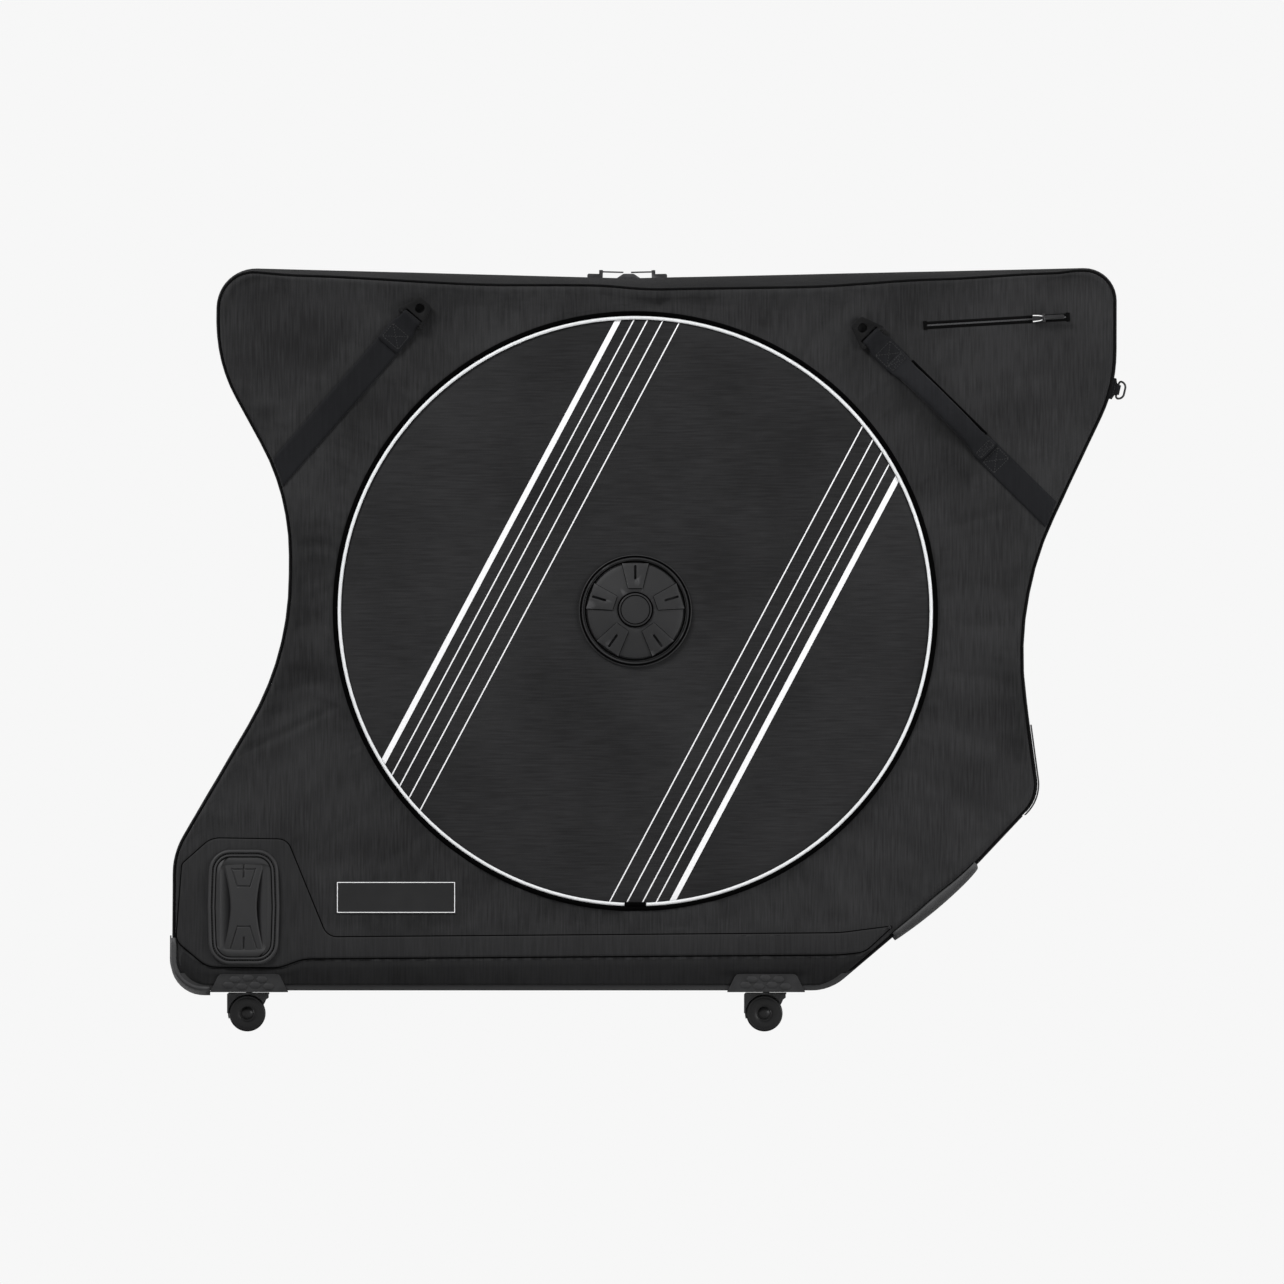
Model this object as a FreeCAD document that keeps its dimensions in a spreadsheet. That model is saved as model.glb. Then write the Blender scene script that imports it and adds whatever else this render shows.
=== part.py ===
# Bike travel case: a padded case with leaning sides that stands on four castors.
# X runs from the rear to the front, Z is up, and the near side faces -Y.
import FreeCAD, Part
import math
import os
import Sketcher

doc = FreeCAD.newDocument("bike_travel_case")
sheet = doc.addObject("Spreadsheet::Sheet", "dims")

# Driving sizes in millimetres, angles in degrees
SIZES = {
    # whole case
    "case_length": 1096.8, "case_height": 839.2, "base_half_width": 235.0, "lean_angle": 7.5,
    "panel_thickness": 12.0, "panel_edge_round": 6.0, "gusset_thickness": 8.0, "working_reach": 1000.0,
    "body_gap": 0.4, "running_gap": 0.05, "press_gap": 0.02,
    # hinge of the sides, base tray and guards
    "hinge_rise": 24.4, "hem_bead_radius": 4.0, "hem_end_inset": 5.0, "tray_wall": 5.0, "sill_raise": 2.0,
    "guard_thickness": 1.8, "guard_side_inset": 45.0, "rear_guard_rise": 64.0, "rear_guard_length": 42.0,
    # main zip
    "zip_half_width": 14.0, "zip_depth": 2.5, "zip_tape": 3.0,
    "slider_length": 18.0, "slider_width": 10.0, "slider_height": 6.0, "slider_relief": 2.2,
    "slider_corner": 2.0, "bail_height": 8.9, "bail_pin": 1.0, "bail_ear": 1.4, "bail_ear_length": 4.4,
    "pull_eye": 2.2, "pull_length": 26.0, "pull_width": 5.0, "pull_sheet": 1.8,
    "lock_length": 27.0, "lock_width": 13.0,
    "lock_height": 5.0, "lock_crown_half": 6.1,
    # round wheel cover, piping, inner pocket
    "cover_radius": 341.0, "cover_sheet": 3.0,
    "cover_recess_radius": 349.0, "piping_radius": 2.0, "piping_gap": 0.4,
    "pocket_rim_radius": 345.0, "pocket_flange": 18.0, "pocket_shoulder_radius": 300.0,
    "pocket_shoulder_depth": 40.0, "pocket_floor_radius": 60.0, "pocket_floor_depth": 80.0,
    "pocket_sheet": 2.5, "pocket_mouth_rise": 150.0,
    # hub shield and cap
    "shield_radius": 65.5, "shield_flange": 2.0, "shield_ring_radius": 62.6, "shield_ring_height": 3.6,
    "shield_face_radius": 57.2, "shield_face_height": 4.6, "shield_collar_radius": 26.0,
    "shield_groove_width": 1.0, "shield_groove_depth": 1.6, "shield_inner_groove": 56.4,
    "shield_crown_height": 11.5, "shield_cap_radius": 19.7, "shield_cap_seat": 8.0,
    "shield_cap_height": 5.0, "shield_cap_gap": 0.3, "shield_tile_raise": 1.2,
    "shield_tile_inner": 25.0, "shield_tile_outer": 55.0, "shield_tile_inner_half": 8.5,
    "shield_tile_outer_half": 15.5, "shield_slot_inner": 35.5, "shield_slot_outer": 53.0,
    "shield_slot_half": 1.4, "shield_slot_round": 1.37, "shield_slot_depth": 2.0,
    # grab handle
    "handle_width": 85.8, "handle_height": 134.3,
    "handle_corner": 24.0, "handle_rim": 6.6, "handle_rim_height": 5.0, "handle_cup_depth": 8.0,
    "handle_cup_floor": 1.5, "handle_strap_end": 49.0, "handle_strap_waist": 30.0,
    "handle_strap_length": 110.0, "handle_strap_thickness": 4.5, "handle_strap_crown": 9.0,
    "handle_waist_round": 60.0, "handle_bend_round": 30.0, "handle_foot": 6.3,
    "handle_bend_outer": 31.9, "handle_bend_inner": 27.5,
    # webbing straps, rings, padded grip
    "strap_width": 30.0, "strap_thickness": 2.0,
    "strap_loop_half": 12.0, "strap_loop_radius": 4.2, "strap_loop_lift": 4.5,
    "ring_pin": 2.2, "ring_half_width": 19.5, "ring_length": 26.0, "ring_plate": 4.0,
    "ring_notch": 6.0, "ring_tail": 3.5, "ring_eye_radius": 5.6, "ring_eye_at": 15.5,
    "ring_apex_half": 8.5, "ring_corner": 3.5,
    "rear_strap_length": 228.0, "rear_strap_angle": 229.3,
    "front_strap_length": 284.0, "front_strap_angle": -44.9, "grip_start": 46.0, "grip_end": 180.0,
    "grip_width": 22.0, "grip_thickness": 12.0, "grip_stand_off": 14.0, "grip_foot_length": 12.0,
    "grip_bend_radius": 18.0, "grip_rise_length": 19.2, "grip_lead_length": 4.8, "grip_edge_radius": 8.0,
    # document pocket zip
    "document_length": 166.0, "document_width": 13.0,
    "document_tape": 1.2, "document_angle": 3.4, "document_slider_at": 49.3,
    "document_slider_length": 15.0, "document_slider_width": 9.0, "document_slider_height": 3.4,
    "document_pull_length": 24.0, "document_pull_width": 5.0, "document_pull_sheet": 1.6,
    "document_pin": 0.9, "document_eye": 1.8, "document_ear": 1.2, "document_pin_height": 5.6,
    "document_ear_rise": 1.35,
    # webbing tab and D-ring on the front edge
    "tab_angle": 77.0, "tab_width": 12.0, "tab_root_width": 27.0,
    "tab_step": 2.2, "tab_thickness": 6.0, "tab_inset": 3.0, "tab_root": 14.0,
    "tab_loop_radius": 3.0, "dee_wire": 1.2, "dee_reach": 8.4,
    "dee_half_width": 10.0, "dee_bar_at": 8.6, "dee_corner": 2.6, "dee_bow": 6.5,
    # castors
    "wheel_radius": 21.2, "wheel_width": 10.5, "wheel_round": 3.0, "wheel_gap": 0.8,
    "wheel_cap_radius": 8.0, "wheel_cap_height": 1.5, "wheel_cap_round": 1.35,
    "wheel_web": 1.6, "axle_radius": 3.0,
    "hood_disc": 2.1, "hood_radius": 23.5, "hood_web": 7.0, "hood_side_gap": 1.0, "hood_trail": 2.0,
    "hood_round": 6.0, "hood_foot": 11.0, "swivel_gap": 0.3, "kingpin_radius": 4.0,
    "kingpin_head": 7.0, "kingpin_head_height": 2.5,
    "plate_thickness": 2.0, "plate_length": 90.0, "plate_top_length": 67.0, "plate_depth": 78.0,
    "plate_flange_rise": 19.0, "plate_corner": 3.0, "plate_hex_radius": 8.4, "plate_hex_raise": 0.9,
    "plate_hex_pitch": 17.0, "plate_hex_rise": 9.0,
    "castor_inset": 42.0, "plate_guard_gap": 3.0,
    # inner frame and stands
    "rail_size": 25.0, "rail_wall": 2.0, "rail_spread": 80.0,
    "bolt_radius": 3.0, "bolt_head_radius": 5.5, "bolt_head_height": 3.0, "bolt_reach": 12.0,
    "pad_length": 110.0, "pad_half_width": 95.0, "pad_height": 36.0,
    "pad_groove": 26.0, "pad_groove_lift": 6.0, "pad_corner": 8.0,
    "carriage_length": 70.0, "carriage_plate": 5.0, "carriage_cheek": 5.0, "carriage_cheek_drop": 16.0,
    "post_half_width": 12.0, "post_round": 12.0, "sleeve_radius": 13.0, "axle_bore": 6.1,
    "rear_sleeve": 142.0, "front_sleeve": 100.0,
    "knob_radius": 15.0, "knob_height": 12.0, "knob_lobe": 5.0, "knob_stud": 4.0, "knob_lift": 0.4,
}

# Places along the case as shares of its length, counted from the middle to the front
PLACE_SHARES = {
    "rear_reach_share": 0.50419, "hem_front_reach_share": 0.21152, "skid_start_share": 0.26167,
    "skid_end_share": 0.34464, "nose_guard_reach_share": 0.36470, "cover_x_share": -0.01368,
    "handle_x_share": -0.42797, "rear_strap_x_share": -0.25091, "front_strap_x_share": 0.23660,
    "document_x_share": 0.36834, "tab_x_share": 0.48869, "rear_slider_x_share": -0.05635,
    "front_slider_x_share": 0.01185, "lock_x_share": -0.02088, "castor_front_x_share": 0.12464,
    "rail_rear_share": -0.45587, "rail_front_share": 0.16867, "cross_rear_x_share": -0.34646,
    "cross_mid_x_share": -0.10029, "cross_front_x_share": 0.05470, "bolt_rear_x_share": -0.37381,
    "bolt_mid_x_share": -0.14588, "bolt_front_x_share": 0.08206, "pad_x_share": -0.08662,
    "rear_carriage_x_share": -0.38749, "rear_axle_x_share": -0.44402,
    "front_carriage_x_share": 0.12582, "front_axle_x_share": 0.36926,
}
# Heights as shares of the case height, counted up from its foot
RISE_SHARES = {
    "cover_rise_share": 0.52896, "handle_rise_share": 0.11547, "rear_strap_rise_share": 0.93613,
    "front_strap_rise_share": 0.90968, "document_rise_share": 0.93291, "tab_rise_share": 0.83270,
    "skid_rise_share": 0.16969, "toe_rise_share": 0.24118, "nose_guard_low_share": 0.24237,
    "nose_guard_high_share": 0.36749, "rear_axle_rise_share": 0.23761, "front_axle_rise_share": 0.26263,
}
SHARE_ENDING = "_share"


class Size:
    """A length or angle as a number together with the sheet formula that gives it."""

    def __init__(self, number, formula):
        self.number = number
        self.formula = formula

    def joined(self, other, sign, number):
        return Size(number, "(%s %s %s)" % (self.formula, sign, other.formula))

    def __add__(self, other):
        other = as_size(other)
        return self.joined(other, "+", self.number + other.number)

    def __sub__(self, other):
        other = as_size(other)
        return self.joined(other, "-", self.number - other.number)

    def __mul__(self, other):
        other = as_size(other)
        return self.joined(other, "*", self.number * other.number)

    def __truediv__(self, other):
        other = as_size(other)
        return self.joined(other, "/", self.number / other.number)

    def __neg__(self):
        return Size(-self.number, "(-1 * %s)" % self.formula)


def as_size(value):
    return value if isinstance(value, Size) else Size(float(value), repr(float(value)))


def sine(angle):
    return Size(math.sin(math.radians(angle.number)), "sin(%s)" % angle.formula)


def cosine(angle):
    return Size(math.cos(math.radians(angle.number)), "cos(%s)" % angle.formula)


class Sheet:
    """The sheet's cells, each as a Size with the cell's own name."""


dim = Sheet()
ZERO = as_size(0.0)
ROW = {"last": 0}


def cell(alias, content, number):
    """Writes one named cell and keeps it as a Size."""
    ROW["last"] += 1
    sheet.set("A%d" % ROW["last"], alias)
    sheet.set("B%d" % ROW["last"], content)
    sheet.setAlias("B%d" % ROW["last"], alias)
    setattr(dim, alias, Size(number, "dims." + alias))


def derive(alias, value):
    """Writes a cell that is worked out from others."""
    cell(alias, "=" + value.formula.replace("dims.", ""), value.number)


for name, number in SIZES.items():
    cell(name, str(number), number)
for name, share in PLACE_SHARES.items():
    derive(name.removesuffix(SHARE_ENDING), dim.case_length * share)
for name, share in RISE_SHARES.items():
    derive(name.removesuffix(SHARE_ENDING), dim.case_height * share)

derive("lean_sine", sine(dim.lean_angle))
derive("lean_cosine", cosine(dim.lean_angle))
derive("hood_bottom", dim.wheel_radius * 2 + dim.wheel_gap)
derive("hood_top", dim.hood_bottom + dim.hood_disc)
derive("plate_bottom", dim.hood_top + dim.swivel_gap)
derive("base_z", dim.plate_bottom + dim.plate_thickness)
derive("floor_z", dim.base_z + dim.tray_wall)
derive("hinge_z", dim.base_z + dim.hinge_rise)
derive("tray_top", dim.hinge_z - dim.hem_bead_radius - dim.body_gap)
derive("rail_top", dim.floor_z + dim.rail_size)
derive("carriage_bottom", dim.rail_top + dim.body_gap)
derive("carriage_top", dim.carriage_bottom + dim.carriage_plate)
derive("castor_y", dim.base_half_width - dim.castor_inset)
derive("guard_half_width", dim.base_half_width - dim.guard_side_inset)
derive("toe_top", dim.base_z + dim.toe_rise)
derive("tab_z", dim.base_z + dim.tab_rise)
derive("rear_axle_z", dim.base_z + dim.rear_axle_rise)
derive("front_axle_z", dim.base_z + dim.front_axle_rise)
derive("castor_rear_x", dim.rear_guard_length + dim.plate_guard_gap + dim.plate_length / 2 - dim.rear_reach)
doc.recompute()

nodes = {}


def bind(item, prop, value):
    value = as_size(value)
    item.setExpression(prop, value.formula)


def keep(item, label):
    """Names an object as one of the pieces that are written out."""
    item.Label = label
    nodes[label] = item
    return item


def place(item, x, y, z, axis=None, angle=None):
    """Places an object, and turns it about an axis by a sheet angle."""
    if axis is not None:
        item.Placement = FreeCAD.Placement(FreeCAD.Vector(), FreeCAD.Rotation(FreeCAD.Vector(*axis), 1.0))
        bind(item, "Placement.Rotation.Angle", angle)
    bind(item, "Placement.Base.x", x)
    bind(item, "Placement.Base.y", y)
    bind(item, "Placement.Base.z", z)
    return item


X_AXIS = (1, 0, 0)
Y_AXIS = (0, 1, 0)
RIGHT_ANGLE = as_size(90.0)


def lean(item, u, inward, v, angle=None):
    """Places an object on the near side: u along X, inward from its outer face, v up its slope."""
    turn = -dim.lean_angle if angle is None else angle - dim.lean_angle
    y = inward * dim.lean_cosine + v * dim.lean_sine - dim.base_half_width
    z = dim.base_z + v * dim.lean_cosine - inward * dim.lean_sine
    return place(item, u, y, z, X_AXIS, turn)


def box(name, length, width, height):
    item = doc.addObject("Part::Box", name)
    bind(item, "Length", length)
    bind(item, "Width", width)
    bind(item, "Height", height)
    return item


def rod(name, radius, height):
    item = doc.addObject("Part::Cylinder", name)
    bind(item, "Radius", radius)
    bind(item, "Height", height)
    return item


def fuse(name, items):
    item = doc.addObject("Part::MultiFuse", name)
    item.Shapes = items
    item.Refine = True
    return item


def cut(name, base, tool):
    item = doc.addObject("Part::Cut", name)
    item.Base = base
    item.Tool = tool
    item.Refine = True
    return item


def common(name, base, tool):
    item = doc.addObject("Part::Common", name)
    item.Base = base
    item.Tool = tool
    item.Refine = True
    return item


def mirrored(name, source):
    """The same piece on the far side."""
    item = doc.addObject("Part::Mirroring", name)
    item.Source = source
    item.Normal = FreeCAD.Vector(*Y_AXIS)
    return item


def new_body(name):
    return doc.addObject("PartDesign::Body", name)


def attach(sketch, body, role, x, y, lift, turn):
    """Puts a sketch on one of its body's own planes, moved and turned within that plane."""
    plane = [item for item in body.Origin.OriginFeatures if item.Role == role][0]
    sketch.AttachmentSupport = [(plane, "")]
    sketch.MapMode = "FlatFace"
    spin = FreeCAD.Rotation(FreeCAD.Vector(0, 0, 1), 1.0)
    sketch.AttachmentOffset = FreeCAD.Placement(FreeCAD.Vector(), spin)
    bind(sketch, "AttachmentOffset.Rotation.Angle", turn)
    bind(sketch, "AttachmentOffset.Base.x", x)
    bind(sketch, "AttachmentOffset.Base.y", y)
    bind(sketch, "AttachmentOffset.Base.z", lift)


def pin_point(sketch, geometry, end, x, y):
    """Ties a point of a sketch to sheet sizes."""
    for kind, value in (("DistanceX", x), ("DistanceY", y)):
        rule = sketch.addConstraint(Sketcher.Constraint(kind, -1, 1, geometry, end, value.number))
        bind(sketch, "Constraints[%d]" % rule, value)


def draw_outline(sketch, corners, by_reach=False):
    """Draws a closed outline from corners (x, y) or, where a corner is rounded, (x, y, radius).

    By reach, the third value is how far from the corner its round starts, instead of the radius.
    """
    corners = [tuple(as_size(value) for value in corner) for corner in corners]
    points = [FreeCAD.Vector(corner[0].number, corner[1].number, 0) for corner in corners]
    count = len(corners)
    into = []
    out = []
    centres = []
    radii = []
    for index, corner in enumerate(corners):
        point = points[index]
        before = (points[index - 1] - point).normalize()
        after = (points[(index + 1) % count] - point).normalize()
        if len(corner) == 2:
            into.append(point)
            out.append(point)
            centres.append(None)
            radii.append(None)
            continue
        half = before.getAngle(after) / 2
        reach = corner[2].number if by_reach else corner[2].number / math.tan(half)
        into.append(point + before * reach)
        out.append(point + after * reach)
        radii.append(reach * math.tan(half))
        centres.append(point + (before + after).normalize() * (radii[index] / math.sin(half)))
    lines = []
    for index in range(count):
        line = Part.LineSegment(out[index], into[(index + 1) % count])
        lines.append(sketch.addGeometry(line, False))
    up = FreeCAD.Vector(0, 0, 1)
    for index, corner in enumerate(corners):
        line_in = lines[index - 1]
        line_out = lines[index]
        if centres[index] is None:
            sketch.addConstraint(Sketcher.Constraint("Coincident", line_in, 2, line_out, 1))
            pin_point(sketch, line_out, 1, corner[0], corner[1])
            continue
        from_centre = into[index] - centres[index]
        to_centre = out[index] - centres[index]
        start = math.atan2(from_centre.y, from_centre.x)
        stop = math.atan2(to_centre.y, to_centre.x)
        turns_left = from_centre.cross(to_centre).z > 0
        circle = Part.Circle(centres[index], up, radii[index])
        ends = (start, stop) if turns_left else (stop, start)
        arc = sketch.addGeometry(Part.ArcOfCircle(circle, *ends), False)
        first, last = (1, 2) if turns_left else (2, 1)
        sketch.addConstraint(Sketcher.Constraint("Tangent", line_in, 2, arc, first))
        sketch.addConstraint(Sketcher.Constraint("Tangent", arc, last, line_out, 1))
        mark = sketch.addGeometry(Part.Point(points[index]), True)
        sketch.addConstraint(Sketcher.Constraint("PointOnObject", mark, 1, line_in))
        sketch.addConstraint(Sketcher.Constraint("PointOnObject", mark, 1, line_out))
        pin_point(sketch, mark, 1, corner[0], corner[1])
        held = ("Distance", mark, 1, line_in, 2) if by_reach else ("Radius", arc)
        rule = sketch.addConstraint(Sketcher.Constraint(*held, corner[2].number))
        bind(sketch, "Constraints[%d]" % rule, corner[2])


def outline(body, role, corners, x=ZERO, y=ZERO, lift=ZERO, turn=ZERO):
    sketch = body.newObject("Sketcher::SketchObject", body.Name + "_outline")
    attach(sketch, body, role, x, y, lift, turn)
    draw_outline(sketch, corners)
    return sketch


def circle(body, role, x, y, radius, lift=ZERO, turn=ZERO, at=(ZERO, ZERO)):
    sketch = body.newObject("Sketcher::SketchObject", body.Name + "_circle")
    attach(sketch, body, role, at[0], at[1], lift, turn)
    centre = FreeCAD.Vector(x.number, y.number, 0)
    ring = sketch.addGeometry(Part.Circle(centre, FreeCAD.Vector(0, 0, 1), radius.number), False)
    rule = sketch.addConstraint(Sketcher.Constraint("Radius", ring, radius.number))
    bind(sketch, "Constraints[%d]" % rule, radius)
    pin_point(sketch, ring, 3, x, y)
    return sketch


def pad(body, sketch, length, symmetric=False, backwards=False):
    feature = body.newObject("PartDesign::Pad", body.Name + "_pad")
    feature.Profile = sketch
    feature.SideType = "Symmetric" if symmetric else "One side"
    feature.Reversed = backwards
    bind(feature, "Length", length)
    body.Tip = feature
    return feature


def pocket(body, sketch, length, symmetric=False, backwards=False):
    feature = body.newObject("PartDesign::Pocket", body.Name + "_pocket")
    feature.Profile = sketch
    feature.SideType = "Symmetric" if symmetric else "One side"
    feature.Reversed = backwards
    bind(feature, "Length", length)
    body.Tip = feature
    return feature


def revolve(body, sketch):
    feature = body.newObject("PartDesign::Revolution", body.Name + "_turned")
    feature.Profile = sketch
    feature.ReferenceAxis = (sketch, ["V_Axis"])
    body.Tip = feature
    return feature


def around(body, feature, count):
    """Repeats a feature evenly about the body's own Z axis."""
    pattern = body.newObject("PartDesign::PolarPattern", body.Name + "_ring")
    pattern.Originals = [feature]
    axis = [item for item in body.Origin.OriginFeatures if item.Role == "Z_Axis"][0]
    pattern.Axis = (axis, [""])
    pattern.Occurrences = count
    body.Tip = pattern
    return pattern


def rectangle(half_x, half_y, radius=None):
    """Corners of a rectangle about the sketch's origin."""
    corners = [(-half_x, -half_y), (half_x, -half_y), (half_x, half_y), (-half_x, half_y)]
    return [corner if radius is None else corner + (radius,) for corner in corners]


def from_shares(shares, x0, y0, width, height, round_of=None):
    """Corners given as shares of a width and a height, with rounds as shares of a third size."""
    corners = []
    for share in shares:
        corner = (x0 + width * share[0], y0 + height * share[1])
        if len(share) == 3:
            corner += (round_of * share[2],)
        corners.append(corner)
    return corners


# Outline of the case from the side: rear foot, front foot, nose, waist, front top, zip dip, rear top, waist.
# Each corner has its place and how far from it the round starts, as shares of the length and the height.
OUTLINE_SHARES = [
    (0.0, 0.0, 0.0443), (0.6964, 0.0, 0.0253), (0.8467, 0.1665, 0.0155), (0.9185, 0.2661, 0.0262),
    (0.8911, 0.5342, 0.1321), (1.0, 0.8369, 0.0482), (1.0, 1.0, 0.0463), (0.4827, 0.9848, 0.0176),
    (0.0476, 1.0, 0.0562), (0.0470, 0.8674, 0.0557), (0.1237, 0.6848, 0.0826), (0.1237, 0.4636, 0.1107),
    (0.0010, 0.1901, 0.0275),
]
case_outline = doc.addObject("Sketcher::SketchObject", "case_outline")
place(case_outline, ZERO, ZERO, ZERO, X_AXIS, RIGHT_ANGLE)
draw_outline(case_outline, from_shares(OUTLINE_SHARES, -dim.rear_reach, dim.base_z, dim.case_length,
                                       dim.case_height, dim.case_height), by_reach=True)


def prism(name, inset):
    """The case outline, set in by an amount, as a solid right across the case."""
    source = case_outline
    if inset is not ZERO:
        source = doc.addObject("Part::Offset2D", name + "_inset")
        source.Source = case_outline
        bind(source, "Value", -inset)
    item = doc.addObject("Part::Extrusion", name)
    item.Base = source
    item.DirMode = "Custom"
    item.Dir = FreeCAD.Vector(*Y_AXIS)
    item.Solid = True
    item.Symmetric = True
    bind(item, "LengthFwd", dim.working_reach * 2)
    return item


def band(name, outer, inner):
    """A strip that follows the case outline between two insets."""
    return cut(name, prism(name + "_outer", outer), prism(name + "_inner", inner))


def zone(name, x0, x1, y0, y1, z0, z1):
    return place(box(name, x1 - x0, y1 - y0, z1 - z0), x0, y0, z0)


def side_slab(name, inward, thickness):
    """A leaning slab as large as the whole near side."""
    item = box(name, dim.working_reach * 2, thickness, dim.working_reach * 2)
    return lean(item, -dim.working_reach, inward, -dim.working_reach)


FAR = dim.working_reach
case_prism = prism("case_prism", ZERO)
gusset_band = band("gusset_band", ZERO, dim.gusset_thickness)
near_outside = side_slab("near_outside", dim.panel_thickness - dim.working_reach, dim.working_reach)

# Base tray: the moulded floor pan with leaning side walls, and its toe, the slanted wall up to the nose
def tray_block(name, inset, bottom):
    """The tray's section between the leaning walls, drawn in by the wall thickness."""
    body = new_body(name)
    low = dim.base_half_width - inset - (bottom - dim.base_z) * dim.lean_sine / dim.lean_cosine
    high = dim.base_half_width - inset - (dim.tray_top - dim.base_z) * dim.lean_sine / dim.lean_cosine
    corners = [(-low, bottom), (low, bottom), (high, dim.tray_top), (-high, dim.tray_top)]
    pad(body, outline(body, "YZ_Plane", corners), dim.working_reach * 2, symmetric=True)
    return body


tray_outer = common("tray_outer", case_prism, tray_block("tray_section", ZERO, dim.base_z))
tray_inner = common("tray_inner", prism("tray_hollow", dim.tray_wall),
                    tray_block("tray_hollow_section", dim.tray_wall, dim.floor_z))
tray_pan = cut("tray_pan", tray_outer, tray_inner)
toe_zone = zone("toe_zone", ZERO, FAR, -FAR, FAR, dim.tray_top - dim.tray_wall, dim.toe_top)
toe_beside_near = side_slab("toe_beside_near", dim.panel_thickness + dim.body_gap - dim.working_reach,
                            dim.working_reach)
toe_beside = fuse("toe_beside", [toe_beside_near, mirrored("toe_beside_far", toe_beside_near)])
toe = cut("toe", common("toe_strip", gusset_band, toe_zone), toe_beside)

# Rear corner guard and front skid guard: moulded strips outside the tray and the slanted front
guard_band = band("guard_band", -(dim.body_gap + dim.guard_thickness), -dim.body_gap)
rear_guard_zone = zone("rear_guard_zone", -FAR, dim.rear_guard_length - dim.rear_reach,
                       -dim.guard_half_width, dim.guard_half_width, ZERO, dim.base_z + dim.rear_guard_rise)
keep(common("rear_corner_guard", guard_band, rear_guard_zone), "rear_corner_guard")
skid_zone = zone("skid_zone", dim.skid_start, dim.skid_end, -dim.guard_half_width, dim.guard_half_width,
                 ZERO, dim.base_z + dim.skid_rise)
keep(common("front_skid_guard", guard_band, skid_zone), "front_skid_guard")

# Castor mount plates: a leg under the tray and a leaning flange with three raised hexagons
HEXAGON_SHARES = [(1.0, 0.0), (0.5, 0.866), (-0.5, 0.866), (-1.0, 0.0), (-0.5, -0.866), (0.5, -0.866)]


def castor_plate(name, x):
    leg = box(name + "_leg", dim.plate_length, dim.plate_depth + dim.plate_thickness, dim.plate_thickness)
    place(leg, x - dim.plate_length / 2, -dim.base_half_width - dim.plate_thickness, dim.plate_bottom)
    flange = new_body(name + "_flange")
    lean(flange, x, ZERO, ZERO)
    bottom = -dim.plate_thickness
    corners = [(-dim.plate_length / 2, bottom), (dim.plate_length / 2, bottom),
               (dim.plate_top_length / 2, dim.plate_flange_rise, dim.plate_corner),
               (-dim.plate_top_length / 2, dim.plate_flange_rise, dim.plate_corner)]
    pad(flange, outline(flange, "XZ_Plane", corners), dim.plate_thickness)
    for step in (-1, 0, 1):
        hexagon = from_shares(HEXAGON_SHARES, dim.plate_hex_pitch * step, dim.plate_hex_rise,
                              dim.plate_hex_radius, dim.plate_hex_radius)
        pad(flange, outline(flange, "XZ_Plane", hexagon), dim.plate_thickness + dim.plate_hex_raise)
    bore = rod(name + "_bore", dim.kingpin_radius + dim.running_gap, dim.base_z)
    place(bore, x, -dim.castor_y, ZERO)
    return cut(name, fuse(name + "_bent", [leg, flange]), bore)


for end, end_x in (("rear", dim.castor_rear_x), ("front", dim.castor_front_x)):
    near_plate = keep(castor_plate("castor_plate_%s_near" % end, end_x), "castor_plate_%s_near" % end)
    keep(mirrored("castor_plate_%s_far" % end, near_plate), "castor_plate_%s_far" % end)

# Castors: a hood that swivels on its kingpin, and twin wheels on one axle
HOOD_SHARES = [(-0.94, 1.0), (-0.94, 0.42, 0.5), (-0.35, 0.0, 1.0), (0.25, 0.0, 1.0), (0.80, 0.72, 0.5),
               (0.94, 1.0)]


def hood(name, x, y):
    web = new_body(name + "_web")
    place(web, x, y, ZERO)
    corners = from_shares(HOOD_SHARES, ZERO, dim.hood_foot, dim.hood_radius,
                          dim.hood_bottom - dim.hood_foot + dim.body_gap, dim.hood_round)
    pad(web, outline(web, "XZ_Plane", corners), dim.hood_web, symmetric=True)
    disc = place(rod(name + "_disc", dim.hood_radius, dim.hood_disc), x, y, dim.hood_bottom)
    pin_top = dim.floor_z + dim.body_gap + dim.kingpin_head_height
    pin = place(rod(name + "_pin", dim.kingpin_radius, pin_top - dim.hood_bottom), x, y, dim.hood_bottom)
    head = rod(name + "_head", dim.kingpin_head, dim.kingpin_head_height)
    place(head, x, y, dim.floor_z + dim.body_gap)
    bore = rod(name + "_bore", dim.axle_radius + dim.running_gap, dim.hood_web * 2)
    place(bore, x - dim.hood_trail, y + dim.hood_web, dim.wheel_radius, X_AXIS, RIGHT_ANGLE)
    return cut(name, fuse(name + "_solid", [web, disc, pin, head]), bore)


def wheel(name, x, y, side):
    """One wheel with a closed outer face; side is the way that this face looks along Y."""
    body = new_body(name)
    place(body, x, y, dim.wheel_radius)
    inner = (dim.hood_web / 2 + dim.hood_side_gap) * side
    outer = (dim.hood_web / 2 + dim.hood_side_gap + dim.wheel_width) * side
    bore = dim.axle_radius + dim.press_gap
    web = outer - dim.wheel_web * side
    cap = outer + dim.wheel_cap_height * side
    corners = [(bore, inner), (dim.wheel_radius, inner, dim.wheel_round),
               (dim.wheel_radius, outer, dim.wheel_round), (dim.wheel_cap_radius, outer),
               (dim.wheel_cap_radius, cap, dim.wheel_cap_round), (ZERO, cap), (ZERO, web), (bore, web)]
    revolve(body, outline(body, "XY_Plane", corners))
    return body


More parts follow.
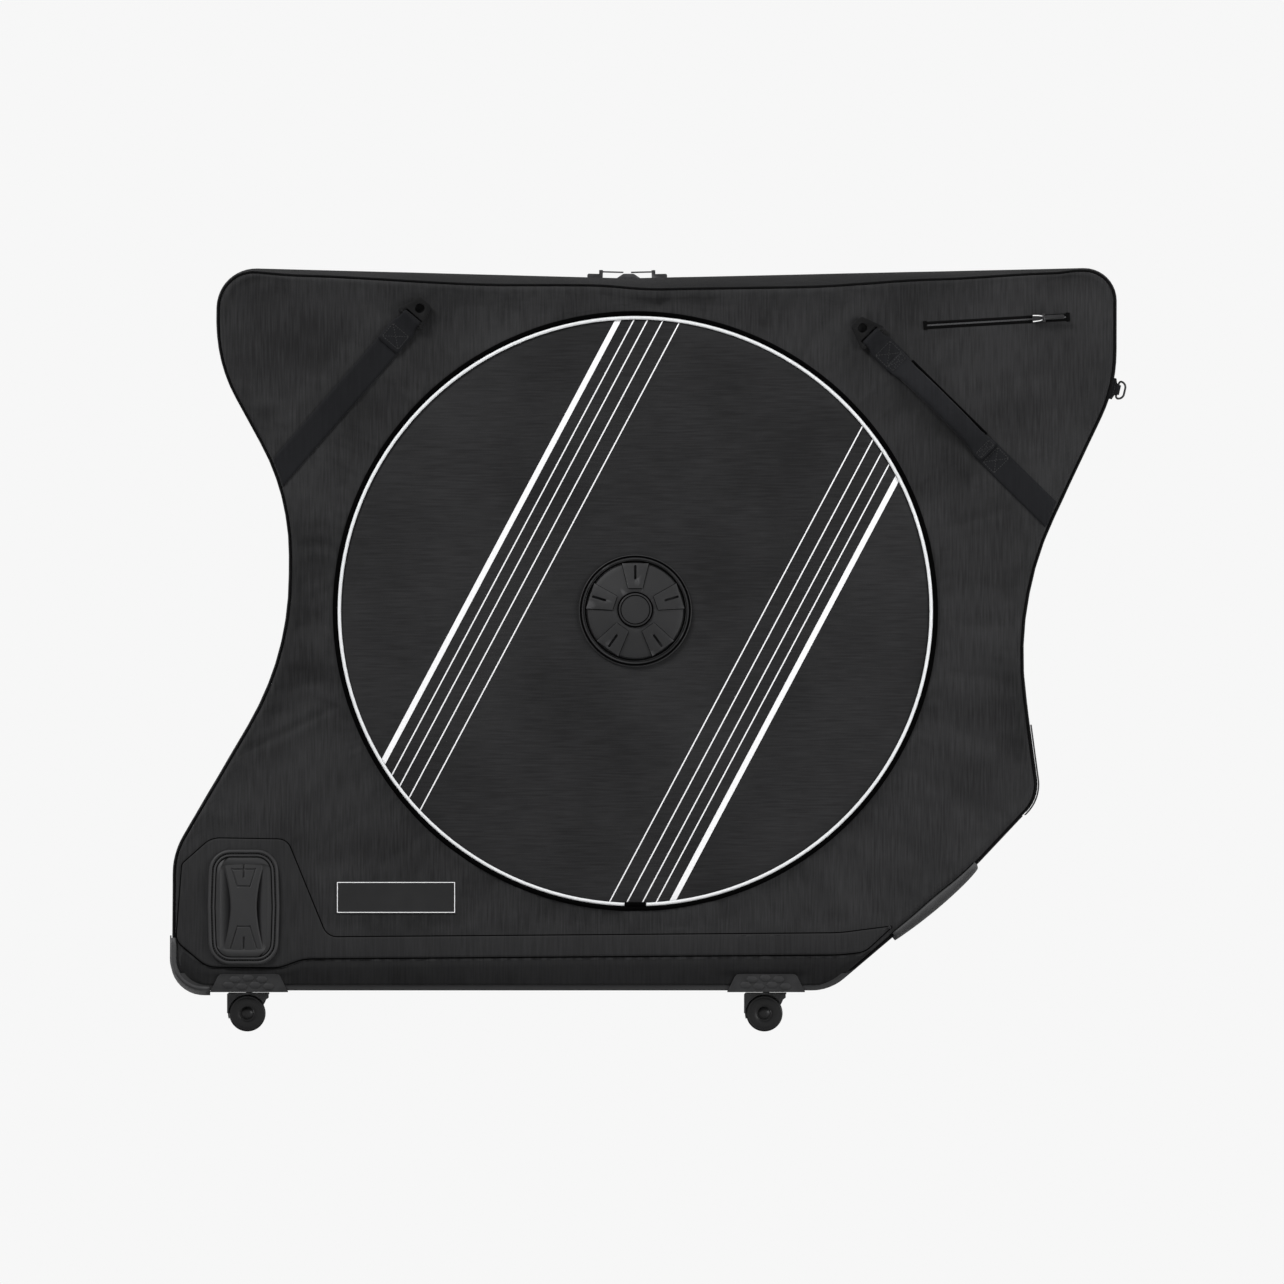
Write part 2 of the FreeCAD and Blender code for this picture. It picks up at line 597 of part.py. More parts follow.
def wheel_set(name, x, y):
    half = dim.hood_web / 2 + dim.hood_side_gap + dim.wheel_width - dim.wheel_web - dim.press_gap
    axle = rod(name + "_axle", dim.axle_radius, half * 2)
    place(axle, x, y + half, dim.wheel_radius, X_AXIS, RIGHT_ANGLE)
    item = doc.addObject("Part::Compound", name)
    item.Links = [wheel(name + "_outer", x, y, -1), wheel(name + "_inner", x, y, 1), axle]
    return item


kingpin_holes = []
for end, end_x in (("rear", dim.castor_rear_x), ("front", dim.castor_front_x)):
    for side_name, castor_y in (("near", -dim.castor_y), ("far", dim.castor_y)):
        place_name = "%s_%s" % (end, side_name)
        keep(hood("castor_hood_" + place_name, end_x, castor_y), "castor_hood_" + place_name)
        wheels = wheel_set("castor_wheels_" + place_name, end_x - dim.hood_trail, castor_y)
        keep(wheels, "castor_wheels_" + place_name)
        hole = rod("kingpin_hole_" + place_name, dim.kingpin_radius + dim.body_gap, dim.rail_top)
        kingpin_holes.append(place(hole, end_x, castor_y, ZERO))

# Inner frame: two square rails joined by cross tubes, bolted up through the tray with sunk heads
rails = []
rail_cores = []
for side_name, side in (("near", -1), ("far", 1)):
    length = dim.rail_front - dim.rail_rear
    rail = box("rail_" + side_name, length, dim.rail_size, dim.rail_size)
    rails.append(place(rail, dim.rail_rear, dim.rail_spread * side - dim.rail_size / 2, dim.floor_z))
    core_size = dim.rail_size - dim.rail_wall * 2
    core = box("rail_core_" + side_name, length, core_size, core_size)
    rail_cores.append(place(core, dim.rail_rear, dim.rail_spread * side - core_size / 2,
                            dim.floor_z + dim.rail_wall))
for name, x in (("rear", dim.cross_rear_x), ("mid", dim.cross_mid_x), ("front", dim.cross_front_x)):
    cross = box("cross_" + name, dim.rail_size, dim.rail_spread * 2, dim.rail_size)
    rails.append(place(cross, x - dim.rail_size / 2, -dim.rail_spread, dim.floor_z))
bolts = []
bolt_holes = []
bolt_seats = []
for name, x in (("rear", dim.bolt_rear_x), ("mid", dim.bolt_mid_x), ("front", dim.bolt_front_x)):
    for side_name, side in (("near", -1), ("far", 1)):
        bolt_name = "bolt_%s_%s" % (name, side_name)
        head = rod(bolt_name + "_head", dim.bolt_head_radius, dim.bolt_head_height)
        place(head, x, dim.rail_spread * side, dim.base_z)
        seat = rod(bolt_name + "_seat", dim.bolt_head_radius + dim.running_gap, dim.bolt_head_height)
        bolt_seats.append(place(seat, x, dim.rail_spread * side, dim.base_z))
        shank = rod(bolt_name + "_shank", dim.bolt_radius, dim.bolt_reach)
        place(shank, x, dim.rail_spread * side, dim.base_z)
        bolts.append(fuse(bolt_name, [head, shank]))
        hole = rod(bolt_name + "_hole", dim.bolt_radius + dim.running_gap, dim.bolt_reach)
        bolt_holes.append(place(hole, x, dim.rail_spread * side, dim.base_z))
frame_tubes = cut("frame_tubes", fuse("frame_solid", rails), fuse("frame_cores", rail_cores))
keep(cut("inner_frame", frame_tubes, fuse("frame_bolt_holes", bolt_holes)), "inner_frame")
frame_bolts = doc.addObject("Part::Compound", "frame_bolts")
frame_bolts.Links = bolts
keep(frame_bolts, "frame_bolts")
tray_with_toe = fuse("tray_with_toe", [tray_pan, toe])
tray_holes = fuse("tray_holes", kingpin_holes + bolt_holes + bolt_seats)
keep(cut("base_tray", tray_with_toe, tray_holes), "base_tray")

# Bottom-bracket pad: a firm foam block with a groove, on the rails
pad_body = new_body("bottom_bracket_block")
place(pad_body, dim.pad_x, ZERO, dim.rail_top)
half = dim.pad_length / 2
pad_corners = [(-half, ZERO), (half, ZERO), (half, dim.pad_height, dim.pad_corner),
               (-half, dim.pad_height, dim.pad_corner)]
pad(pad_body, outline(pad_body, "XZ_Plane", pad_corners), dim.pad_half_width * 2, symmetric=True)
pocket(pad_body, circle(pad_body, "XZ_Plane", ZERO, dim.pad_height + dim.pad_groove_lift, dim.pad_groove),
       dim.pad_half_width * 3, symmetric=True)
keep(pad_body, "bottom_bracket_pad")

# Stands: a carriage that slides on the rails, a post with the axle sleeve, a clamp knob
REAR_POST_SHARES = [(0.55, 0.0), (1.0, 0.0), (0.30, 1.0, 1.0), (0.0, 1.0, 1.0)]
REAR_WINDOW_SHARES = [(0.56, 0.10, 0.5), (0.83, 0.10, 0.5), (0.34, 0.76, 0.5), (0.22, 0.76, 0.5)]
FRONT_POST_SHARES = [(0.0, 0.0), (0.25, 0.0), (0.985, 0.86, 1.0), (0.915, 1.0, 1.0), (0.0, 0.17)]
FRONT_WINDOW_SHARES = [(0.06, 0.07, 0.5), (0.24, 0.07, 0.5), (0.87, 0.79, 0.5), (0.83, 0.84, 0.5),
                       (0.06, 0.14, 0.5)]


def carriage(name, x):
    width = dim.rail_spread * 2 + dim.rail_size + dim.body_gap * 2 + dim.carriage_cheek * 2
    top = box(name + "_top", dim.carriage_length, width, dim.carriage_plate)
    place(top, x - dim.carriage_length / 2, -width / 2, dim.carriage_bottom)
    parts = [top]
    for cheek_name, y in (("near", -width / 2), ("far", width / 2 - dim.carriage_cheek)):
        cheek = box(name + "_cheek_" + cheek_name, dim.carriage_length, dim.carriage_cheek,
                    dim.carriage_cheek_drop + dim.carriage_plate)
        cheek_bottom = dim.carriage_bottom - dim.carriage_cheek_drop
        parts.append(place(cheek, x - dim.carriage_length / 2, y, cheek_bottom))
    hole = rod(name + "_hole", dim.knob_stud + dim.running_gap, dim.carriage_plate * 3)
    place(hole, x, -dim.rail_spread, dim.carriage_bottom - dim.carriage_plate)
    return cut(name, fuse(name + "_folded", parts), hole)


def post(name, shares, window, x0, width, axle_x, axle_z, sleeve_length):
    arm = new_body(name + "_arm")
    height = axle_z + dim.sleeve_radius - dim.carriage_top
    corners = from_shares(shares, x0, dim.carriage_top, width, height, dim.post_round)
    pad(arm, outline(arm, "XZ_Plane", corners), dim.post_half_width * 2, symmetric=True)
    opening = from_shares(window, x0, dim.carriage_top, width, height, dim.post_round)
    pocket(arm, outline(arm, "XZ_Plane", opening), dim.post_half_width * 4, symmetric=True)
    sleeve = rod(name + "_sleeve", dim.sleeve_radius, sleeve_length)
    place(sleeve, axle_x, sleeve_length / 2, axle_z, X_AXIS, RIGHT_ANGLE)
    bore = rod(name + "_bore", dim.axle_bore, sleeve_length * 2)
    place(bore, axle_x, sleeve_length, axle_z, X_AXIS, RIGHT_ANGLE)
    return cut(name, fuse(name + "_welded", [arm, sleeve]), bore)


KNOB_LOBES = 5
FULL_TURN = 360.0


def knob(name, x):
    bottom = dim.carriage_top + dim.knob_lift
    parts = [place(rod(name + "_disc", dim.knob_radius, dim.knob_height), x, -dim.rail_spread, bottom)]
    for lobe in range(KNOB_LOBES):
        angle = as_size(FULL_TURN * lobe / KNOB_LOBES)
        item = rod("%s_lobe_%d" % (name, lobe), dim.knob_lobe, dim.knob_height)
        parts.append(place(item, x + cosine(angle) * dim.knob_radius,
                           sine(angle) * dim.knob_radius - dim.rail_spread, bottom))
    stud_bottom = dim.carriage_bottom
    stud = rod(name + "_stud", dim.knob_stud, bottom - stud_bottom + dim.knob_lift)
    parts.append(place(stud, x, -dim.rail_spread, stud_bottom))
    return fuse(name, parts)


keep(carriage("rear_carriage", dim.rear_carriage_x), "rear_carriage")
rear_post_x = dim.rear_axle_x - dim.sleeve_radius
rear_post_width = dim.rear_carriage_x + dim.carriage_length / 2 - rear_post_x
keep(post("rear_post", REAR_POST_SHARES, REAR_WINDOW_SHARES, rear_post_x, rear_post_width,
          dim.rear_axle_x, dim.rear_axle_z, dim.rear_sleeve), "rear_post")
keep(knob("rear_knob", dim.rear_carriage_x), "rear_knob")
keep(carriage("front_carriage", dim.front_carriage_x), "front_carriage")
front_post_x = dim.front_carriage_x - dim.carriage_length / 2
front_post_width = dim.front_axle_x + dim.sleeve_radius - front_post_x
keep(post("front_post", FRONT_POST_SHARES, FRONT_WINDOW_SHARES, front_post_x, front_post_width,
          dim.front_axle_x, dim.front_axle_z, dim.front_sleeve), "front_post")
keep(knob("front_knob", dim.front_carriage_x), "front_knob")

# Gussets: the edge band of each half, from its panel to the zip tape, and above the tray's toe in front
gusset_bottom = dim.tray_top + dim.body_gap
below_toe_top = zone("below_toe_top", ZERO, FAR, -FAR, FAR, ZERO, dim.toe_top + dim.body_gap)
near_half = zone("near_half", -FAR, FAR, -FAR, -dim.zip_half_width, gusset_bottom, FAR * 2)
gusset_tool = fuse("gusset_tool", [near_outside, below_toe_top])
near_gusset = cut("near_gusset", common("near_gusset_strip", gusset_band, near_half), gusset_tool)
keep(near_gusset, "near_gusset")
keep(mirrored("far_gusset", near_gusset), "far_gusset")

# Zip tapes: thinner strips that close the gap between the gussets
tape_band = band("tape_band", dim.zip_depth, dim.zip_depth + dim.zip_tape)
tape_zone = zone("tape_zone", -FAR, FAR, -dim.zip_half_width, -dim.body_gap / 2, gusset_bottom, FAR * 2)
near_tape = cut("near_zip_tape", common("near_tape_strip", tape_band, tape_zone), below_toe_top)
keep(near_tape, "near_zip_tape")
keep(mirrored("far_zip_tape", near_tape), "far_zip_tape")

# Nose guards: moulded pads on the gussets where the front bulges out
nose_band = band("nose_band", -dim.guard_thickness, ZERO)
nose_zone = zone("nose_zone", dim.nose_guard_reach, FAR, -dim.guard_half_width, -dim.zip_half_width,
                 dim.base_z + dim.nose_guard_low, dim.base_z + dim.nose_guard_high)
near_nose = keep(common("near_nose_guard", nose_band, nose_zone), "near_nose_guard")
keep(mirrored("far_nose_guard", near_nose), "far_nose_guard")

# Side panels: padded plates with a rounded outer edge, a raised sill band and a hem bead on the hinge line
SILL_SHARES = [(0.010, 0.041), (0.724, 0.041), (0.763, 0.087), (0.7066, 0.080), (0.172, 0.075, 0.03),
               (0.122, 0.211, 0.03), (0.042, 0.212, 0.03), (0.011, 0.176, 0.01)]
panel_slab = side_slab("panel_slab", ZERO, dim.panel_thickness)
above_hinge = zone("above_hinge", -FAR, FAR, -FAR, FAR, dim.hinge_z, FAR * 2)
panel_plate = common("panel_plate", common("panel_blank", case_prism, panel_slab), above_hinge)
doc.recompute()


def outer_edges(shape):
    """Numbers of the plate's edges that lie in its outer face, without the hinge edge."""
    normal = FreeCAD.Vector(0, -dim.lean_cosine.number, dim.lean_sine.number)
    faces = [face for face in shape.Faces if face.normalAt(0, 0).dot(normal) > 0.99]
    rim = max(faces, key=lambda face: face.Area)
    lowest = min(rim.Edges, key=lambda edge: edge.CenterOfMass.z)
    chosen = [edge for edge in rim.Edges if not edge.isSame(lowest)]
    return [number for number, edge in enumerate(shape.Edges, start=1)
            if any(edge.isSame(other) for other in chosen)]


panel_soft = doc.addObject("Part::Fillet", "panel_soft")
panel_soft.Base = panel_plate
edge_round = dim.panel_edge_round.number
panel_soft.Edges = [(number, edge_round, edge_round) for number in outer_edges(panel_plate.Shape)]
sill = new_body("sill")
lean(sill, ZERO, ZERO, ZERO)
pad(sill, outline(sill, "XZ_Plane", from_shares(SILL_SHARES, -dim.rear_reach, ZERO, dim.case_length,
                                                dim.case_height, dim.case_height)), dim.sill_raise)
hem_length = dim.hem_front_reach + dim.rear_reach - dim.hem_end_inset
hem = rod("hem", dim.hem_bead_radius, hem_length)
hinge_y = dim.hinge_rise * dim.lean_sine / dim.lean_cosine - dim.base_half_width
place(hem, dim.hem_end_inset - dim.rear_reach, hinge_y, dim.hinge_z, Y_AXIS, RIGHT_ANGLE)
recess = rod("cover_recess", dim.cover_recess_radius, dim.cover_sheet * 2)
lean(recess, dim.cover_x, dim.cover_sheet, dim.cover_rise, RIGHT_ANGLE)
side_panel = cut("side_panel", fuse("side_panel_solid", [panel_soft, sill, hem]), recess)
keep(mirrored("far_side_panel", side_panel), "far_side_panel")

# Grab handle: a cup sunk in the near panel, and an arched hourglass strap across it
cup_half_x = dim.handle_width / 2 - dim.handle_rim
cup_half_y = dim.handle_height / 2 - dim.handle_rim
cup_corner = dim.handle_corner - dim.handle_rim
cup_wall = dim.handle_cup_floor
cup_hole = new_body("cup_hole")
lean(cup_hole, dim.handle_x, ZERO, dim.handle_rise)
hole_grow = cup_wall + dim.press_gap
hole_outline = rectangle(cup_half_x + hole_grow, cup_half_y + hole_grow, cup_corner + hole_grow)
pad(cup_hole, outline(cup_hole, "XZ_Plane", hole_outline, lift=-dim.handle_cup_depth - dim.press_gap),
    dim.handle_cup_depth * 2)
keep(cut("near_side_panel", side_panel, cup_hole), "near_side_panel")
cup = new_body("handle_cup_body")
lean(cup, dim.handle_x, ZERO, dim.handle_rise)
rim_outline = rectangle(dim.handle_width / 2, dim.handle_height / 2, dim.handle_corner)
pad(cup, outline(cup, "XZ_Plane", rim_outline, lift=dim.sill_raise), dim.handle_rim_height)
cup_outline = rectangle(cup_half_x + cup_wall, cup_half_y + cup_wall, cup_corner + cup_wall)
pad(cup, outline(cup, "XZ_Plane", cup_outline, lift=-dim.handle_cup_depth),
    dim.handle_cup_depth + dim.sill_raise + dim.handle_rim_height)
pocket(cup, outline(cup, "XZ_Plane", rectangle(cup_half_x, cup_half_y, cup_corner),
                    lift=dim.handle_cup_floor - dim.handle_cup_depth),
       dim.handle_cup_depth * 3, backwards=True)
keep(cup, "handle_cup")
strap_front = new_body("handle_strap_front")
lean(strap_front, dim.handle_x, ZERO, dim.handle_rise)
strap_half = dim.handle_strap_length / 2
end_half = dim.handle_strap_end / 2
waist_half = dim.handle_strap_waist / 2
pad(strap_front, outline(strap_front, "XZ_Plane", [
    (-end_half, -strap_half), (end_half, -strap_half), (waist_half, ZERO, dim.handle_waist_round),
    (end_half, strap_half), (-end_half, strap_half), (-waist_half, ZERO, dim.handle_waist_round)]),
    dim.working_reach, symmetric=True)
strap_side = new_body("handle_strap_side")
lean(strap_side, dim.handle_x, ZERO, dim.handle_rise)
seat = dim.handle_cup_depth - dim.handle_cup_floor
crown = dim.handle_strap_crown
thick = dim.handle_strap_thickness
foot_in = strap_half - dim.handle_foot
bend_out = dim.handle_bend_outer
bend_in = dim.handle_bend_inner
bend_round = dim.handle_bend_round
pad(strap_side, outline(strap_side, "YZ_Plane", [
    (seat, -strap_half), (-crown, -bend_out, bend_round + thick), (-crown, bend_out, bend_round + thick),
    (seat, strap_half), (seat, foot_in), (thick - crown, bend_in, bend_round),
    (thick - crown, -bend_in, bend_round), (seat, -foot_in)]), dim.working_reach, symmetric=True)
keep(common("handle_strap", strap_front, strap_side), "handle_strap")

# Wheel covers, their piping and the inner wheel pockets
cover = rod("near_wheel_cover", dim.cover_radius, dim.cover_sheet)
keep(lean(cover, dim.cover_x, dim.cover_sheet, dim.cover_rise, RIGHT_ANGLE), "near_wheel_cover")
keep(mirrored("far_wheel_cover", cover), "far_wheel_cover")
piping = doc.addObject("Part::Torus", "near_cover_piping")
bind(piping, "Radius1", dim.cover_radius + dim.piping_radius + dim.piping_gap)
bind(piping, "Radius2", dim.piping_radius)
keep(lean(piping, dim.cover_x, dim.cover_sheet - dim.piping_radius, dim.cover_rise, RIGHT_ANGLE),
     "near_cover_piping")
keep(mirrored("far_cover_piping", piping), "far_cover_piping")
pocket_body = new_body("pocket_dish")
lean(pocket_body, dim.cover_x, ZERO, dim.cover_rise, RIGHT_ANGLE)
back = -dim.panel_thickness
shoulder = back - dim.pocket_shoulder_depth
floor = back - dim.pocket_floor_depth
rim = dim.pocket_rim_radius
skin = dim.pocket_sheet
revolve(pocket_body, outline(pocket_body, "XZ_Plane", [
    (ZERO, floor), (dim.pocket_floor_radius, floor), (dim.pocket_shoulder_radius, shoulder), (rim, back),
    (rim + dim.pocket_flange, back), (rim + dim.pocket_flange, back - skin), (rim + skin, back - skin),
    (dim.pocket_shoulder_radius + skin, shoulder - skin), (dim.pocket_floor_radius + skin, floor - skin),
    (ZERO, floor - skin)]))
mouth = box("pocket_mouth", dim.working_reach * 2, dim.working_reach, dim.working_reach)
lean(mouth, -dim.working_reach, ZERO, dim.cover_rise + dim.pocket_mouth_rise)
near_pocket = keep(cut("near_wheel_pocket", pocket_body, mouth), "near_wheel_pocket")
keep(mirrored("far_wheel_pocket", near_pocket), "far_wheel_pocket")

# Hub shields: a domed disc with five raised tiles, each with a slot, and a centre cap
SHIELD_TILES = 5
dome = new_body("shield_dome")
lean(dome, dim.cover_x, ZERO, dim.cover_rise, RIGHT_ANGLE)
seat_radius = dim.shield_cap_radius + dim.shield_cap_gap
ring_edge = dim.shield_face_radius + dim.shield_flange
ring_groove = ring_edge + dim.shield_groove_width
face_groove = dim.shield_inner_groove - dim.shield_groove_width
ring_groove_foot = dim.shield_ring_height - dim.shield_groove_depth
face_groove_foot = dim.shield_face_height - dim.shield_groove_depth
revolve(dome, outline(dome, "XZ_Plane", [
    (ZERO, ZERO), (dim.shield_radius, ZERO), (dim.shield_radius, dim.shield_flange),
    (dim.shield_ring_radius, dim.shield_ring_height), (ring_groove, dim.shield_ring_height),
    (ring_groove, ring_groove_foot), (ring_edge, ring_groove_foot), (ring_edge, dim.shield_ring_height),
    (dim.shield_face_radius, dim.shield_face_height), (dim.shield_inner_groove, dim.shield_face_height),
    (dim.shield_inner_groove, face_groove_foot), (face_groove, face_groove_foot),
    (face_groove, dim.shield_face_height), (dim.shield_collar_radius, dim.shield_crown_height),
    (seat_radius, dim.shield_crown_height), (seat_radius, dim.shield_cap_seat), (ZERO, dim.shield_cap_seat)]))
tile_layer = new_body("shield_tile_layer")
lean(tile_layer, dim.cover_x, ZERO, dim.cover_rise, RIGHT_ANGLE)
raised = dim.shield_tile_raise
revolve(tile_layer, outline(tile_layer, "XZ_Plane", [
    (ZERO, dim.shield_flange), (dim.shield_face_radius, dim.shield_flange),
    (dim.shield_face_radius, dim.shield_face_height + raised),
    (dim.shield_collar_radius, dim.shield_crown_height + raised), (ZERO, dim.shield_crown_height + raised)]))
tiles = new_body("shield_tiles")
lean(tiles, dim.cover_x, ZERO, dim.cover_rise, RIGHT_ANGLE)
tile = pad(tiles, outline(tiles, "XY_Plane", [
    (-dim.shield_tile_inner_half, dim.shield_tile_inner), (dim.shield_tile_inner_half, dim.shield_tile_inner),
    (dim.shield_tile_outer_half, dim.shield_tile_outer),
    (-dim.shield_tile_outer_half, dim.shield_tile_outer)],
    lift=dim.shield_flange), dim.shield_crown_height * 2)
around(tiles, tile, SHIELD_TILES)
slots = new_body("shield_slots")
lean(slots, dim.cover_x, ZERO, dim.cover_rise, RIGHT_ANGLE)
slot_round = dim.shield_slot_round
slot = pad(slots, outline(slots, "XY_Plane", [
    (-dim.shield_slot_half, dim.shield_slot_inner, slot_round),
    (dim.shield_slot_half, dim.shield_slot_inner, slot_round),
    (dim.shield_slot_half, dim.shield_slot_outer, slot_round),
    (-dim.shield_slot_half, dim.shield_slot_outer, slot_round)],
    lift=dim.shield_face_height - dim.shield_slot_depth / 2), dim.shield_crown_height * 2)
around(slots, slot, SHIELD_TILES)
shield_solid = fuse("shield_solid", [dome, common("shield_raised", tile_layer, tiles)])
shield = keep(cut("near_hub_shield", shield_solid, slots), "near_hub_shield")
keep(mirrored("far_hub_shield", shield), "far_hub_shield")
cap = new_body("hub_cap_body")
lean(cap, dim.cover_x, ZERO, dim.cover_rise, RIGHT_ANGLE)
cap_top = dim.shield_cap_seat + dim.shield_cap_height
revolve(cap, outline(cap, "XZ_Plane", [
    (ZERO, dim.shield_cap_seat), (dim.shield_cap_radius, dim.shield_cap_seat),
    (dim.shield_cap_radius, cap_top, dim.shield_cap_height / 3), (ZERO, cap_top)]))
keep(cap, "near_hub_cap")
keep(mirrored("far_hub_cap", cap), "far_hub_cap")

# Webbing straps on the near panel, each ending in a loop round its ring's pin


def strap(name, x, rise, angle, start, stop):
    """A flat strap sewn to the panel; its length runs along the angle from the ring's pin."""
    body = new_body(name)
    lean(body, ZERO, ZERO, ZERO)
    half = dim.strap_width / 2
    corners = [(start, -half), (stop, -half), (stop, half), (start, half)]
    pad(body, outline(body, "XZ_Plane", corners, x=x, y=rise, turn=angle), dim.strap_thickness)
    return body


def pin_rod(name, x, rise, angle, lift, radius, half):
    """A round bar across a strap, at right angles to the strap's run."""
    item = rod(name, radius, half * 2)
    along_x = sine(angle) * half
    along_v = -cosine(angle) * half
    lean(item, x + along_x, -lift, rise + along_v)
    turned = FreeCAD.Rotation(FreeCAD.Vector(1, 0, 0), -dim.lean_angle.number)
    across = FreeCAD.Vector(-math.sin(math.radians(angle.number)), 0, math.cos(math.radians(angle.number)))
    item.setExpression("Placement.Rotation.Angle", None)
    spun = FreeCAD.Rotation(FreeCAD.Vector(0, 0, 1), turned.multVec(across))
    item.Placement = FreeCAD.Placement(item.Placement.Base, spun)
    return item


def webbing(name, x, rise, angle, length):
    """The ring end of a strap: the flat run with a round loop that turns on the ring's pin."""
    flat = strap(name + "_flat", x, rise, angle, dim.ring_tail + dim.body_gap, length)
    tongue = new_body(name + "_tongue")
    lean(tongue, ZERO, ZERO, ZERO)
    half = dim.strap_loop_half
    stop = dim.ring_tail * 2
    corners = [(ZERO, -half), (stop, -half), (stop, half), (ZERO, half)]
    pad(tongue, outline(tongue, "XZ_Plane", corners, x=x, y=rise, turn=angle), dim.strap_thickness)
    sleeve = pin_rod(name + "_sleeve", x, rise, angle, dim.strap_loop_lift, dim.strap_loop_radius,
                     dim.strap_loop_half)
    bore = pin_rod(name + "_bore", x, rise, angle, dim.strap_loop_lift, dim.ring_pin + dim.running_gap,
                   dim.ring_half_width)
    return cut(name, fuse(name + "_looped", [flat, tongue, sleeve]), bore)


def strap_ring(name, x, rise, angle):
    """A triangular ring: round pin between two ears, and an eye near its apex."""
    body = new_body(name + "_plate")
    lean(body, ZERO, ZERO, ZERO)
    bottom = dim.strap_loop_lift - dim.ring_plate / 2
    wide = dim.ring_half_width
    plate = [(dim.ring_tail, -wide, dim.ring_corner), (dim.ring_tail, wide, dim.ring_corner),
             (-dim.ring_length, dim.ring_apex_half, dim.ring_corner),
             (-dim.ring_length, -dim.ring_apex_half, dim.ring_corner)]
    pad(body, outline(body, "XZ_Plane", plate, x=x, y=rise, lift=bottom, turn=angle), dim.ring_plate)
    inner = dim.strap_loop_half + dim.body_gap
    notch = [(-dim.ring_notch, -inner), (dim.ring_tail * 2, -inner), (dim.ring_tail * 2, inner),
             (-dim.ring_notch, inner)]
    pocket(body, outline(body, "XZ_Plane", notch, x=x, y=rise, lift=bottom, turn=angle), dim.ring_plate * 2,
           backwards=True)
    eye = circle(body, "XZ_Plane", -dim.ring_eye_at, ZERO, dim.ring_eye_radius, lift=bottom, turn=angle,
                 at=(x, rise))
    pocket(body, eye, dim.ring_plate * 2, backwards=True)
    bar = pin_rod(name + "_bar", x, rise, angle, dim.strap_loop_lift, dim.ring_pin, (wide + inner) / 2)
    return fuse(name, [body, bar])


keep(webbing("rear_strap", dim.rear_strap_x, dim.rear_strap_rise, dim.rear_strap_angle,
             dim.rear_strap_length), "rear_strap")
keep(strap_ring("rear_strap_ring", dim.rear_strap_x, dim.rear_strap_rise, dim.rear_strap_angle),
     "rear_strap_ring")
front_upper = webbing("front_strap_upper", dim.front_strap_x, dim.front_strap_rise, dim.front_strap_angle,
                      dim.grip_start)
front_lower = strap("front_strap_lower", dim.front_strap_x, dim.front_strap_rise, dim.front_strap_angle,
                    dim.grip_end, dim.front_strap_length)
front_strap = doc.addObject("Part::Compound", "front_strap")
front_strap.Links = [front_upper, front_lower]
keep(front_strap, "front_strap")
keep(strap_ring("front_strap_ring", dim.front_strap_x, dim.front_strap_rise, dim.front_strap_angle),
     "front_strap_ring")

# Padded grip: an arch between the two runs of the front strap
grip = new_body("grip_arch")
lean(grip, ZERO, ZERO, ZERO)
grip_length = dim.grip_end - dim.grip_start
top = dim.grip_stand_off + dim.grip_thickness
under = dim.grip_stand_off
foot = dim.grip_foot_length
lie = dim.strap_thickness
sketch = grip.newObject("Sketcher::SketchObject", "grip_arch_outline")
attach(sketch, grip, "XY_Plane", ZERO, ZERO, ZERO, ZERO)
spin = FreeCAD.Rotation(FreeCAD.Vector(*Y_AXIS), 1.0)
sketch.AttachmentOffset = FreeCAD.Placement(FreeCAD.Vector(), spin)
bind(sketch, "AttachmentOffset.Rotation.Angle", -dim.front_strap_angle)
bind(sketch, "AttachmentOffset.Base.x", dim.front_strap_x)
bind(sketch, "AttachmentOffset.Base.z", dim.front_strap_rise)
near_end = dim.grip_start
far_end = dim.grip_end
bend = dim.grip_bend_radius
draw_outline(sketch, [
    (near_end - foot, -lie), (near_end, -lie), (near_end + dim.grip_rise_length, -under, bend),
    (far_end - dim.grip_rise_length, -under, bend), (far_end, -lie), (far_end + foot, -lie),
    (far_end - dim.grip_lead_length, -top, bend), (near_end + dim.grip_lead_length, -top, bend)])
pad(grip, sketch, dim.grip_width, symmetric=True)
section = new_body("grip_section")
lean(section, ZERO, ZERO, ZERO)
sketch = section.newObject("Sketcher::SketchObject", "grip_section_outline")
attach(sketch, section, "YZ_Plane", ZERO, ZERO, ZERO, ZERO)
tilt = FreeCAD.Rotation(FreeCAD.Vector(*X_AXIS), 1.0)
sketch.AttachmentOffset = FreeCAD.Placement(FreeCAD.Vector(), tilt)
bind(sketch, "AttachmentOffset.Rotation.Angle", -dim.front_strap_angle)
bind(sketch, "AttachmentOffset.Base.y", dim.front_strap_rise)
bind(sketch, "AttachmentOffset.Base.z", dim.front_strap_x)
half = dim.grip_width / 2
draw_outline(sketch, [(ZERO, -half), (ZERO, half), (-top, half, dim.grip_edge_radius),
                      (-top, -half, dim.grip_edge_radius)])
pad(section, sketch, dim.grip_end * 3, symmetric=True)
keep(common("front_grip", grip, section), "front_grip")

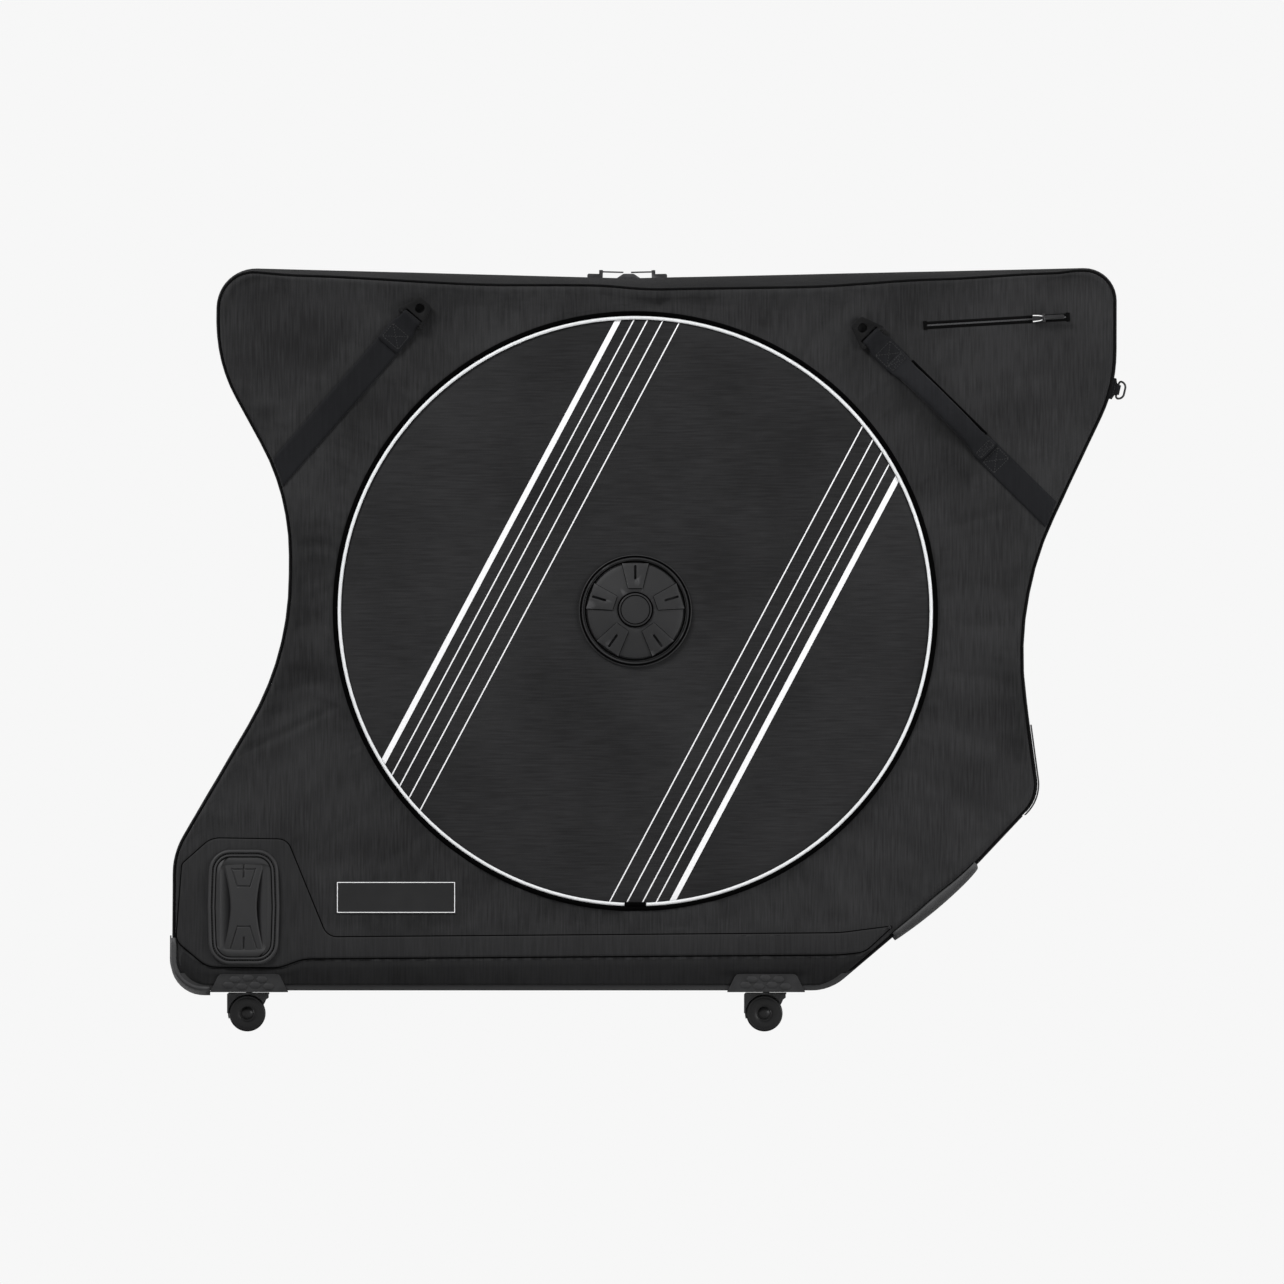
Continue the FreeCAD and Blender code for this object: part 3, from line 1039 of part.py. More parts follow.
# Document pocket zip: a tape, a slider and a pull that swings on the slider's pin
document = new_body("document_tape")
lean(document, ZERO, ZERO, ZERO)
spot = {"x": dim.document_x, "y": dim.document_rise, "turn": dim.document_angle}
pad(document, outline(document, "XZ_Plane", rectangle(dim.document_length / 2, dim.document_width / 2,
                                                      dim.document_width / 4), **spot), dim.document_tape)
keep(document, "document_zip")
at = dim.document_slider_at
slider_bottom = dim.document_tape + dim.body_gap
half_length = dim.document_slider_length / 2
half_width = dim.document_slider_width / 2
slider = new_body("document_slider_body")
lean(slider, ZERO, ZERO, ZERO)
pad(slider, outline(slider, "XZ_Plane", [
    (at - half_length, -half_width, dim.slider_corner), (at + half_length, -half_width, dim.slider_corner),
    (at + half_length, half_width, dim.slider_corner), (at - half_length, half_width, dim.slider_corner)],
    lift=slider_bottom, **spot), dim.document_slider_height)
pin_at = at + half_length - dim.document_eye
for side in (-1, 1):
    ear_low = (half_width - dim.document_ear) * side
    ear_high = half_width * side
    pad(slider, outline(slider, "XZ_Plane", [
        (pin_at - dim.document_eye, ear_low), (pin_at + dim.document_eye, ear_low),
        (pin_at + dim.document_eye, ear_high), (pin_at - dim.document_eye, ear_high)],
        lift=slider_bottom, **spot), dim.document_pin_height + dim.document_ear_rise)
pin_height = slider_bottom + dim.document_pin_height
pin_x = dim.document_x + cosine(dim.document_angle) * pin_at
pin_v = dim.document_rise + sine(dim.document_angle) * pin_at
slider_pin = pin_rod("document_slider_pin", pin_x, pin_v, dim.document_angle, pin_height, dim.document_pin,
                     half_width)
keep(fuse("document_slider", [slider, slider_pin]), "document_slider")
eye_half = dim.document_pull_width / 2
pull = new_body("document_pull_tongue")
lean(pull, ZERO, ZERO, ZERO)
tip = pin_at + dim.document_pull_length
pad(pull, outline(pull, "XZ_Plane", [
    (pin_at, -eye_half), (tip, -eye_half, dim.slider_corner), (tip, eye_half, dim.slider_corner),
    (pin_at, eye_half)], lift=pin_height - dim.document_pull_sheet / 2, **spot), dim.document_pull_sheet)
pull_eye = pin_rod("document_pull_eye", pin_x, pin_v, dim.document_angle, pin_height, dim.document_eye,
                   eye_half)
pull_bore = pin_rod("document_pull_bore", pin_x, pin_v, dim.document_angle, pin_height,
                    dim.document_pin + dim.running_gap, half_width)
keep(cut("document_pull", fuse("document_pull_solid", [pull, pull_eye]), pull_bore), "document_pull")

# Main zip sliders: each runs on one slope of the top, and its pull lies towards the lock
DIP = OUTLINE_SHARES[7]
REAR_TOP = OUTLINE_SHARES[8]
FRONT_TOP = OUTLINE_SHARES[6]
dip_x = dim.case_length * DIP[0] - dim.rear_reach
dip_z = dim.base_z + dim.case_height * DIP[1]


def slope_of(end):
    """Slope of the top line from the dip to one end, as rise over run along +X."""
    run = dim.case_length * (end[0] - DIP[0])
    rise = dim.case_height * (end[1] - DIP[1])
    return rise / run


def main_slider(label, x, end, toward):
    """A slider and its pull; toward is the way to the lock along X."""
    slope = slope_of(end)
    angle = Size(-math.degrees(math.atan(slope.number)), "(-1 * atan(%s))" % slope.formula)
    z = dip_z + (x - dip_x) * slope - dim.zip_depth
    half_length = dim.slider_length / 2
    body = new_body(label + "_slider_block")
    place(body, x, ZERO, z, Y_AXIS, angle)
    top = dim.body_gap + dim.slider_height
    pad(body, outline(body, "XZ_Plane", [
        (-half_length, dim.body_gap), (half_length, dim.body_gap), (half_length, top, dim.slider_corner),
        (-half_length, top, dim.slider_corner)]), dim.slider_width, symmetric=True)
    relief = [(-half_length * 2, ZERO), (half_length * 2, ZERO),
              (half_length * 2, dim.slider_relief), (-half_length * 2, dim.slider_relief)]
    pocket(body, outline(body, "XZ_Plane", relief, lift=dim.body_gap / 2), dim.slider_width)
    pin_at = (half_length - dim.pull_eye) * toward
    ear_half = dim.bail_ear_length / 2
    for side in (-1, 1):
        middle = (dim.slider_width / 2 - dim.bail_ear / 2) * side
        ear = [(pin_at - ear_half, top - dim.slider_corner), (pin_at + ear_half, top - dim.slider_corner),
               (pin_at + ear_half, dim.bail_height + dim.bail_pin * 2),
               (pin_at - ear_half, dim.bail_height + dim.bail_pin * 2)]
        sketch = outline(body, "XZ_Plane", ear, lift=middle)
        pad(body, sketch, dim.bail_ear, symmetric=True)
    bail = circle(body, "XZ_Plane", pin_at, dim.bail_height, dim.bail_pin)
    pad(body, bail, dim.slider_width - dim.bail_ear, symmetric=True)
    keep(body, label + "_main_slider")
    tongue = new_body(label + "_pull_body")
    place(tongue, x, ZERO, z, Y_AXIS, angle)
    half_sheet = dim.pull_sheet / 2
    tip = pin_at + dim.pull_length * toward
    pad(tongue, outline(tongue, "XZ_Plane", [
        (pin_at, dim.bail_height - half_sheet), (tip, dim.bail_height - half_sheet),
        (tip, dim.bail_height + half_sheet), (pin_at, dim.bail_height + half_sheet)]),
        dim.pull_width, symmetric=True)
    eye = circle(tongue, "XZ_Plane", pin_at, dim.bail_height, dim.pull_eye)
    pad(tongue, eye, dim.pull_width, symmetric=True)
    pocket(tongue, circle(tongue, "XZ_Plane", pin_at, dim.bail_height, dim.bail_pin + dim.running_gap),
           dim.slider_width, symmetric=True)
    keep(tongue, label + "_main_pull")


main_slider("rear", dim.rear_slider_x, REAR_TOP, 1)
main_slider("front", dim.front_slider_x, FRONT_TOP, -1)

# Zip lock: a small domed case on the near half, between the sliders
lock = new_body("zip_lock_body")
lock_z = dip_z - dim.zip_depth
place(lock, dim.lock_x, -dim.zip_half_width + dim.lock_width / 2, lock_z)
lock_half = dim.lock_length / 2
lock_top = dim.zip_depth + dim.lock_height
pad(lock, outline(lock, "XZ_Plane", [
    (-lock_half, ZERO), (lock_half, ZERO), (lock_half, dim.zip_depth),
    (dim.lock_crown_half, lock_top, dim.lock_height), (-dim.lock_crown_half, lock_top, dim.lock_height),
    (-lock_half, dim.zip_depth)]), dim.lock_width, symmetric=True)
lock_clear = prism("lock_clear", dim.zip_depth)
keep(cut("zip_lock", lock, lock_clear), "zip_lock")

# Webbing tab on the near front edge, and the D-ring that swings in its loop
tab_y = (dim.tab_z - dim.base_z) * dim.lean_sine / dim.lean_cosine - dim.base_half_width + dim.panel_thickness
tab = new_body("tab_strip")
tab_turn = dim.tab_angle - RIGHT_ANGLE
tab_middle = tab_y + dim.tab_thickness / 2 + dim.tab_inset
place(tab, dim.tab_x, tab_middle, dim.tab_z, Y_AXIS, -tab_turn)
half = dim.tab_width / 2
wide = dim.tab_root_width / 2
step = dim.dee_bar_at - dim.tab_step
pad(tab, outline(tab, "XZ_Plane", [
    (-dim.tab_root, -wide), (step, -wide), (step, -half), (dim.dee_bar_at, -half), (dim.dee_bar_at, half),
    (step, half), (step, wide), (-dim.tab_root, wide)]), dim.tab_thickness, symmetric=True)
loop = new_body("tab_loop")
place(loop, dim.tab_x, tab_middle, dim.tab_z, Y_AXIS, -tab_turn)
pad(loop, circle(loop, "XY_Plane", dim.dee_bar_at, ZERO, dim.tab_loop_radius), dim.tab_width, symmetric=True)
bar_bore = new_body("tab_bore")
place(bar_bore, dim.tab_x, tab_middle, dim.tab_z, Y_AXIS, -tab_turn)
pad(bar_bore, circle(bar_bore, "XY_Plane", dim.dee_bar_at, ZERO, dim.dee_wire + dim.running_gap),
    dim.tab_width * 2, symmetric=True)
tab_looped = cut("tab_looped", fuse("tab_solid", [tab, loop]), bar_bore)
keep(cut("dee_tab", tab_looped, case_prism), "dee_tab")
dee = new_body("dee_ring_body")
place(dee, dim.tab_x, tab_middle, dim.tab_z, Y_AXIS, -tab_turn)
bow = dim.dee_bar_at + dim.dee_reach
path = outline(dee, "XZ_Plane", [
    (dim.dee_bar_at, dim.dee_half_width, dim.dee_corner), (bow, dim.dee_half_width, dim.dee_bow),
    (bow, -dim.dee_half_width, dim.dee_bow), (dim.dee_bar_at, -dim.dee_half_width, dim.dee_corner)])
wire = circle(dee, "XY_Plane", dim.dee_bar_at, ZERO, dim.dee_wire)
doc.recompute()
sweep = dee.newObject("PartDesign::AdditivePipe", "dee_sweep")
sweep.Profile = wire
sweep.Spine = path
dee.Tip = sweep
keep(dee, "dee_ring")

# Check every object, then write the pieces
doc.recompute()
faults = [item.Name for item in doc.Objects if "Invalid" in item.State or "Error" in item.State]
if faults:
    raise RuntimeError("objects in error: " + ", ".join(faults))
os.makedirs("parts", exist_ok=True)
for label, item in nodes.items():
    shape = item.Shape
    if shape.isNull() or not shape.isValid() or not shape.Solids:
        raise RuntimeError("no valid solid: " + label)
    shape.exportStep("parts/%s.step" % label)
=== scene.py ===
import math

import bmesh
import bpy
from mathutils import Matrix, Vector, noise
from mathutils.kdtree import KDTree


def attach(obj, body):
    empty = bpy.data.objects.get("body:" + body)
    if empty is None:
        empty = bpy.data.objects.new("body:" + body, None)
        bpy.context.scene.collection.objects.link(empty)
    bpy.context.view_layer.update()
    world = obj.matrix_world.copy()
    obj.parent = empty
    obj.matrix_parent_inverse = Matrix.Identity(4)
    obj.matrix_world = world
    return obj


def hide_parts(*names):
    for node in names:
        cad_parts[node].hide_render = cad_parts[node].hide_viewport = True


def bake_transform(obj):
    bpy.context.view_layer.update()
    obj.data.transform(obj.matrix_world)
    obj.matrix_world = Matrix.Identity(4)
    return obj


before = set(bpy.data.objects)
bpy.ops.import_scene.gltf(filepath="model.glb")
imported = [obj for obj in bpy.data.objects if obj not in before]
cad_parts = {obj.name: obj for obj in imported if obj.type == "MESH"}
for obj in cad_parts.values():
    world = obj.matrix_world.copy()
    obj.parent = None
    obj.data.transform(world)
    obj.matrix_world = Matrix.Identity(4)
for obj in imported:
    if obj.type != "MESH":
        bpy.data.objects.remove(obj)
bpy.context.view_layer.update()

# The room: a pale floor under the case, soft lamps above and beside it, and a flat camera square to the
# near side. The camera sees a plain pale grey behind the case.
scene = bpy.context.scene
scene.view_settings.view_transform = "Standard"
PIXEL = 0.00116
PHOTO_SIDE = 1284
CAMERA_X = -0.00725
CAMERA_Z = 0.4518
CAMERA_BACK = 6.0
FLOOR_HALF = 12.0
PALE_GREY = (0.930, 0.930, 0.930, 1.0)
FILL_LIGHT = 0.13


def node(tree, kind, **settings):
    """Adds a node to a tree; settings are its own properties."""
    item = tree.nodes.new(kind)
    for name, value in settings.items():
        setattr(item, name, value)
    return item


def feed(tree, value, socket):
    """Gives an input a link or a plain value."""
    if isinstance(value, bpy.types.NodeSocket):
        tree.links.new(value, socket)
    else:
        socket.default_value = value


def maths(tree, operation, *values, clamp=False):
    item = node(tree, "ShaderNodeMath", operation=operation, use_clamp=clamp)
    for socket, value in zip(item.inputs, values):
        feed(tree, value, socket)
    return item.outputs[0]


def new_material(name, roughness, specular):
    """A material with its shader; what varies over the surface is linked afterwards."""
    material = bpy.data.materials.new(name)
    material.use_nodes = True
    shader = material.node_tree.nodes["Principled BSDF"]
    shader.inputs["Roughness"].default_value = roughness
    shader.inputs["Specular IOR Level"].default_value = specular
    return material, material.node_tree, shader


def linked(name, data):
    """A new object in the scene that shows a mesh, a curve, a lamp or a camera."""
    item = bpy.data.objects.new(name, data)
    scene.collection.objects.link(item)
    return item


world = bpy.data.worlds.new("studio")
scene.world = world
world.use_nodes = True
sky = world.node_tree
sky.nodes.clear()
paths = node(sky, "ShaderNodeLightPath")
seen = maths(sky, "MAXIMUM", paths.outputs["Is Camera Ray"], paths.outputs["Is Glossy Ray"])
seen = maths(sky, "MAXIMUM", seen, paths.outputs["Is Transmission Ray"])
fill = node(sky, "ShaderNodeBackground")
fill.inputs["Strength"].default_value = FILL_LIGHT
backdrop = node(sky, "ShaderNodeBackground")
backdrop.inputs["Color"].default_value = PALE_GREY
either = node(sky, "ShaderNodeMixShader")
sky.links.new(seen, either.inputs[0])
sky.links.new(fill.outputs[0], either.inputs[1])
sky.links.new(backdrop.outputs[0], either.inputs[2])
sky.links.new(either.outputs[0], node(sky, "ShaderNodeOutputWorld").inputs["Surface"])

floor_mesh = bpy.data.meshes.new("floor")
floor_mesh.from_pydata([(-FLOOR_HALF, -FLOOR_HALF, 0), (FLOOR_HALF, -FLOOR_HALF, 0),
                        (FLOOR_HALF, FLOOR_HALF, 0), (-FLOOR_HALF, FLOOR_HALF, 0)], [], [(0, 1, 2, 3)])
floor = linked("floor", floor_mesh)
floor_paint, _, floor_shader = new_material("floor_paint", roughness=0.85, specular=0.2)
floor_shader.inputs["Base Color"].default_value = (0.80, 0.80, 0.80, 1.0)
floor_mesh.materials.append(floor_paint)

LAMPS = {
    "key": ((-2.4, -1.9, 3.7), 1.3, 205.0),
    "side": ((2.3, -1.5, 0.9), 1.2, 52.0),
    "top": ((0.0, 0.3, 3.2), 2.6, 14.0),
}
LAMP_AIM = Vector((0.0, 0.0, 0.45))
for lamp_name, (spot, side, power) in LAMPS.items():
    lamp_data = bpy.data.lights.new(lamp_name, "AREA")
    lamp_data.shape = "SQUARE"
    lamp_data.size = side
    lamp_data.energy = power
    lamp = linked(lamp_name, lamp_data)
    lamp.location = spot
    lamp.rotation_euler = (LAMP_AIM - Vector(spot)).to_track_quat("-Z", "Y").to_euler()

camera_data = bpy.data.cameras.new("camera")
camera_data.type = "ORTHO"
camera_data.ortho_scale = PHOTO_SIDE * PIXEL
camera = linked("camera", camera_data)
camera.location = (CAMERA_X, -CAMERA_BACK, CAMERA_Z)
camera.rotation_euler = (math.pi / 2, 0.0, 0.0)
scene.camera = camera

# The moulded base: a tray with its slanted toe, corner and skid guards, castor plates and hoods. All are
# injection-moulded in black with a fine spark-eroded grain that has rubbed smoother on the corners.
MOULDED_BLACK = (0.0190, 0.0190, 0.0196)
MOULDED_BEVEL = 0.0006
WELD_REACH = 0.00001
EASED_ANGLE = math.radians(28.0)


def new_group(name, inputs, outputs):
    """A shader node group with its named sockets."""
    group = bpy.data.node_groups.new(name, "ShaderNodeTree")
    for label, kind in inputs:
        group.interface.new_socket(label, in_out="INPUT", socket_type="NodeSocket" + kind)
    for label in outputs:
        group.interface.new_socket(label, in_out="OUTPUT", socket_type="NodeSocketFloat")
    return group, group.nodes.new("NodeGroupInput"), group.nodes.new("NodeGroupOutput")


grain_group, given, result = new_group("moulded_grain", [("Place", "Vector"), ("Scale", "Float")],
                                       ["Height", "Shade"])
pits = node(grain_group, "ShaderNodeTexVoronoi")
cloud = node(grain_group, "ShaderNodeTexNoise")
cloud.inputs["Scale"].default_value = 11.0
for texture in (pits, cloud):
    grain_group.links.new(given.outputs["Place"], texture.inputs["Vector"])
grain_group.links.new(given.outputs["Scale"], pits.inputs["Scale"])
grain_group.links.new(pits.outputs["Distance"], result.inputs["Height"])
grain_group.links.new(cloud.outputs[0], result.inputs["Shade"])

wear_group, given, result = new_group("worn_edges", [("Place", "Vector"), ("Amount", "Float")], ["Mask"])
shape = node(wear_group, "ShaderNodeNewGeometry")
proud = maths(wear_group, "MULTIPLY", maths(wear_group, "SUBTRACT", shape.outputs["Pointiness"], 0.52), 14.0,
              clamp=True)
patch = node(wear_group, "ShaderNodeTexNoise")
patch.inputs["Scale"].default_value = 60.0
wear_group.links.new(given.outputs["Place"], patch.inputs["Vector"])
worn = maths(wear_group, "MULTIPLY", proud, patch.outputs[0])
wear_group.links.new(maths(wear_group, "MULTIPLY", worn, given.outputs["Amount"], clamp=True),
                     result.inputs["Mask"])


def placed_group(tree, group, place, **values):
    """Puts a group in a material, reading the object's own coordinates."""
    item = node(tree, "ShaderNodeGroup", node_tree=group)
    tree.links.new(place, item.inputs["Place"])
    for name, value in values.items():
        item.inputs[name].default_value = value
    return item


def blend_colours(tree, dark, light, factor):
    """The colour between two as a factor goes from 0 to 1."""
    mix = node(tree, "ShaderNodeMix", data_type="RGBA")
    feed(tree, factor, mix.inputs["Factor"])
    feed(tree, tuple(dark) + (1.0,) if isinstance(dark, tuple) else dark, mix.inputs[6])
    feed(tree, tuple(light) + (1.0,) if isinstance(light, tuple) else light, mix.inputs[7])
    return mix.outputs[2]


def relief(tree, shader, height, depth):
    """Raises the surface by a height from 0 to 1 times a depth in metres."""
    bump = node(tree, "ShaderNodeBump")
    bump.inputs["Strength"].default_value = 1.0
    bump.inputs["Distance"].default_value = depth
    tree.links.new(height, bump.inputs["Height"])
    tree.links.new(bump.outputs["Normal"], shader.inputs["Normal"])


def scaled(colour, factor):
    return tuple(part * factor for part in colour)


def own_place(tree):
    return node(tree, "ShaderNodeTexCoord").outputs["Object"]


def moulded(name, colour, roughness, specular, grain, depth, wear):
    """Moulded plastic or rubber: fine pits, a slow change of shade, and paler rubbed edges (on the strap
    rings, a painted edge highlight).
    """
    material, tree, shader = new_material(name, roughness, specular)
    place = own_place(tree)
    skin = placed_group(tree, grain_group, place, Scale=grain)
    rubbed_and_lit_edges = placed_group(tree, wear_group, place, Amount=wear)
    body = blend_colours(tree, scaled(colour, 0.75), scaled(colour, 1.3), skin.outputs["Shade"])
    tree.links.new(blend_colours(tree, body, scaled(colour, 3.5), rubbed_and_lit_edges.outputs["Mask"]),
                   shader.inputs["Base Color"])
    rough = maths(tree, "MULTIPLY_ADD", skin.outputs["Shade"], 0.18, roughness - 0.09)
    tree.links.new(rough, shader.inputs["Roughness"])
    relief(tree, shader, skin.outputs["Height"], depth)
    return material


def shade_smooth(mesh):
    mesh.polygons.foreach_set("use_smooth", [True] * len(mesh.polygons))


def dress(names, material, bevel):
    """Finishes solid nodes: their edges are eased and they take a material."""
    for name in names:
        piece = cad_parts[name]
        if piece.material_slots:
            for place in piece.material_slots:
                place.material = material
        else:
            piece.data.materials.append(material)
        shade_smooth(piece.data)
        weld = piece.modifiers.new("weld", "WELD")
        weld.merge_threshold = WELD_REACH
        ease = piece.modifiers.new("eased_edges", "BEVEL")
        ease.width = bevel
        ease.segments = 2
        ease.limit_method = "ANGLE"
        ease.angle_limit = EASED_ANGLE
        ease.harden_normals = True


base_plastic = moulded("base_plastic", MOULDED_BLACK, roughness=0.62, specular=0.18, grain=2600.0,
                       depth=0.00006, wear=0.8)
# The guards' plastic is lighter than the base plastic, as painted light for the lit outer edge of their lips.
guard_plastic_lit = moulded("guard_plastic_lit", scaled(MOULDED_BLACK, 1.15), roughness=0.58, specular=0.20,
                        grain=2600.0, depth=0.00006, wear=0.8)
dress(["base_tray", "near_nose_guard", "far_nose_guard"], base_plastic, MOULDED_BEVEL)
dress(["rear_corner_guard", "front_skid_guard"], guard_plastic_lit, MOULDED_BEVEL)

# Castors: a bent mount plate with cells pressed into its flange, a moulded hood whose arch covers twin wheels
# of hard rubber, and a domed cap on each end of the axle.
SIDES = (("near", -1), ("far", 1))
BASE_Z = 0.0476
HALF_WIDTH = 0.235
LEAN = math.radians(7.5)
CASTOR_X = {"rear": -0.4630, "front": 0.1367}
CASTOR_Y = 0.1930
WHEEL_TRAIL = 0.002
WHEEL_RADIUS = 0.0212
WHEEL_SPOKES = 72
WHEEL_INNER = 0.0045
# Shares of the wheel's radius and of its reach from the castor's middle for each ring, from cap to bore
WHEEL_SHARES = [(0.005, 1.09), (0.10, 1.08), (0.19, 1.045), (0.27, 0.985), (0.33, 0.90), (0.345, 0.835),
                (0.42, 0.825), (0.45, 0.87), (0.60, 0.893), (0.82, 0.904), (0.855, 0.885), (0.875, 0.885),
                (0.90, 0.904), (0.95, 0.87), (0.985, 0.79), (1.0, 0.69), (1.0, 0.50), (0.985, 0.38),
                (0.94, 0.30), (0.86, 0.273), (0.14, 0.273)]
WHEEL_REACH = 0.0165
WHEEL_RUBBER = (0.0180, 0.0180, 0.0185)
ARCH_INNER = 0.0215
ARCH_REAR = 0.0256
ARCH_FRONT = 0.0228
ARCH_TOP = 0.0452
ARCH_HALF = 0.0135
ARCH_START = math.radians(36.0)
ARCH_STEPS = 30
NEARLY_NONE = 0.001
ARCH_EASE = 0.0008
ARCH_EASE_SHARE = 0.3
WEB_INNER = 0.009
WEB_OUTER = 0.0226
WEB_HALF = 0.0034
WEB_STOP = math.radians(196.0)
PLATE_HALF = 0.045
PLATE_TOP_HALF = 0.0335
PLATE_RISE = 0.019
PLATE_THICKNESS = 0.002
FLANGE_THICKNESS = 0.0034
PLATE_BACK = 0.078
PLATE_GAP = 0.0001
PLATE_EASE = 0.0030
PLATE_DROP = 0.0034
PLATE_TUCK = 0.0008
CELL_HALF = 0.0068
CELL_RISE = 0.0036
CELL_CORNER_SHARES = [(-1.0, 0.0), (-0.55, -1.0), (0.55, -1.0), (1.0, 0.0), (0.55, 1.0), (-0.55, 1.0)]
# Share of its size and height over the flange of each ring of a cell
CELL_STEPS = [(1.0, -0.0002), (1.0, 0.0004), (0.84, 0.0009)]
CELL_PLACES = [(-0.024, 0.0060), (-0.0085, 0.0042), (0.007, 0.0060), (0.0225, 0.0042), (-0.0165, 0.0124),
               (-0.001, 0.0142), (0.0145, 0.0124)]
SHARP = math.radians(32.0)


def on_side(side, u, v, w):
    """A point of a side: u along it, v up its slope, w out of it; side is -1 near and 1 far."""
    y = side * (HALF_WIDTH + w * math.cos(LEAN) - v * math.sin(LEAN))
    return Vector((u, y, BASE_Z + v * math.cos(LEAN) + w * math.sin(LEAN)))


def new_piece(name, vertices, faces):
    mesh = bpy.data.meshes.new(name)
    mesh.from_pydata(vertices, [], faces)
    shade_smooth(mesh)
    mesh.update()
    return linked(name, mesh)


def set_out(piece, body, slot, material, *nodes):
    """Gives a piece its material, the body that it moves with and the nodes that it stands for."""
    piece.data.materials.clear()
    piece.data.materials.append(material)
    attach(piece, body)
    if nodes:
        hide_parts(*nodes)
    return piece


def tidy_normals(piece):
    """Turns the faces of a closed piece outwards."""
    shell = bmesh.new()
    shell.from_mesh(piece.data)
    bmesh.ops.recalc_face_normals(shell, faces=shell.faces)
    shell.to_mesh(piece.data)
    shell.free()


def ring_faces(rings, count, closed=True):
    """Faces between rings that have the same number of points."""
    faces = []
    for ring in range(rings - 1):
        for index in range(count if closed else count - 1):
            other = (index + 1) % count
            low = ring * count
            high = low + count
            faces.append((low + index, low + other, high + other, high + index))
    return faces


def loft(name, rings, sharp=False):
    """A closed piece through rings of points, with its two ends filled."""
    count = len(rings[0])
    last = (len(rings) - 1) * count
    faces = ring_faces(len(rings), count)
    faces += [tuple(range(count)), tuple(range(last, last + count))]
    piece = new_piece(name, [point for ring in rings for point in ring], faces)
    tidy_normals(piece)
    if sharp:
        piece.data.set_sharp_from_angle(angle=SHARP)
    return piece


def join_pieces(name, pieces):
    """Makes one piece of several."""
    shell = bmesh.new()
    for piece in pieces:
        shell.from_mesh(piece.data)
        bpy.data.objects.remove(piece)
    mesh = bpy.data.meshes.new(name)
    shell.to_mesh(mesh)
    shell.free()
    return linked(name, mesh)


def castor_wheels(name, x, y):
    """Two turned wheels, one each side of the hood's web, and the axle between them."""
    turns = [2 * math.pi * spoke / WHEEL_SPOKES for spoke in range(WHEEL_SPOKES)]
    halves = []
    for way in (-1, 1):
        rings = [[Vector((x + WHEEL_RADIUS * share * math.cos(turn), y + way * WHEEL_REACH * reach,
                          WHEEL_RADIUS + WHEEL_RADIUS * share * math.sin(turn))) for turn in turns]
                 for share, reach in WHEEL_SHARES]
        halves.append(loft(name + "_half", rings))
    axle_radius = WHEEL_RADIUS * WHEEL_SHARES[-1][0]
    rings = [[Vector((x + axle_radius * math.cos(turn), y + reach,
                      WHEEL_RADIUS + axle_radius * math.sin(turn))) for turn in turns]
             for reach in (-WHEEL_INNER, WHEEL_INNER)]
    return join_pieces(name, halves + [loft(name + "_axle", rings)])


def castor_arch(name, x, y):
    """The hood's arch: a rounded cover over the wheels, lower behind them than in front."""
    middle_x = x - WHEEL_TRAIL
    rings = []
    for step in range(ARCH_STEPS + 1):
        turn = ARCH_START + (math.pi - ARCH_START) * step / ARCH_STEPS
        run = Vector((math.cos(turn), math.sin(turn)))
        limits = ((ARCH_TOP - WHEEL_RADIUS, run.y), (ARCH_FRONT + WHEEL_TRAIL, run.x),
                  (ARCH_REAR - WHEEL_TRAIL, -run.x))
        outer = min(limit / part if part > NEARLY_NONE else ARCH_REAR * 2 for limit, part in limits)
        ease = min(ARCH_EASE, (outer - ARCH_INNER) * ARCH_EASE_SHARE)
        ring = []
        for radius, reach in ((ARCH_INNER, -ARCH_HALF + ease), (ARCH_INNER + ease, -ARCH_HALF),
                              (outer - ease, -ARCH_HALF), (outer, -ARCH_HALF + ease),
                              (outer, ARCH_HALF - ease), (outer - ease, ARCH_HALF),
                              (ARCH_INNER + ease, ARCH_HALF), (ARCH_INNER, ARCH_HALF - ease)):
            ring.append(Vector((middle_x + run.x * radius, y + reach, WHEEL_RADIUS + run.y * radius)))
        rings.append(ring)
    return loft(name, rings, sharp=True)


def castor_web(name, x, y):
    """The hood's middle web, which closes the arch between the two wheels."""
    middle_x = x - WHEEL_TRAIL
    rings = []
    for step in range(ARCH_STEPS + 1):
        turn = ARCH_START + (WEB_STOP - ARCH_START) * step / ARCH_STEPS
        run = Vector((math.cos(turn), math.sin(turn)))
        rings.append([Vector((middle_x + run.x * radius, y + reach, WHEEL_RADIUS + run.y * radius))
                      for radius, reach in ((WEB_INNER, -WEB_HALF), (WEB_OUTER, -WEB_HALF),
                                            (WEB_OUTER, WEB_HALF), (WEB_INNER, WEB_HALF))])
    return loft(name, rings, sharp=True)


def cell(name, side, u, v):
    """A low six-sided cell with a chamfer, on a plate's flange."""
    rings = []
    for share, lift in CELL_STEPS:
        rings.append([on_side(side, u + CELL_HALF * share * a, v + CELL_RISE * share * b,
                              FLANGE_THICKNESS + lift) for a, b in CELL_CORNER_SHARES])
    return loft(name, rings, sharp=True)


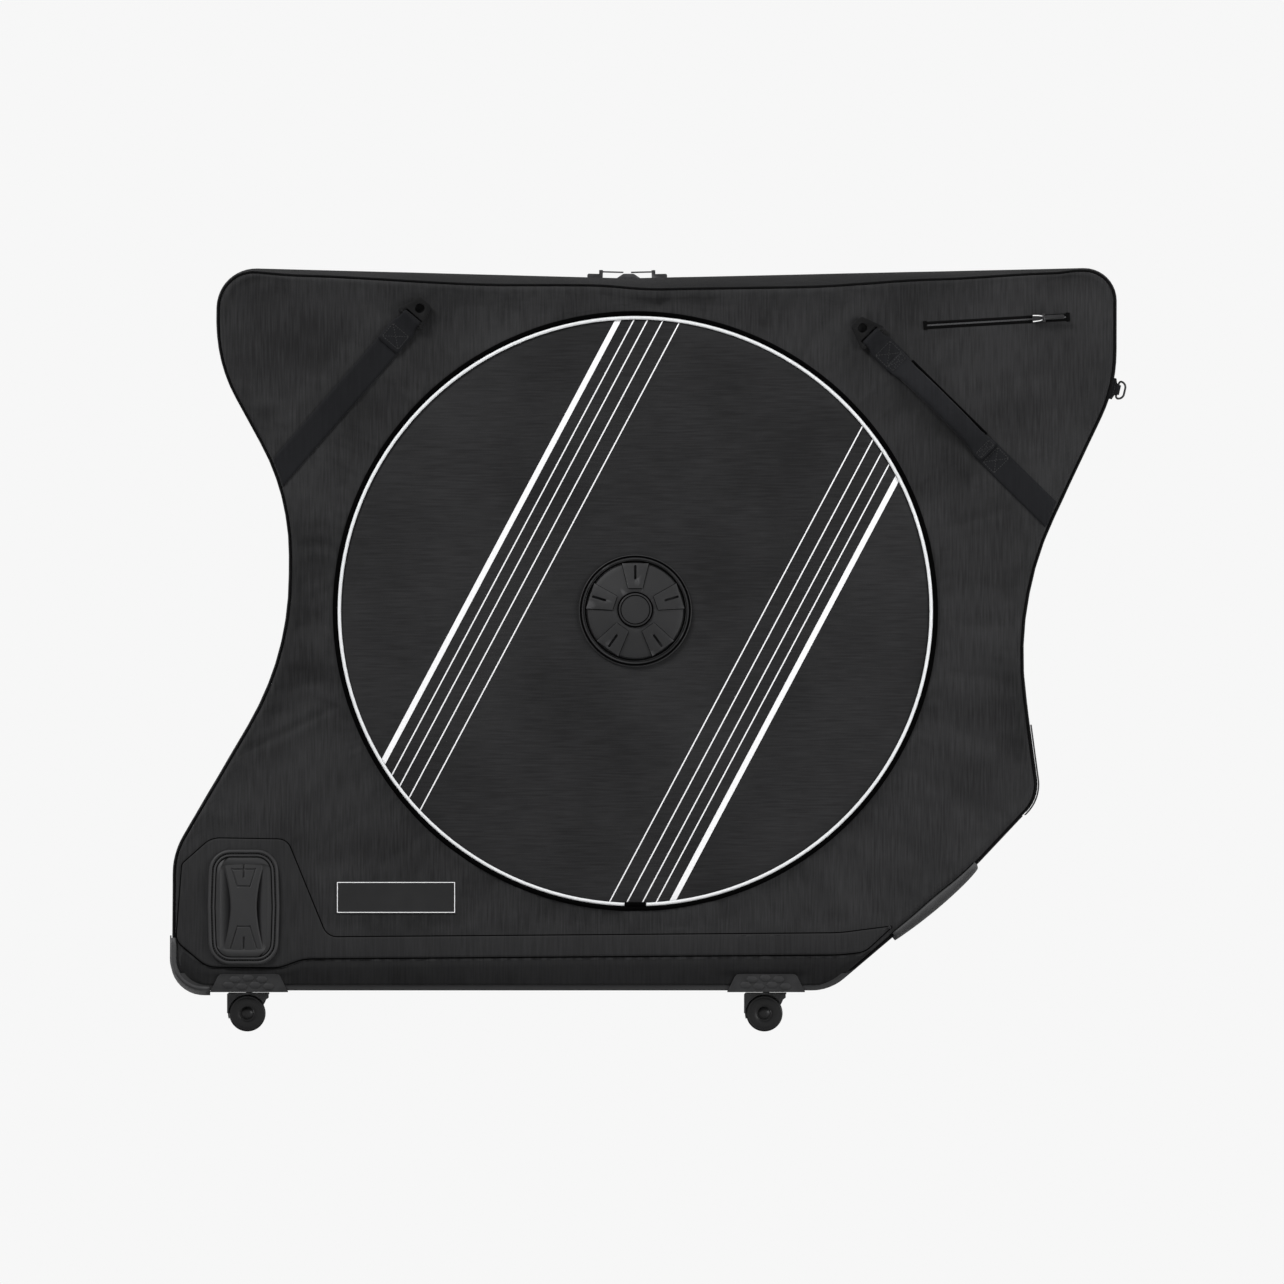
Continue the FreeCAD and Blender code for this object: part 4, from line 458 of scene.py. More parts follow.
def castor_plate(name, side, x):
    """The plate's flange on the skirt and its leg under the tray."""
    foot = -PLATE_THICKNESS
    shoulder = [(PLATE_TOP_HALF + PLATE_EASE, PLATE_RISE - PLATE_DROP),
                (PLATE_TOP_HALF + PLATE_TUCK, PLATE_RISE - PLATE_TUCK),
                (PLATE_TOP_HALF - PLATE_EASE, PLATE_RISE)]
    flange = [(-PLATE_HALF, foot), (PLATE_HALF, foot)] + shoulder
    flange += [(-u, v) for u, v in reversed(shoulder)]
    rings = []
    for shrink, w in ((1.0, 0.0), (1.0, FLANGE_THICKNESS * 0.8), (0.985, FLANGE_THICKNESS)):
        rings.append([on_side(side, x + u * shrink, foot + (v - foot) * shrink, w) for u, v in flange])
    leg_y = side * (HALF_WIDTH + PLATE_THICKNESS)
    back_y = side * (HALF_WIDTH - PLATE_BACK)
    leg = [[Vector((x - PLATE_HALF, leg_y, z)), Vector((x + PLATE_HALF, leg_y, z)),
            Vector((x + PLATE_HALF, back_y, z)), Vector((x - PLATE_HALF, back_y, z))]
           for z in (BASE_Z - PLATE_THICKNESS, BASE_Z - PLATE_GAP)]
    return join_pieces(name, [loft(name + "_flange", rings, sharp=True),
                              loft(name + "_leg", leg, sharp=True)])


castor_black = moulded("castor_black", MOULDED_BLACK, roughness=0.55, specular=0.20, grain=2600.0,
                       depth=0.00005, wear=1.0)
# The plates' plastic is darker than the hoods' to take off light that the plates catch: painted shade.
plate_black_shaded = moulded("plate_black_shaded", scaled(MOULDED_BLACK, 0.5), roughness=0.55, specular=0.10,
                      grain=2600.0, depth=0.00005, wear=1.0)
cell_grey = moulded("cell_grey", scaled(MOULDED_BLACK, 0.9), roughness=0.6, specular=0.12, grain=2600.0,
                    depth=0.00006, wear=0.3)
wheel_rubber = moulded("wheel_rubber", scaled(WHEEL_RUBBER, 0.55), roughness=0.36, specular=0.20,
                       grain=1700.0, depth=0.00004, wear=0.6)
for end, castor_x in CASTOR_X.items():
    for side_name, side in SIDES:
        place = end + "_" + side_name
        dress(["castor_hood_" + place], castor_black, MOULDED_BEVEL)
        set_out(castor_plate("castor_plate_%s_bent" % place, side, castor_x), "base", "moulded_plastic",
                plate_black_shaded, "castor_plate_" + place)
        cells = join_pieces("castor_cells_" + place, [
            cell("cell", side, castor_x + u, v) for u, v in CELL_PLACES])
        set_out(cells, "base", "moulded_plastic", cell_grey)
        hood = join_pieces("castor_arch_" + place, [castor_arch("arch", castor_x, side * CASTOR_Y),
                                                    castor_web("web", castor_x, side * CASTOR_Y)])
        set_out(hood, "castor_hood_" + place, "moulded_plastic", castor_black)
        set_out(castor_wheels("castor_tyres_" + place, castor_x - WHEEL_TRAIL, side * CASTOR_Y),
                "castor_wheels_" + place, "wheel_tread", wheel_rubber, "castor_wheels_" + place)

# Inner frame and stands: satin aluminium tube and bent sheet, bolted up through the tray, with brushed
# marks along X. Black knobs clamp the stands on the rails.
SATIN_METAL = (0.50, 0.51, 0.53)
BRUSHED_DEPTH = 0.00003
METAL_BEVEL = 0.0005
KNOB_BEVEL = 0.0015
satin_metal, metal_tree, metal_shader = new_material("satin_metal", roughness=0.36, specular=0.5)
metal_shader.inputs["Metallic"].default_value = 1.0
stretch = node(metal_tree, "ShaderNodeMapping")
stretch.inputs["Scale"].default_value = (14.0, 900.0, 900.0)
metal_tree.links.new(own_place(metal_tree), stretch.inputs["Vector"])
brushed = node(metal_tree, "ShaderNodeTexNoise")
brushed.inputs["Scale"].default_value = 1.0
metal_tree.links.new(stretch.outputs[0], brushed.inputs["Vector"])
metal_tree.links.new(blend_colours(metal_tree, scaled(SATIN_METAL, 0.8), scaled(SATIN_METAL, 1.1),
                                   brushed.outputs[0]), metal_shader.inputs["Base Color"])
metal_tree.links.new(maths(metal_tree, "MULTIPLY_ADD", brushed.outputs[0], 0.25, 0.26),
                     metal_shader.inputs["Roughness"])
relief(metal_tree, metal_shader, brushed.outputs[0], BRUSHED_DEPTH)
dress(["inner_frame", "rear_carriage", "front_carriage", "rear_post", "front_post"], satin_metal, METAL_BEVEL)
knob_plastic = moulded("knob_plastic", MOULDED_BLACK, roughness=0.5, specular=0.35, grain=1900.0,
                       depth=0.00005, wear=1.0)
dress(["rear_knob", "front_knob"], knob_plastic, KNOB_BEVEL)

# Zip hardware and bolts: small die-cast pieces painted black, worn to bright metal on their corners. The
# document pocket's slider and pull are darker and hardly worn.
HARDWARE_BLACK = (0.018, 0.018, 0.019)
BARE_METAL = (0.62, 0.62, 0.64)
PAINT_GRAIN = 0.00002
HARDWARE_BEVEL = 0.0003


def painted_metal(name, colour, wear):
    material, tree, shader = new_material(name, roughness=0.38, specular=0.22)
    place = own_place(tree)
    skin = placed_group(tree, grain_group, place, Scale=3000.0)
    bare = placed_group(tree, wear_group, place, Amount=wear)
    coat = blend_colours(tree, scaled(colour, 0.7), scaled(colour, 1.4), skin.outputs["Shade"])
    tree.links.new(blend_colours(tree, coat, BARE_METAL, bare.outputs["Mask"]), shader.inputs["Base Color"])
    tree.links.new(bare.outputs["Mask"], shader.inputs["Metallic"])
    tree.links.new(maths(tree, "MULTIPLY_ADD", skin.outputs["Shade"], 0.2, 0.28), shader.inputs["Roughness"])
    relief(tree, shader, skin.outputs["Height"], PAINT_GRAIN)
    return material


zip_metal = painted_metal("zip_metal", HARDWARE_BLACK, 0.35)
dress(["rear_main_slider", "front_main_slider", "rear_main_pull", "front_main_pull", "zip_lock", "dee_ring",
       "frame_bolts"], zip_metal, HARDWARE_BEVEL)
dark_metal = painted_metal("dark_metal", scaled(HARDWARE_BLACK, 0.5), 0.02)
dress(["document_slider", "document_pull"], dark_metal, HARDWARE_BEVEL)

# Side panels: foam and a stiff sheet under a black streaked weave, sewn all round to the edge band. Each is
# blown out a little by its foam between the seams and sewn-on fittings, with slack creases, and has a round
# recess for the wheel cover.
CASE_LENGTH = 1.0968
CASE_HEIGHT = 0.8392
REAR_REACH = 0.5530
PANEL_THICKNESS = 0.012
HINGE_RISE = 0.0246
COVER_U = -0.0150
COVER_V = 0.4439
RECESS_RADIUS = 0.349
RECESS_DEPTH = 0.003
OUTLINE_SHARES = [
    (0.0, 0.0, 0.0443), (0.6964, 0.0, 0.0253), (0.8467, 0.1665, 0.0155), (0.9185, 0.2661, 0.0262),
    (0.8911, 0.5342, 0.1321), (1.0, 0.8369, 0.0482), (1.0, 1.0, 0.0463), (0.4827, 0.9848, 0.0176),
    (0.0476, 1.0, 0.0562), (0.0470, 0.8674, 0.0557), (0.1237, 0.6848, 0.0826), (0.1237, 0.4636, 0.1107),
    (0.0010, 0.1901, 0.0275),
]
TOP_SEAM_SHARES = [(0.05, 0.0045), (0.14, 0.0097), (0.33, 0.0153), (0.45, 0.0124), (0.52, 0.0175),
                   (0.67, 0.0187), (0.81, 0.0124), (0.93, 0.0076), (0.975, 0.0030)]
SILL_SHARES = [
    (0.0046, 0.0690, 0.010), (0.0374, 0.0327, 0.012), (0.1140, 0.0316, 0.010), (0.1390, 0.0439, 0.012),
    (0.7066, 0.0495, 0.010), (0.7335, 0.0536, 0.010), (0.7631, 0.0898), (0.7066, 0.0802, 0.010),
    (0.1645, 0.0745, 0.014), (0.1222, 0.2109, 0.012), (0.0419, 0.2126, 0.012), (0.0109, 0.1764),
]
EDGE_INSET = 0.0040
GUARD_INSET = 0.0058
GUARD_TOP = 0.064
GUARD_FRONT = -0.504
GUARD_FADE = 0.004
GUARD_FADE_LOW = 0.006
GUARD_FADE_FRONT = 0.008
SKID_INSET = 0.0048
SKID_FROM = 0.284
SKID_TO = 0.384
SKID_TOP = 0.17
EDGE_ROUND = 0.006
OUTLINE_STEP = 0.006
SILL_STEP = 0.004
ARC_STEP = math.radians(5.0)
PANEL_RINGS = 30
PANEL_INNER_STEPS = (0.0, 0.0012, 0.004)
PANEL_OUTER_STEPS = (0.009, 0.006, 0.0035, 0.0014, 0.0)
RECESS_ROLL = 0.0014
PANEL_PRESSURE = 3.0
PANEL_SLACK = 0.012
PANEL_SWELL = 0.0045
CLOTH_FRAMES = 20
SEWN_INNER_RINGS = 2
SEWN_OUTER_RINGS = 4
SHELL_BLACK = (0.0162, 0.0162, 0.0168)


def rounded(corners):
    """Points round a closed outline; a corner is (x, y) or (x, y, how far off its round starts)."""
    points = []
    for index, corner in enumerate(corners):
        spot = Vector(corner[:2])
        if len(corner) == 2:
            points.append(spot)
            continue
        before = (Vector(corners[index - 1][:2]) - spot).normalized()
        after = (Vector(corners[(index + 1) % len(corners)][:2]) - spot).normalized()
        half = before.angle(after) / 2
        radius = corner[2] * math.tan(half)
        centre = spot + (before + after).normalized() * (radius / math.sin(half))
        first = spot + before * corner[2] - centre
        last = spot + after * corner[2] - centre
        start = math.atan2(first.y, first.x)
        sweep = math.remainder(math.atan2(last.y, last.x) - start, 2 * math.pi)
        steps = max(2, math.ceil(abs(sweep) / ARC_STEP - 0.01))
        for step in range(steps + 1):
            angle = start + sweep * step / steps
            points.append(centre + Vector((math.cos(angle), math.sin(angle))) * radius)
    return points


def even(points, step, closed=True):
    """The same line with its points spread evenly."""
    walk = points + points[:1] if closed else points
    reach = [0.0]
    for first, second in zip(walk, walk[1:]):
        reach.append(reach[-1] + (second - first).length)
    count = max(3, round(reach[-1] / step))
    placed = []
    index = 0
    for number in range(count if closed else count + 1):
        goal = reach[-1] * number / count
        while index < len(walk) - 2 and reach[index + 1] < goal:
            index += 1
        span = reach[index + 1] - reach[index]
        placed.append(walk[index].lerp(walk[index + 1], (goal - reach[index]) / span if span else 0.0))
    return placed


def from_shares(shares):
    """Corners in metres from shares of the case's length and height."""
    return [(share[0] * CASE_LENGTH - REAR_REACH, share[1] * CASE_HEIGHT)
            + tuple(part * CASE_HEIGHT for part in share[2:]) for share in shares]


def outward(points):
    """The way out of a closed outline at each of its points."""
    ways = []
    for index, point in enumerate(points):
        along = points[(index + 1) % len(points)] - points[index - 1]
        ways.append(Vector((along.y, -along.x)).normalized())
    return ways


def smooth(low, high, value):
    part = min(1.0, max(0.0, (value - low) / (high - low)))
    return part * part * (3.0 - 2.0 * part)


def top_drop(x):
    """How far the panel's top seam lies under the case's top line."""
    share = (x + REAR_REACH) / CASE_LENGTH
    knots = TOP_SEAM_SHARES
    if share <= knots[0][0]:
        return knots[0][1] * CASE_HEIGHT
    for (low, low_drop), (high, high_drop) in zip(knots, knots[1:]):
        if share <= high:
            return (low_drop + (high_drop - low_drop) * smooth(low, high, share)) * CASE_HEIGHT
    return knots[-1][1] * CASE_HEIGHT


def guard_drop(point):
    """How far the seam keeps in from the outline where the corner guard and the skid guard show."""
    low = 1.0 - smooth(GUARD_TOP - GUARD_FADE_LOW, GUARD_TOP + GUARD_FADE, point.y)
    rear = 1.0 - smooth(GUARD_FRONT - GUARD_FADE, GUARD_FRONT + GUARD_FADE_FRONT, point.x)
    part = (point.x - SKID_FROM) / (SKID_TO - SKID_FROM)
    skid = math.sin(math.pi * part) ** 0.7 if 0.0 < part < 1.0 and point.y < SKID_TOP else 0.0
    return max(GUARD_INSET * low * rear, SKID_INSET * skid)


case_line = even(rounded(from_shares(OUTLINE_SHARES)), OUTLINE_STEP)
case_ways = outward(case_line)
seam_drops = []
for point, way in zip(case_line, case_ways):
    crown = (max(EDGE_INSET, top_drop(point.x)) - EDGE_INSET) * smooth(0.45, 0.97, way.y)
    seam_drops.append(max(EDGE_INSET + crown, guard_drop(point)))
seam_line = [point - way * drop for point, way, drop in zip(case_line, case_ways, seam_drops)]
panel_seam = [Vector((point.x, max(HINGE_RISE, point.y / math.cos(LEAN)))) for point in seam_line]


def inside(polygon, point):
    """Whether a point lies inside a closed outline."""
    within = False
    for first, second in zip(polygon, polygon[1:] + polygon[:1]):
        if (first.y > point.y) != (second.y > point.y):
            cross = first.x + (second.x - first.x) * (point.y - first.y) / (second.y - first.y)
            within ^= cross > point.x
    return within


sill_line = even(rounded(from_shares(SILL_SHARES)), SILL_STEP)

# Where fittings hold the near panel down: middle, turn, half length and half width of each
REAR_STRAP = {"u": -0.2752, "v": 0.7856, "turn": math.radians(229.3), "length": 0.228}
FRONT_STRAP = {"u": 0.2595, "v": 0.7634, "turn": math.radians(-44.9), "length": 0.284}
STRAP_HALF = 0.015
DOCUMENT_ZIP = {"u": 0.4040, "v": 0.7829, "turn": math.radians(3.4), "half_length": 0.083,
                "half_width": 0.0065}
LABEL = {"u": -0.2926, "v": 0.1087, "half_length": 0.0696, "half_width": 0.0191}
HOLD_MARGIN = 0.004
HOLD_REACH = 0.02
FOLD_DEPTH = 0.0085
FOLD_FADE = 0.030
CREASE_SHARE = 0.4
CREASE_WIDTH_SHARE = 0.22
# Rates of the noise round the wheel and out from it, and a level of its own, which together make a wave
CREASE_WAVE = (6.0, 5.0, 5.3)
# Wave and share of the full depth of the broad folds and of the finer ones on them
FOLD_WAVES = [((7.0, 9.0, 0.7), 1.0), ((13.0, 11.0, 3.1), 0.45)]


def along_strap(strap, distance, across=0.0):
    """A place on a strap, by its distance from the ring's pin."""
    run = Vector((math.cos(strap["turn"]), math.sin(strap["turn"])))
    return Vector((strap["u"], strap["v"])) + run * distance + Vector((-run.y, run.x)) * across


def in_frame(middle, turn, point):
    """A point as seen from a middle, along and across a turn."""
    offset = point - middle
    run = Vector((math.cos(turn), math.sin(turn)))
    return offset.dot(run), offset.dot(Vector((-run.y, run.x)))


near_holds = [
    (along_strap(strap, strap["length"] / 2), strap["turn"], strap["length"] / 2 + HOLD_REACH, STRAP_HALF)
    for strap in (REAR_STRAP, FRONT_STRAP)
]
near_holds.append((Vector((DOCUMENT_ZIP["u"], DOCUMENT_ZIP["v"])), DOCUMENT_ZIP["turn"],
                   DOCUMENT_ZIP["half_length"], DOCUMENT_ZIP["half_width"]))
near_holds.append((Vector((LABEL["u"], LABEL["v"])), 0.0, LABEL["half_length"], LABEL["half_width"]))

sill_points = KDTree(len(sill_line))
for index, point in enumerate(sill_line):
    sill_points.insert((point.x, point.y, 0.0), index)
sill_points.balance()


def sill_clear(spot, width):
    """0 under the sill band, rising to 1 a width off its edge."""
    if inside(sill_line, spot):
        return 0.0
    return smooth(0.0, width, sill_points.find((spot.x, spot.y, 0.0))[2])


def fold_noise(turn, reach, wave):
    return noise.noise(Vector((turn * wave[0], reach * wave[1], wave[2])))


def slack_fold(place, holds):
    """How far the slack cover stands off its foam in soft folds that run out from the wheel."""
    offset = place - Vector((COVER_U, COVER_V))
    reach = offset.length - RECESS_RADIUS
    turn = math.atan2(offset.y, offset.x)
    fold = 0.0
    for wave, share in FOLD_WAVES:
        fold += FOLD_DEPTH * share * fold_noise(turn, reach, wave)
    off_crease = abs(fold_noise(turn, reach, CREASE_WAVE)) / CREASE_WIDTH_SHARE
    fold -= FOLD_DEPTH * CREASE_SHARE * max(0.0, 1.0 - off_crease)
    free = sill_clear(place, FOLD_FADE)
    for middle, aim, half_length, half_width in holds:
        along, across = in_frame(middle, aim, place)
        off = Vector((max(0.0, abs(along) - half_length), max(0.0, abs(across) - half_width))).length
        free = min(free, smooth(HOLD_MARGIN, FOLD_FADE, off))
    return fold * free


def held_down(point, holds):
    """Whether a fitting or the sill band presses on a point of the panel."""
    if inside(sill_line, point):
        return True
    for middle, turn, half_length, half_width in holds:
        along, across = in_frame(middle, turn, point)
        if abs(along) < half_length + HOLD_MARGIN and abs(across) < half_width + HOLD_MARGIN:
            return True
    return False


def swell(piece, held, pressure, slack, cap):
    """Blows a sewn-down sheet out with cloth, and gives its points, none moved further than the cap."""
    rest = [vertex.co.copy() for vertex in piece.data.vertices]
    group = piece.vertex_groups.new(name="held")
    group.add(held, 1.0, "REPLACE")
    cloth = piece.modifiers.new("cloth", "CLOTH")
    cloth.settings.quality = 5
    cloth.settings.mass = 0.25
    cloth.settings.tension_stiffness = 14.0
    cloth.settings.compression_stiffness = 14.0
    cloth.settings.shear_stiffness = 5.0
    cloth.settings.bending_stiffness = 0.6
    cloth.settings.vertex_group_mass = "held"
    cloth.settings.use_pressure = True
    cloth.settings.uniform_pressure_force = pressure
    cloth.settings.shrink_min = -slack
    cloth.settings.shrink_max = -slack
    cloth.settings.effector_weights.gravity = 0.0
    for number in range(1, CLOTH_FRAMES + 1):
        scene.frame_set(number)
    graph = bpy.context.evaluated_depsgraph_get()
    moved = [vertex.co.copy() for vertex in piece.evaluated_get(graph).data.vertices]
    piece.modifiers.remove(cloth)
    scene.frame_set(1)
    for index, start in enumerate(rest):
        step = moved[index] - start
        if step.length > cap:
            moved[index] = start + step * (cap / step.length)
    return moved


def panel_rows(side):
    """The panel's front, ring by ring from the recess to the outer seam, and each point's (u, v)."""
    middle = Vector((COVER_U, COVER_V))
    rows = []
    flat = []
    for ring in range(len(PANEL_INNER_STEPS) + PANEL_RINGS + len(PANEL_OUTER_STEPS)):
        for point in panel_seam:
            out = (point - middle).normalized()
            length = (point - middle).length - RECESS_RADIUS
            if ring < len(PANEL_INNER_STEPS):
                reach = PANEL_INNER_STEPS[ring]
            elif ring >= len(PANEL_INNER_STEPS) + PANEL_RINGS:
                reach = length - PANEL_OUTER_STEPS[ring - len(PANEL_INNER_STEPS) - PANEL_RINGS]
            else:
                part = (ring - len(PANEL_INNER_STEPS) + 1) / (PANEL_RINGS + 1)
                reach = PANEL_INNER_STEPS[-1] + (length - PANEL_OUTER_STEPS[0] - PANEL_INNER_STEPS[-1]) * part
            from_edge = max(0.0, length - reach)
            w = 0.0
            if from_edge < EDGE_ROUND:
                w = math.sqrt(EDGE_ROUND ** 2 - (EDGE_ROUND - from_edge) ** 2) - EDGE_ROUND
            if reach < PANEL_INNER_STEPS[-1]:
                w -= RECESS_ROLL * (1.0 - reach / PANEL_INNER_STEPS[-1]) ** 2
            place = middle + out * (RECESS_RADIUS + reach)
            flat.append(place)
            rows.append(on_side(side, place.x, place.y, w))
    return rows, flat


def facing(faces, side):
    """Turns faces that are laid out for the near side so that they face out of either side."""
    return [face[::-1] for face in faces] if side > 0 else faces


def side_panel(name, side, holds):
    rows, flat = panel_rows(side)
    count = len(panel_seam)
    rings = len(rows) // count
    front = new_piece(name + "_front", rows, facing(ring_faces(rings, count), side))
    held = [index for index in range(len(rows)) if index < SEWN_INNER_RINGS * count
            or index >= (rings - SEWN_OUTER_RINGS) * count or held_down(flat[index], holds)]
    rows = swell(front, held, PANEL_PRESSURE, PANEL_SLACK, PANEL_SWELL)
    bpy.data.objects.remove(front)
    out = on_side(side, 0.0, 0.0, 1.0) - on_side(side, 0.0, 0.0, 0.0)
    for index, place in enumerate(flat):
        part = (index // count) / (rings - 1)
        rows[index] = rows[index] + out * (slack_fold(place, holds) * math.sin(math.pi * part) ** 0.8)
    seam = flat[-count:]
    recess = flat[:count]
    back = [on_side(side, place.x, place.y, -PANEL_THICKNESS) for place in seam]
    floor_ring = [on_side(side, place.x, place.y, -RECESS_DEPTH) for place in recess]
    points = floor_ring + rows + back
    points.append(on_side(side, COVER_U, COVER_V, -RECESS_DEPTH))
    points.append(on_side(side, COVER_U, COVER_V, -PANEL_THICKNESS))
    faces = ring_faces(rings + 2, count)
    last = (rings + 1) * count
    for index in range(count):
        other = (index + 1) % count
        faces.append((other, index, len(points) - 2))
        faces.append((last + index, last + other, len(points) - 1))
    panel = new_piece(name, points, faces)
    tidy_normals(panel)
    return panel


weave_group, given, result = new_group("streaked_weave", [("Place", "Vector"), ("Threads", "Float")],
                                       ["Height", "Shade"])
parts = node(weave_group, "ShaderNodeSeparateXYZ")
weave_group.links.new(given.outputs["Place"], parts.inputs[0])
streak_place = node(weave_group, "ShaderNodeCombineXYZ")
feed(weave_group, maths(weave_group, "MULTIPLY", parts.outputs[0], 520.0), streak_place.inputs[0])
feed(weave_group, maths(weave_group, "MULTIPLY", parts.outputs[1], 26.0), streak_place.inputs[1])
streak = node(weave_group, "ShaderNodeTexNoise")
streak.inputs["Scale"].default_value = 1.0
streak.inputs["Detail"].default_value = 3.0
weave_group.links.new(streak_place.outputs[0], streak.inputs["Vector"])
broad = node(weave_group, "ShaderNodeTexNoise")
broad.inputs["Scale"].default_value = 9.0
broad.inputs["Detail"].default_value = 4.0
weave_group.links.new(given.outputs["Place"], broad.inputs["Vector"])
warp = maths(weave_group, "SINE", maths(weave_group, "MULTIPLY", parts.outputs[0], given.outputs["Threads"]))
weft = maths(weave_group, "SINE", maths(weave_group, "MULTIPLY", parts.outputs[1], given.outputs["Threads"]))
crossing = maths(weave_group, "MULTIPLY", warp, weft)
weave_group.links.new(maths(weave_group, "MULTIPLY_ADD", crossing, 0.5, 0.5), result.inputs["Height"])
weave_group.links.new(maths(weave_group, "MULTIPLY_ADD", streak.outputs[0], 0.5,
                            maths(weave_group, "MULTIPLY", broad.outputs[0], 0.5)), result.inputs["Shade"])


def face_place(tree, order):
    """The object's own coordinates with the two that lie in the cloth put first."""
    split = node(tree, "ShaderNodeSeparateXYZ")
    tree.links.new(own_place(tree), split.inputs[0])
    joined = node(tree, "ShaderNodeCombineXYZ")
    for index, axis in enumerate(order):
        tree.links.new(split.outputs[axis], joined.inputs[index])
    return joined.outputs[0]


SHEEN_SHARE = 0.3
TINT_GAIN = 3.6


def cloth_look(name, colour, contrast, roughness, specular, threads, depth, order="XZY"):
    """Woven cloth: threads in relief, long streaks of shade along its second direction."""
    material, tree, shader = new_material(name, roughness, specular)
    weave = placed_group(tree, weave_group, face_place(tree, order), Threads=threads)
    spread_shade = maths(tree, "SUBTRACT", weave.outputs["Shade"], 0.5)
    tint = maths(tree, "MULTIPLY_ADD", spread_shade, TINT_GAIN, 0.5, clamp=True)
    tree.links.new(blend_colours(tree, scaled(colour, 1.0 - contrast), scaled(colour, 1.0 + contrast), tint),
                   shader.inputs["Base Color"])
    relief(tree, shader, weave.outputs["Height"], depth)
    shader.inputs["Sheen Weight"].default_value = specular * SHEEN_SHARE
    shader.inputs["Sheen Roughness"].default_value = 0.5
    return material


shell_fabric = cloth_look("shell_fabric", SHELL_BLACK, contrast=0.42, roughness=0.82, specular=0.10,
                          threads=5200.0, depth=0.00010)
near_panel = side_panel("near_panel", -1, near_holds)
far_panel = side_panel("far_panel", 1, [])

# Handle well: the grab handle's well goes into the near panel's front, so that the cup sits in it. After
# that both panels are set out.
HANDLE_U = -0.4694
HANDLE_V = 0.0969
CUP_HALF_WIDTH = 0.0378
CUP_HALF_HEIGHT = 0.0620
CUP_CORNER = 0.0189
CUP_DEPTH = 0.0081


def rectangle(half_width, half_height, corner):
    return [(-half_width, -half_height, corner), (half_width, -half_height, corner),
            (half_width, half_height, corner), (-half_width, half_height, corner)]


def bake(piece):
    """Gives a piece the mesh that its modifiers make, and takes them off."""
    graph = bpy.context.evaluated_depsgraph_get()
    piece.data = bpy.data.meshes.new_from_object(piece.evaluated_get(graph))
    piece.modifiers.clear()


def cut_well(panel):
    """Cuts the handle's well out of a panel."""
    outline = rounded(rectangle(CUP_HALF_WIDTH, CUP_HALF_HEIGHT, CUP_CORNER))
    count = len(outline)
    points = [on_side(-1, HANDLE_U + spot.x, HANDLE_V + spot.y, w) for w in (-CUP_DEPTH, CUP_DEPTH * 2)
              for spot in outline]
    faces = ring_faces(2, count) + [tuple(range(count))[::-1], tuple(range(count, 2 * count))]
    tool = new_piece("well_tool", points, faces)
    tidy_normals(tool)
    well = panel.modifiers.new("well", "BOOLEAN")
    well.object = tool
    well.solver = "EXACT"
    bake(panel)
    bpy.data.objects.remove(tool)


cut_well(near_panel)
for panel, side_name in ((near_panel, "near"), (far_panel, "far")):
    set_out(panel, side_name + "_side", "shell_fabric", shell_fabric, side_name + "_side_panel")

# Sill bands: a thicker band of the same cloth, moulded over a stiffener along the foot of each side and round
# the grab handle, with a sewn edge.
SILL_RAISE = 0.0021
# How far in from the band's edge each ring lies and how high it stands
SILL_STEPS = ((0.0, -0.0004), (0.0004, 0.0009), (0.0014, 0.0017), (0.0032, SILL_RAISE))


def inset_line(points, amount):
    ways = outward(points)
    return [point - way * amount for point, way in zip(points, ways)]


def sill_band(name, side):
    rings = []
    for amount, rise in SILL_STEPS:
        rings.append([on_side(side, spot.x, spot.y, rise) for spot in inset_line(sill_line, amount)])
    count = len(sill_line)
    shell = bmesh.new()
    loops = [[shell.verts.new(point) for point in ring] for ring in rings]
    for low, high in zip(loops, loops[1:]):
        for index in range(count):
            other = (index + 1) % count
            shell.faces.new((low[index], low[other], high[other], high[index]))
    shell.edges.ensure_lookup_table()
    rim = [shell.edges.get((loops[-1][index], loops[-1][(index + 1) % count])) for index in range(count)]
    if side < 0:
        hole = [on_side(side, HANDLE_U + spot.x, HANDLE_V + spot.y, SILL_RAISE) for spot in
                even(rounded(rectangle(CUP_HALF_WIDTH, CUP_HALF_HEIGHT, CUP_CORNER)), SILL_STEP)]
        ring = [shell.verts.new(point) for point in hole]
        rim += [shell.edges.new((ring[index - 1], ring[index])) for index in range(len(ring))]
    bmesh.ops.triangle_fill(shell, use_beauty=True, use_dissolve=False, edges=rim)
    bmesh.ops.recalc_face_normals(shell, faces=shell.faces)
    mesh = bpy.data.meshes.new(name)
    shell.to_mesh(mesh)
    shell.free()
    shade_smooth(mesh)
    return linked(name, mesh)


sill_fabric = cloth_look("sill_fabric", SHELL_BLACK, contrast=0.26, roughness=0.82, specular=0.10,
                         threads=5200.0, depth=0.00008)
for side_name, side in SIDES:
    set_out(sill_band(side_name + "_sill_band", side), side_name + "_side", "shell_fabric", sill_fabric)

# Edge piping: a black cord in a folded strip, sewn into the seam between each panel and its edge band and
# standing a little outside it.
PIPING_RADIUS = 0.0014
PIPING_SINK_SHARE = 0.75


def tube(name, points, radius, closed=True):
    """A round cord along a line of points."""
    curve = bpy.data.curves.new(name, "CURVE")
    curve.dimensions = "3D"
    curve.bevel_depth = radius
    curve.bevel_resolution = 2
    curve.use_fill_caps = not closed
    spline = curve.splines.new("POLY")
    spline.points.add(len(points) - 1)
    for spot, point in zip(spline.points, points):
        spot.co = tuple(point) + (1.0,)
    spline.use_cyclic_u = closed
    cord = linked(name, curve)
    mesh = bpy.data.meshes.new_from_object(cord)
    bpy.data.objects.remove(cord)
    mesh.name = name
    shade_smooth(mesh)
    return linked(name, mesh)
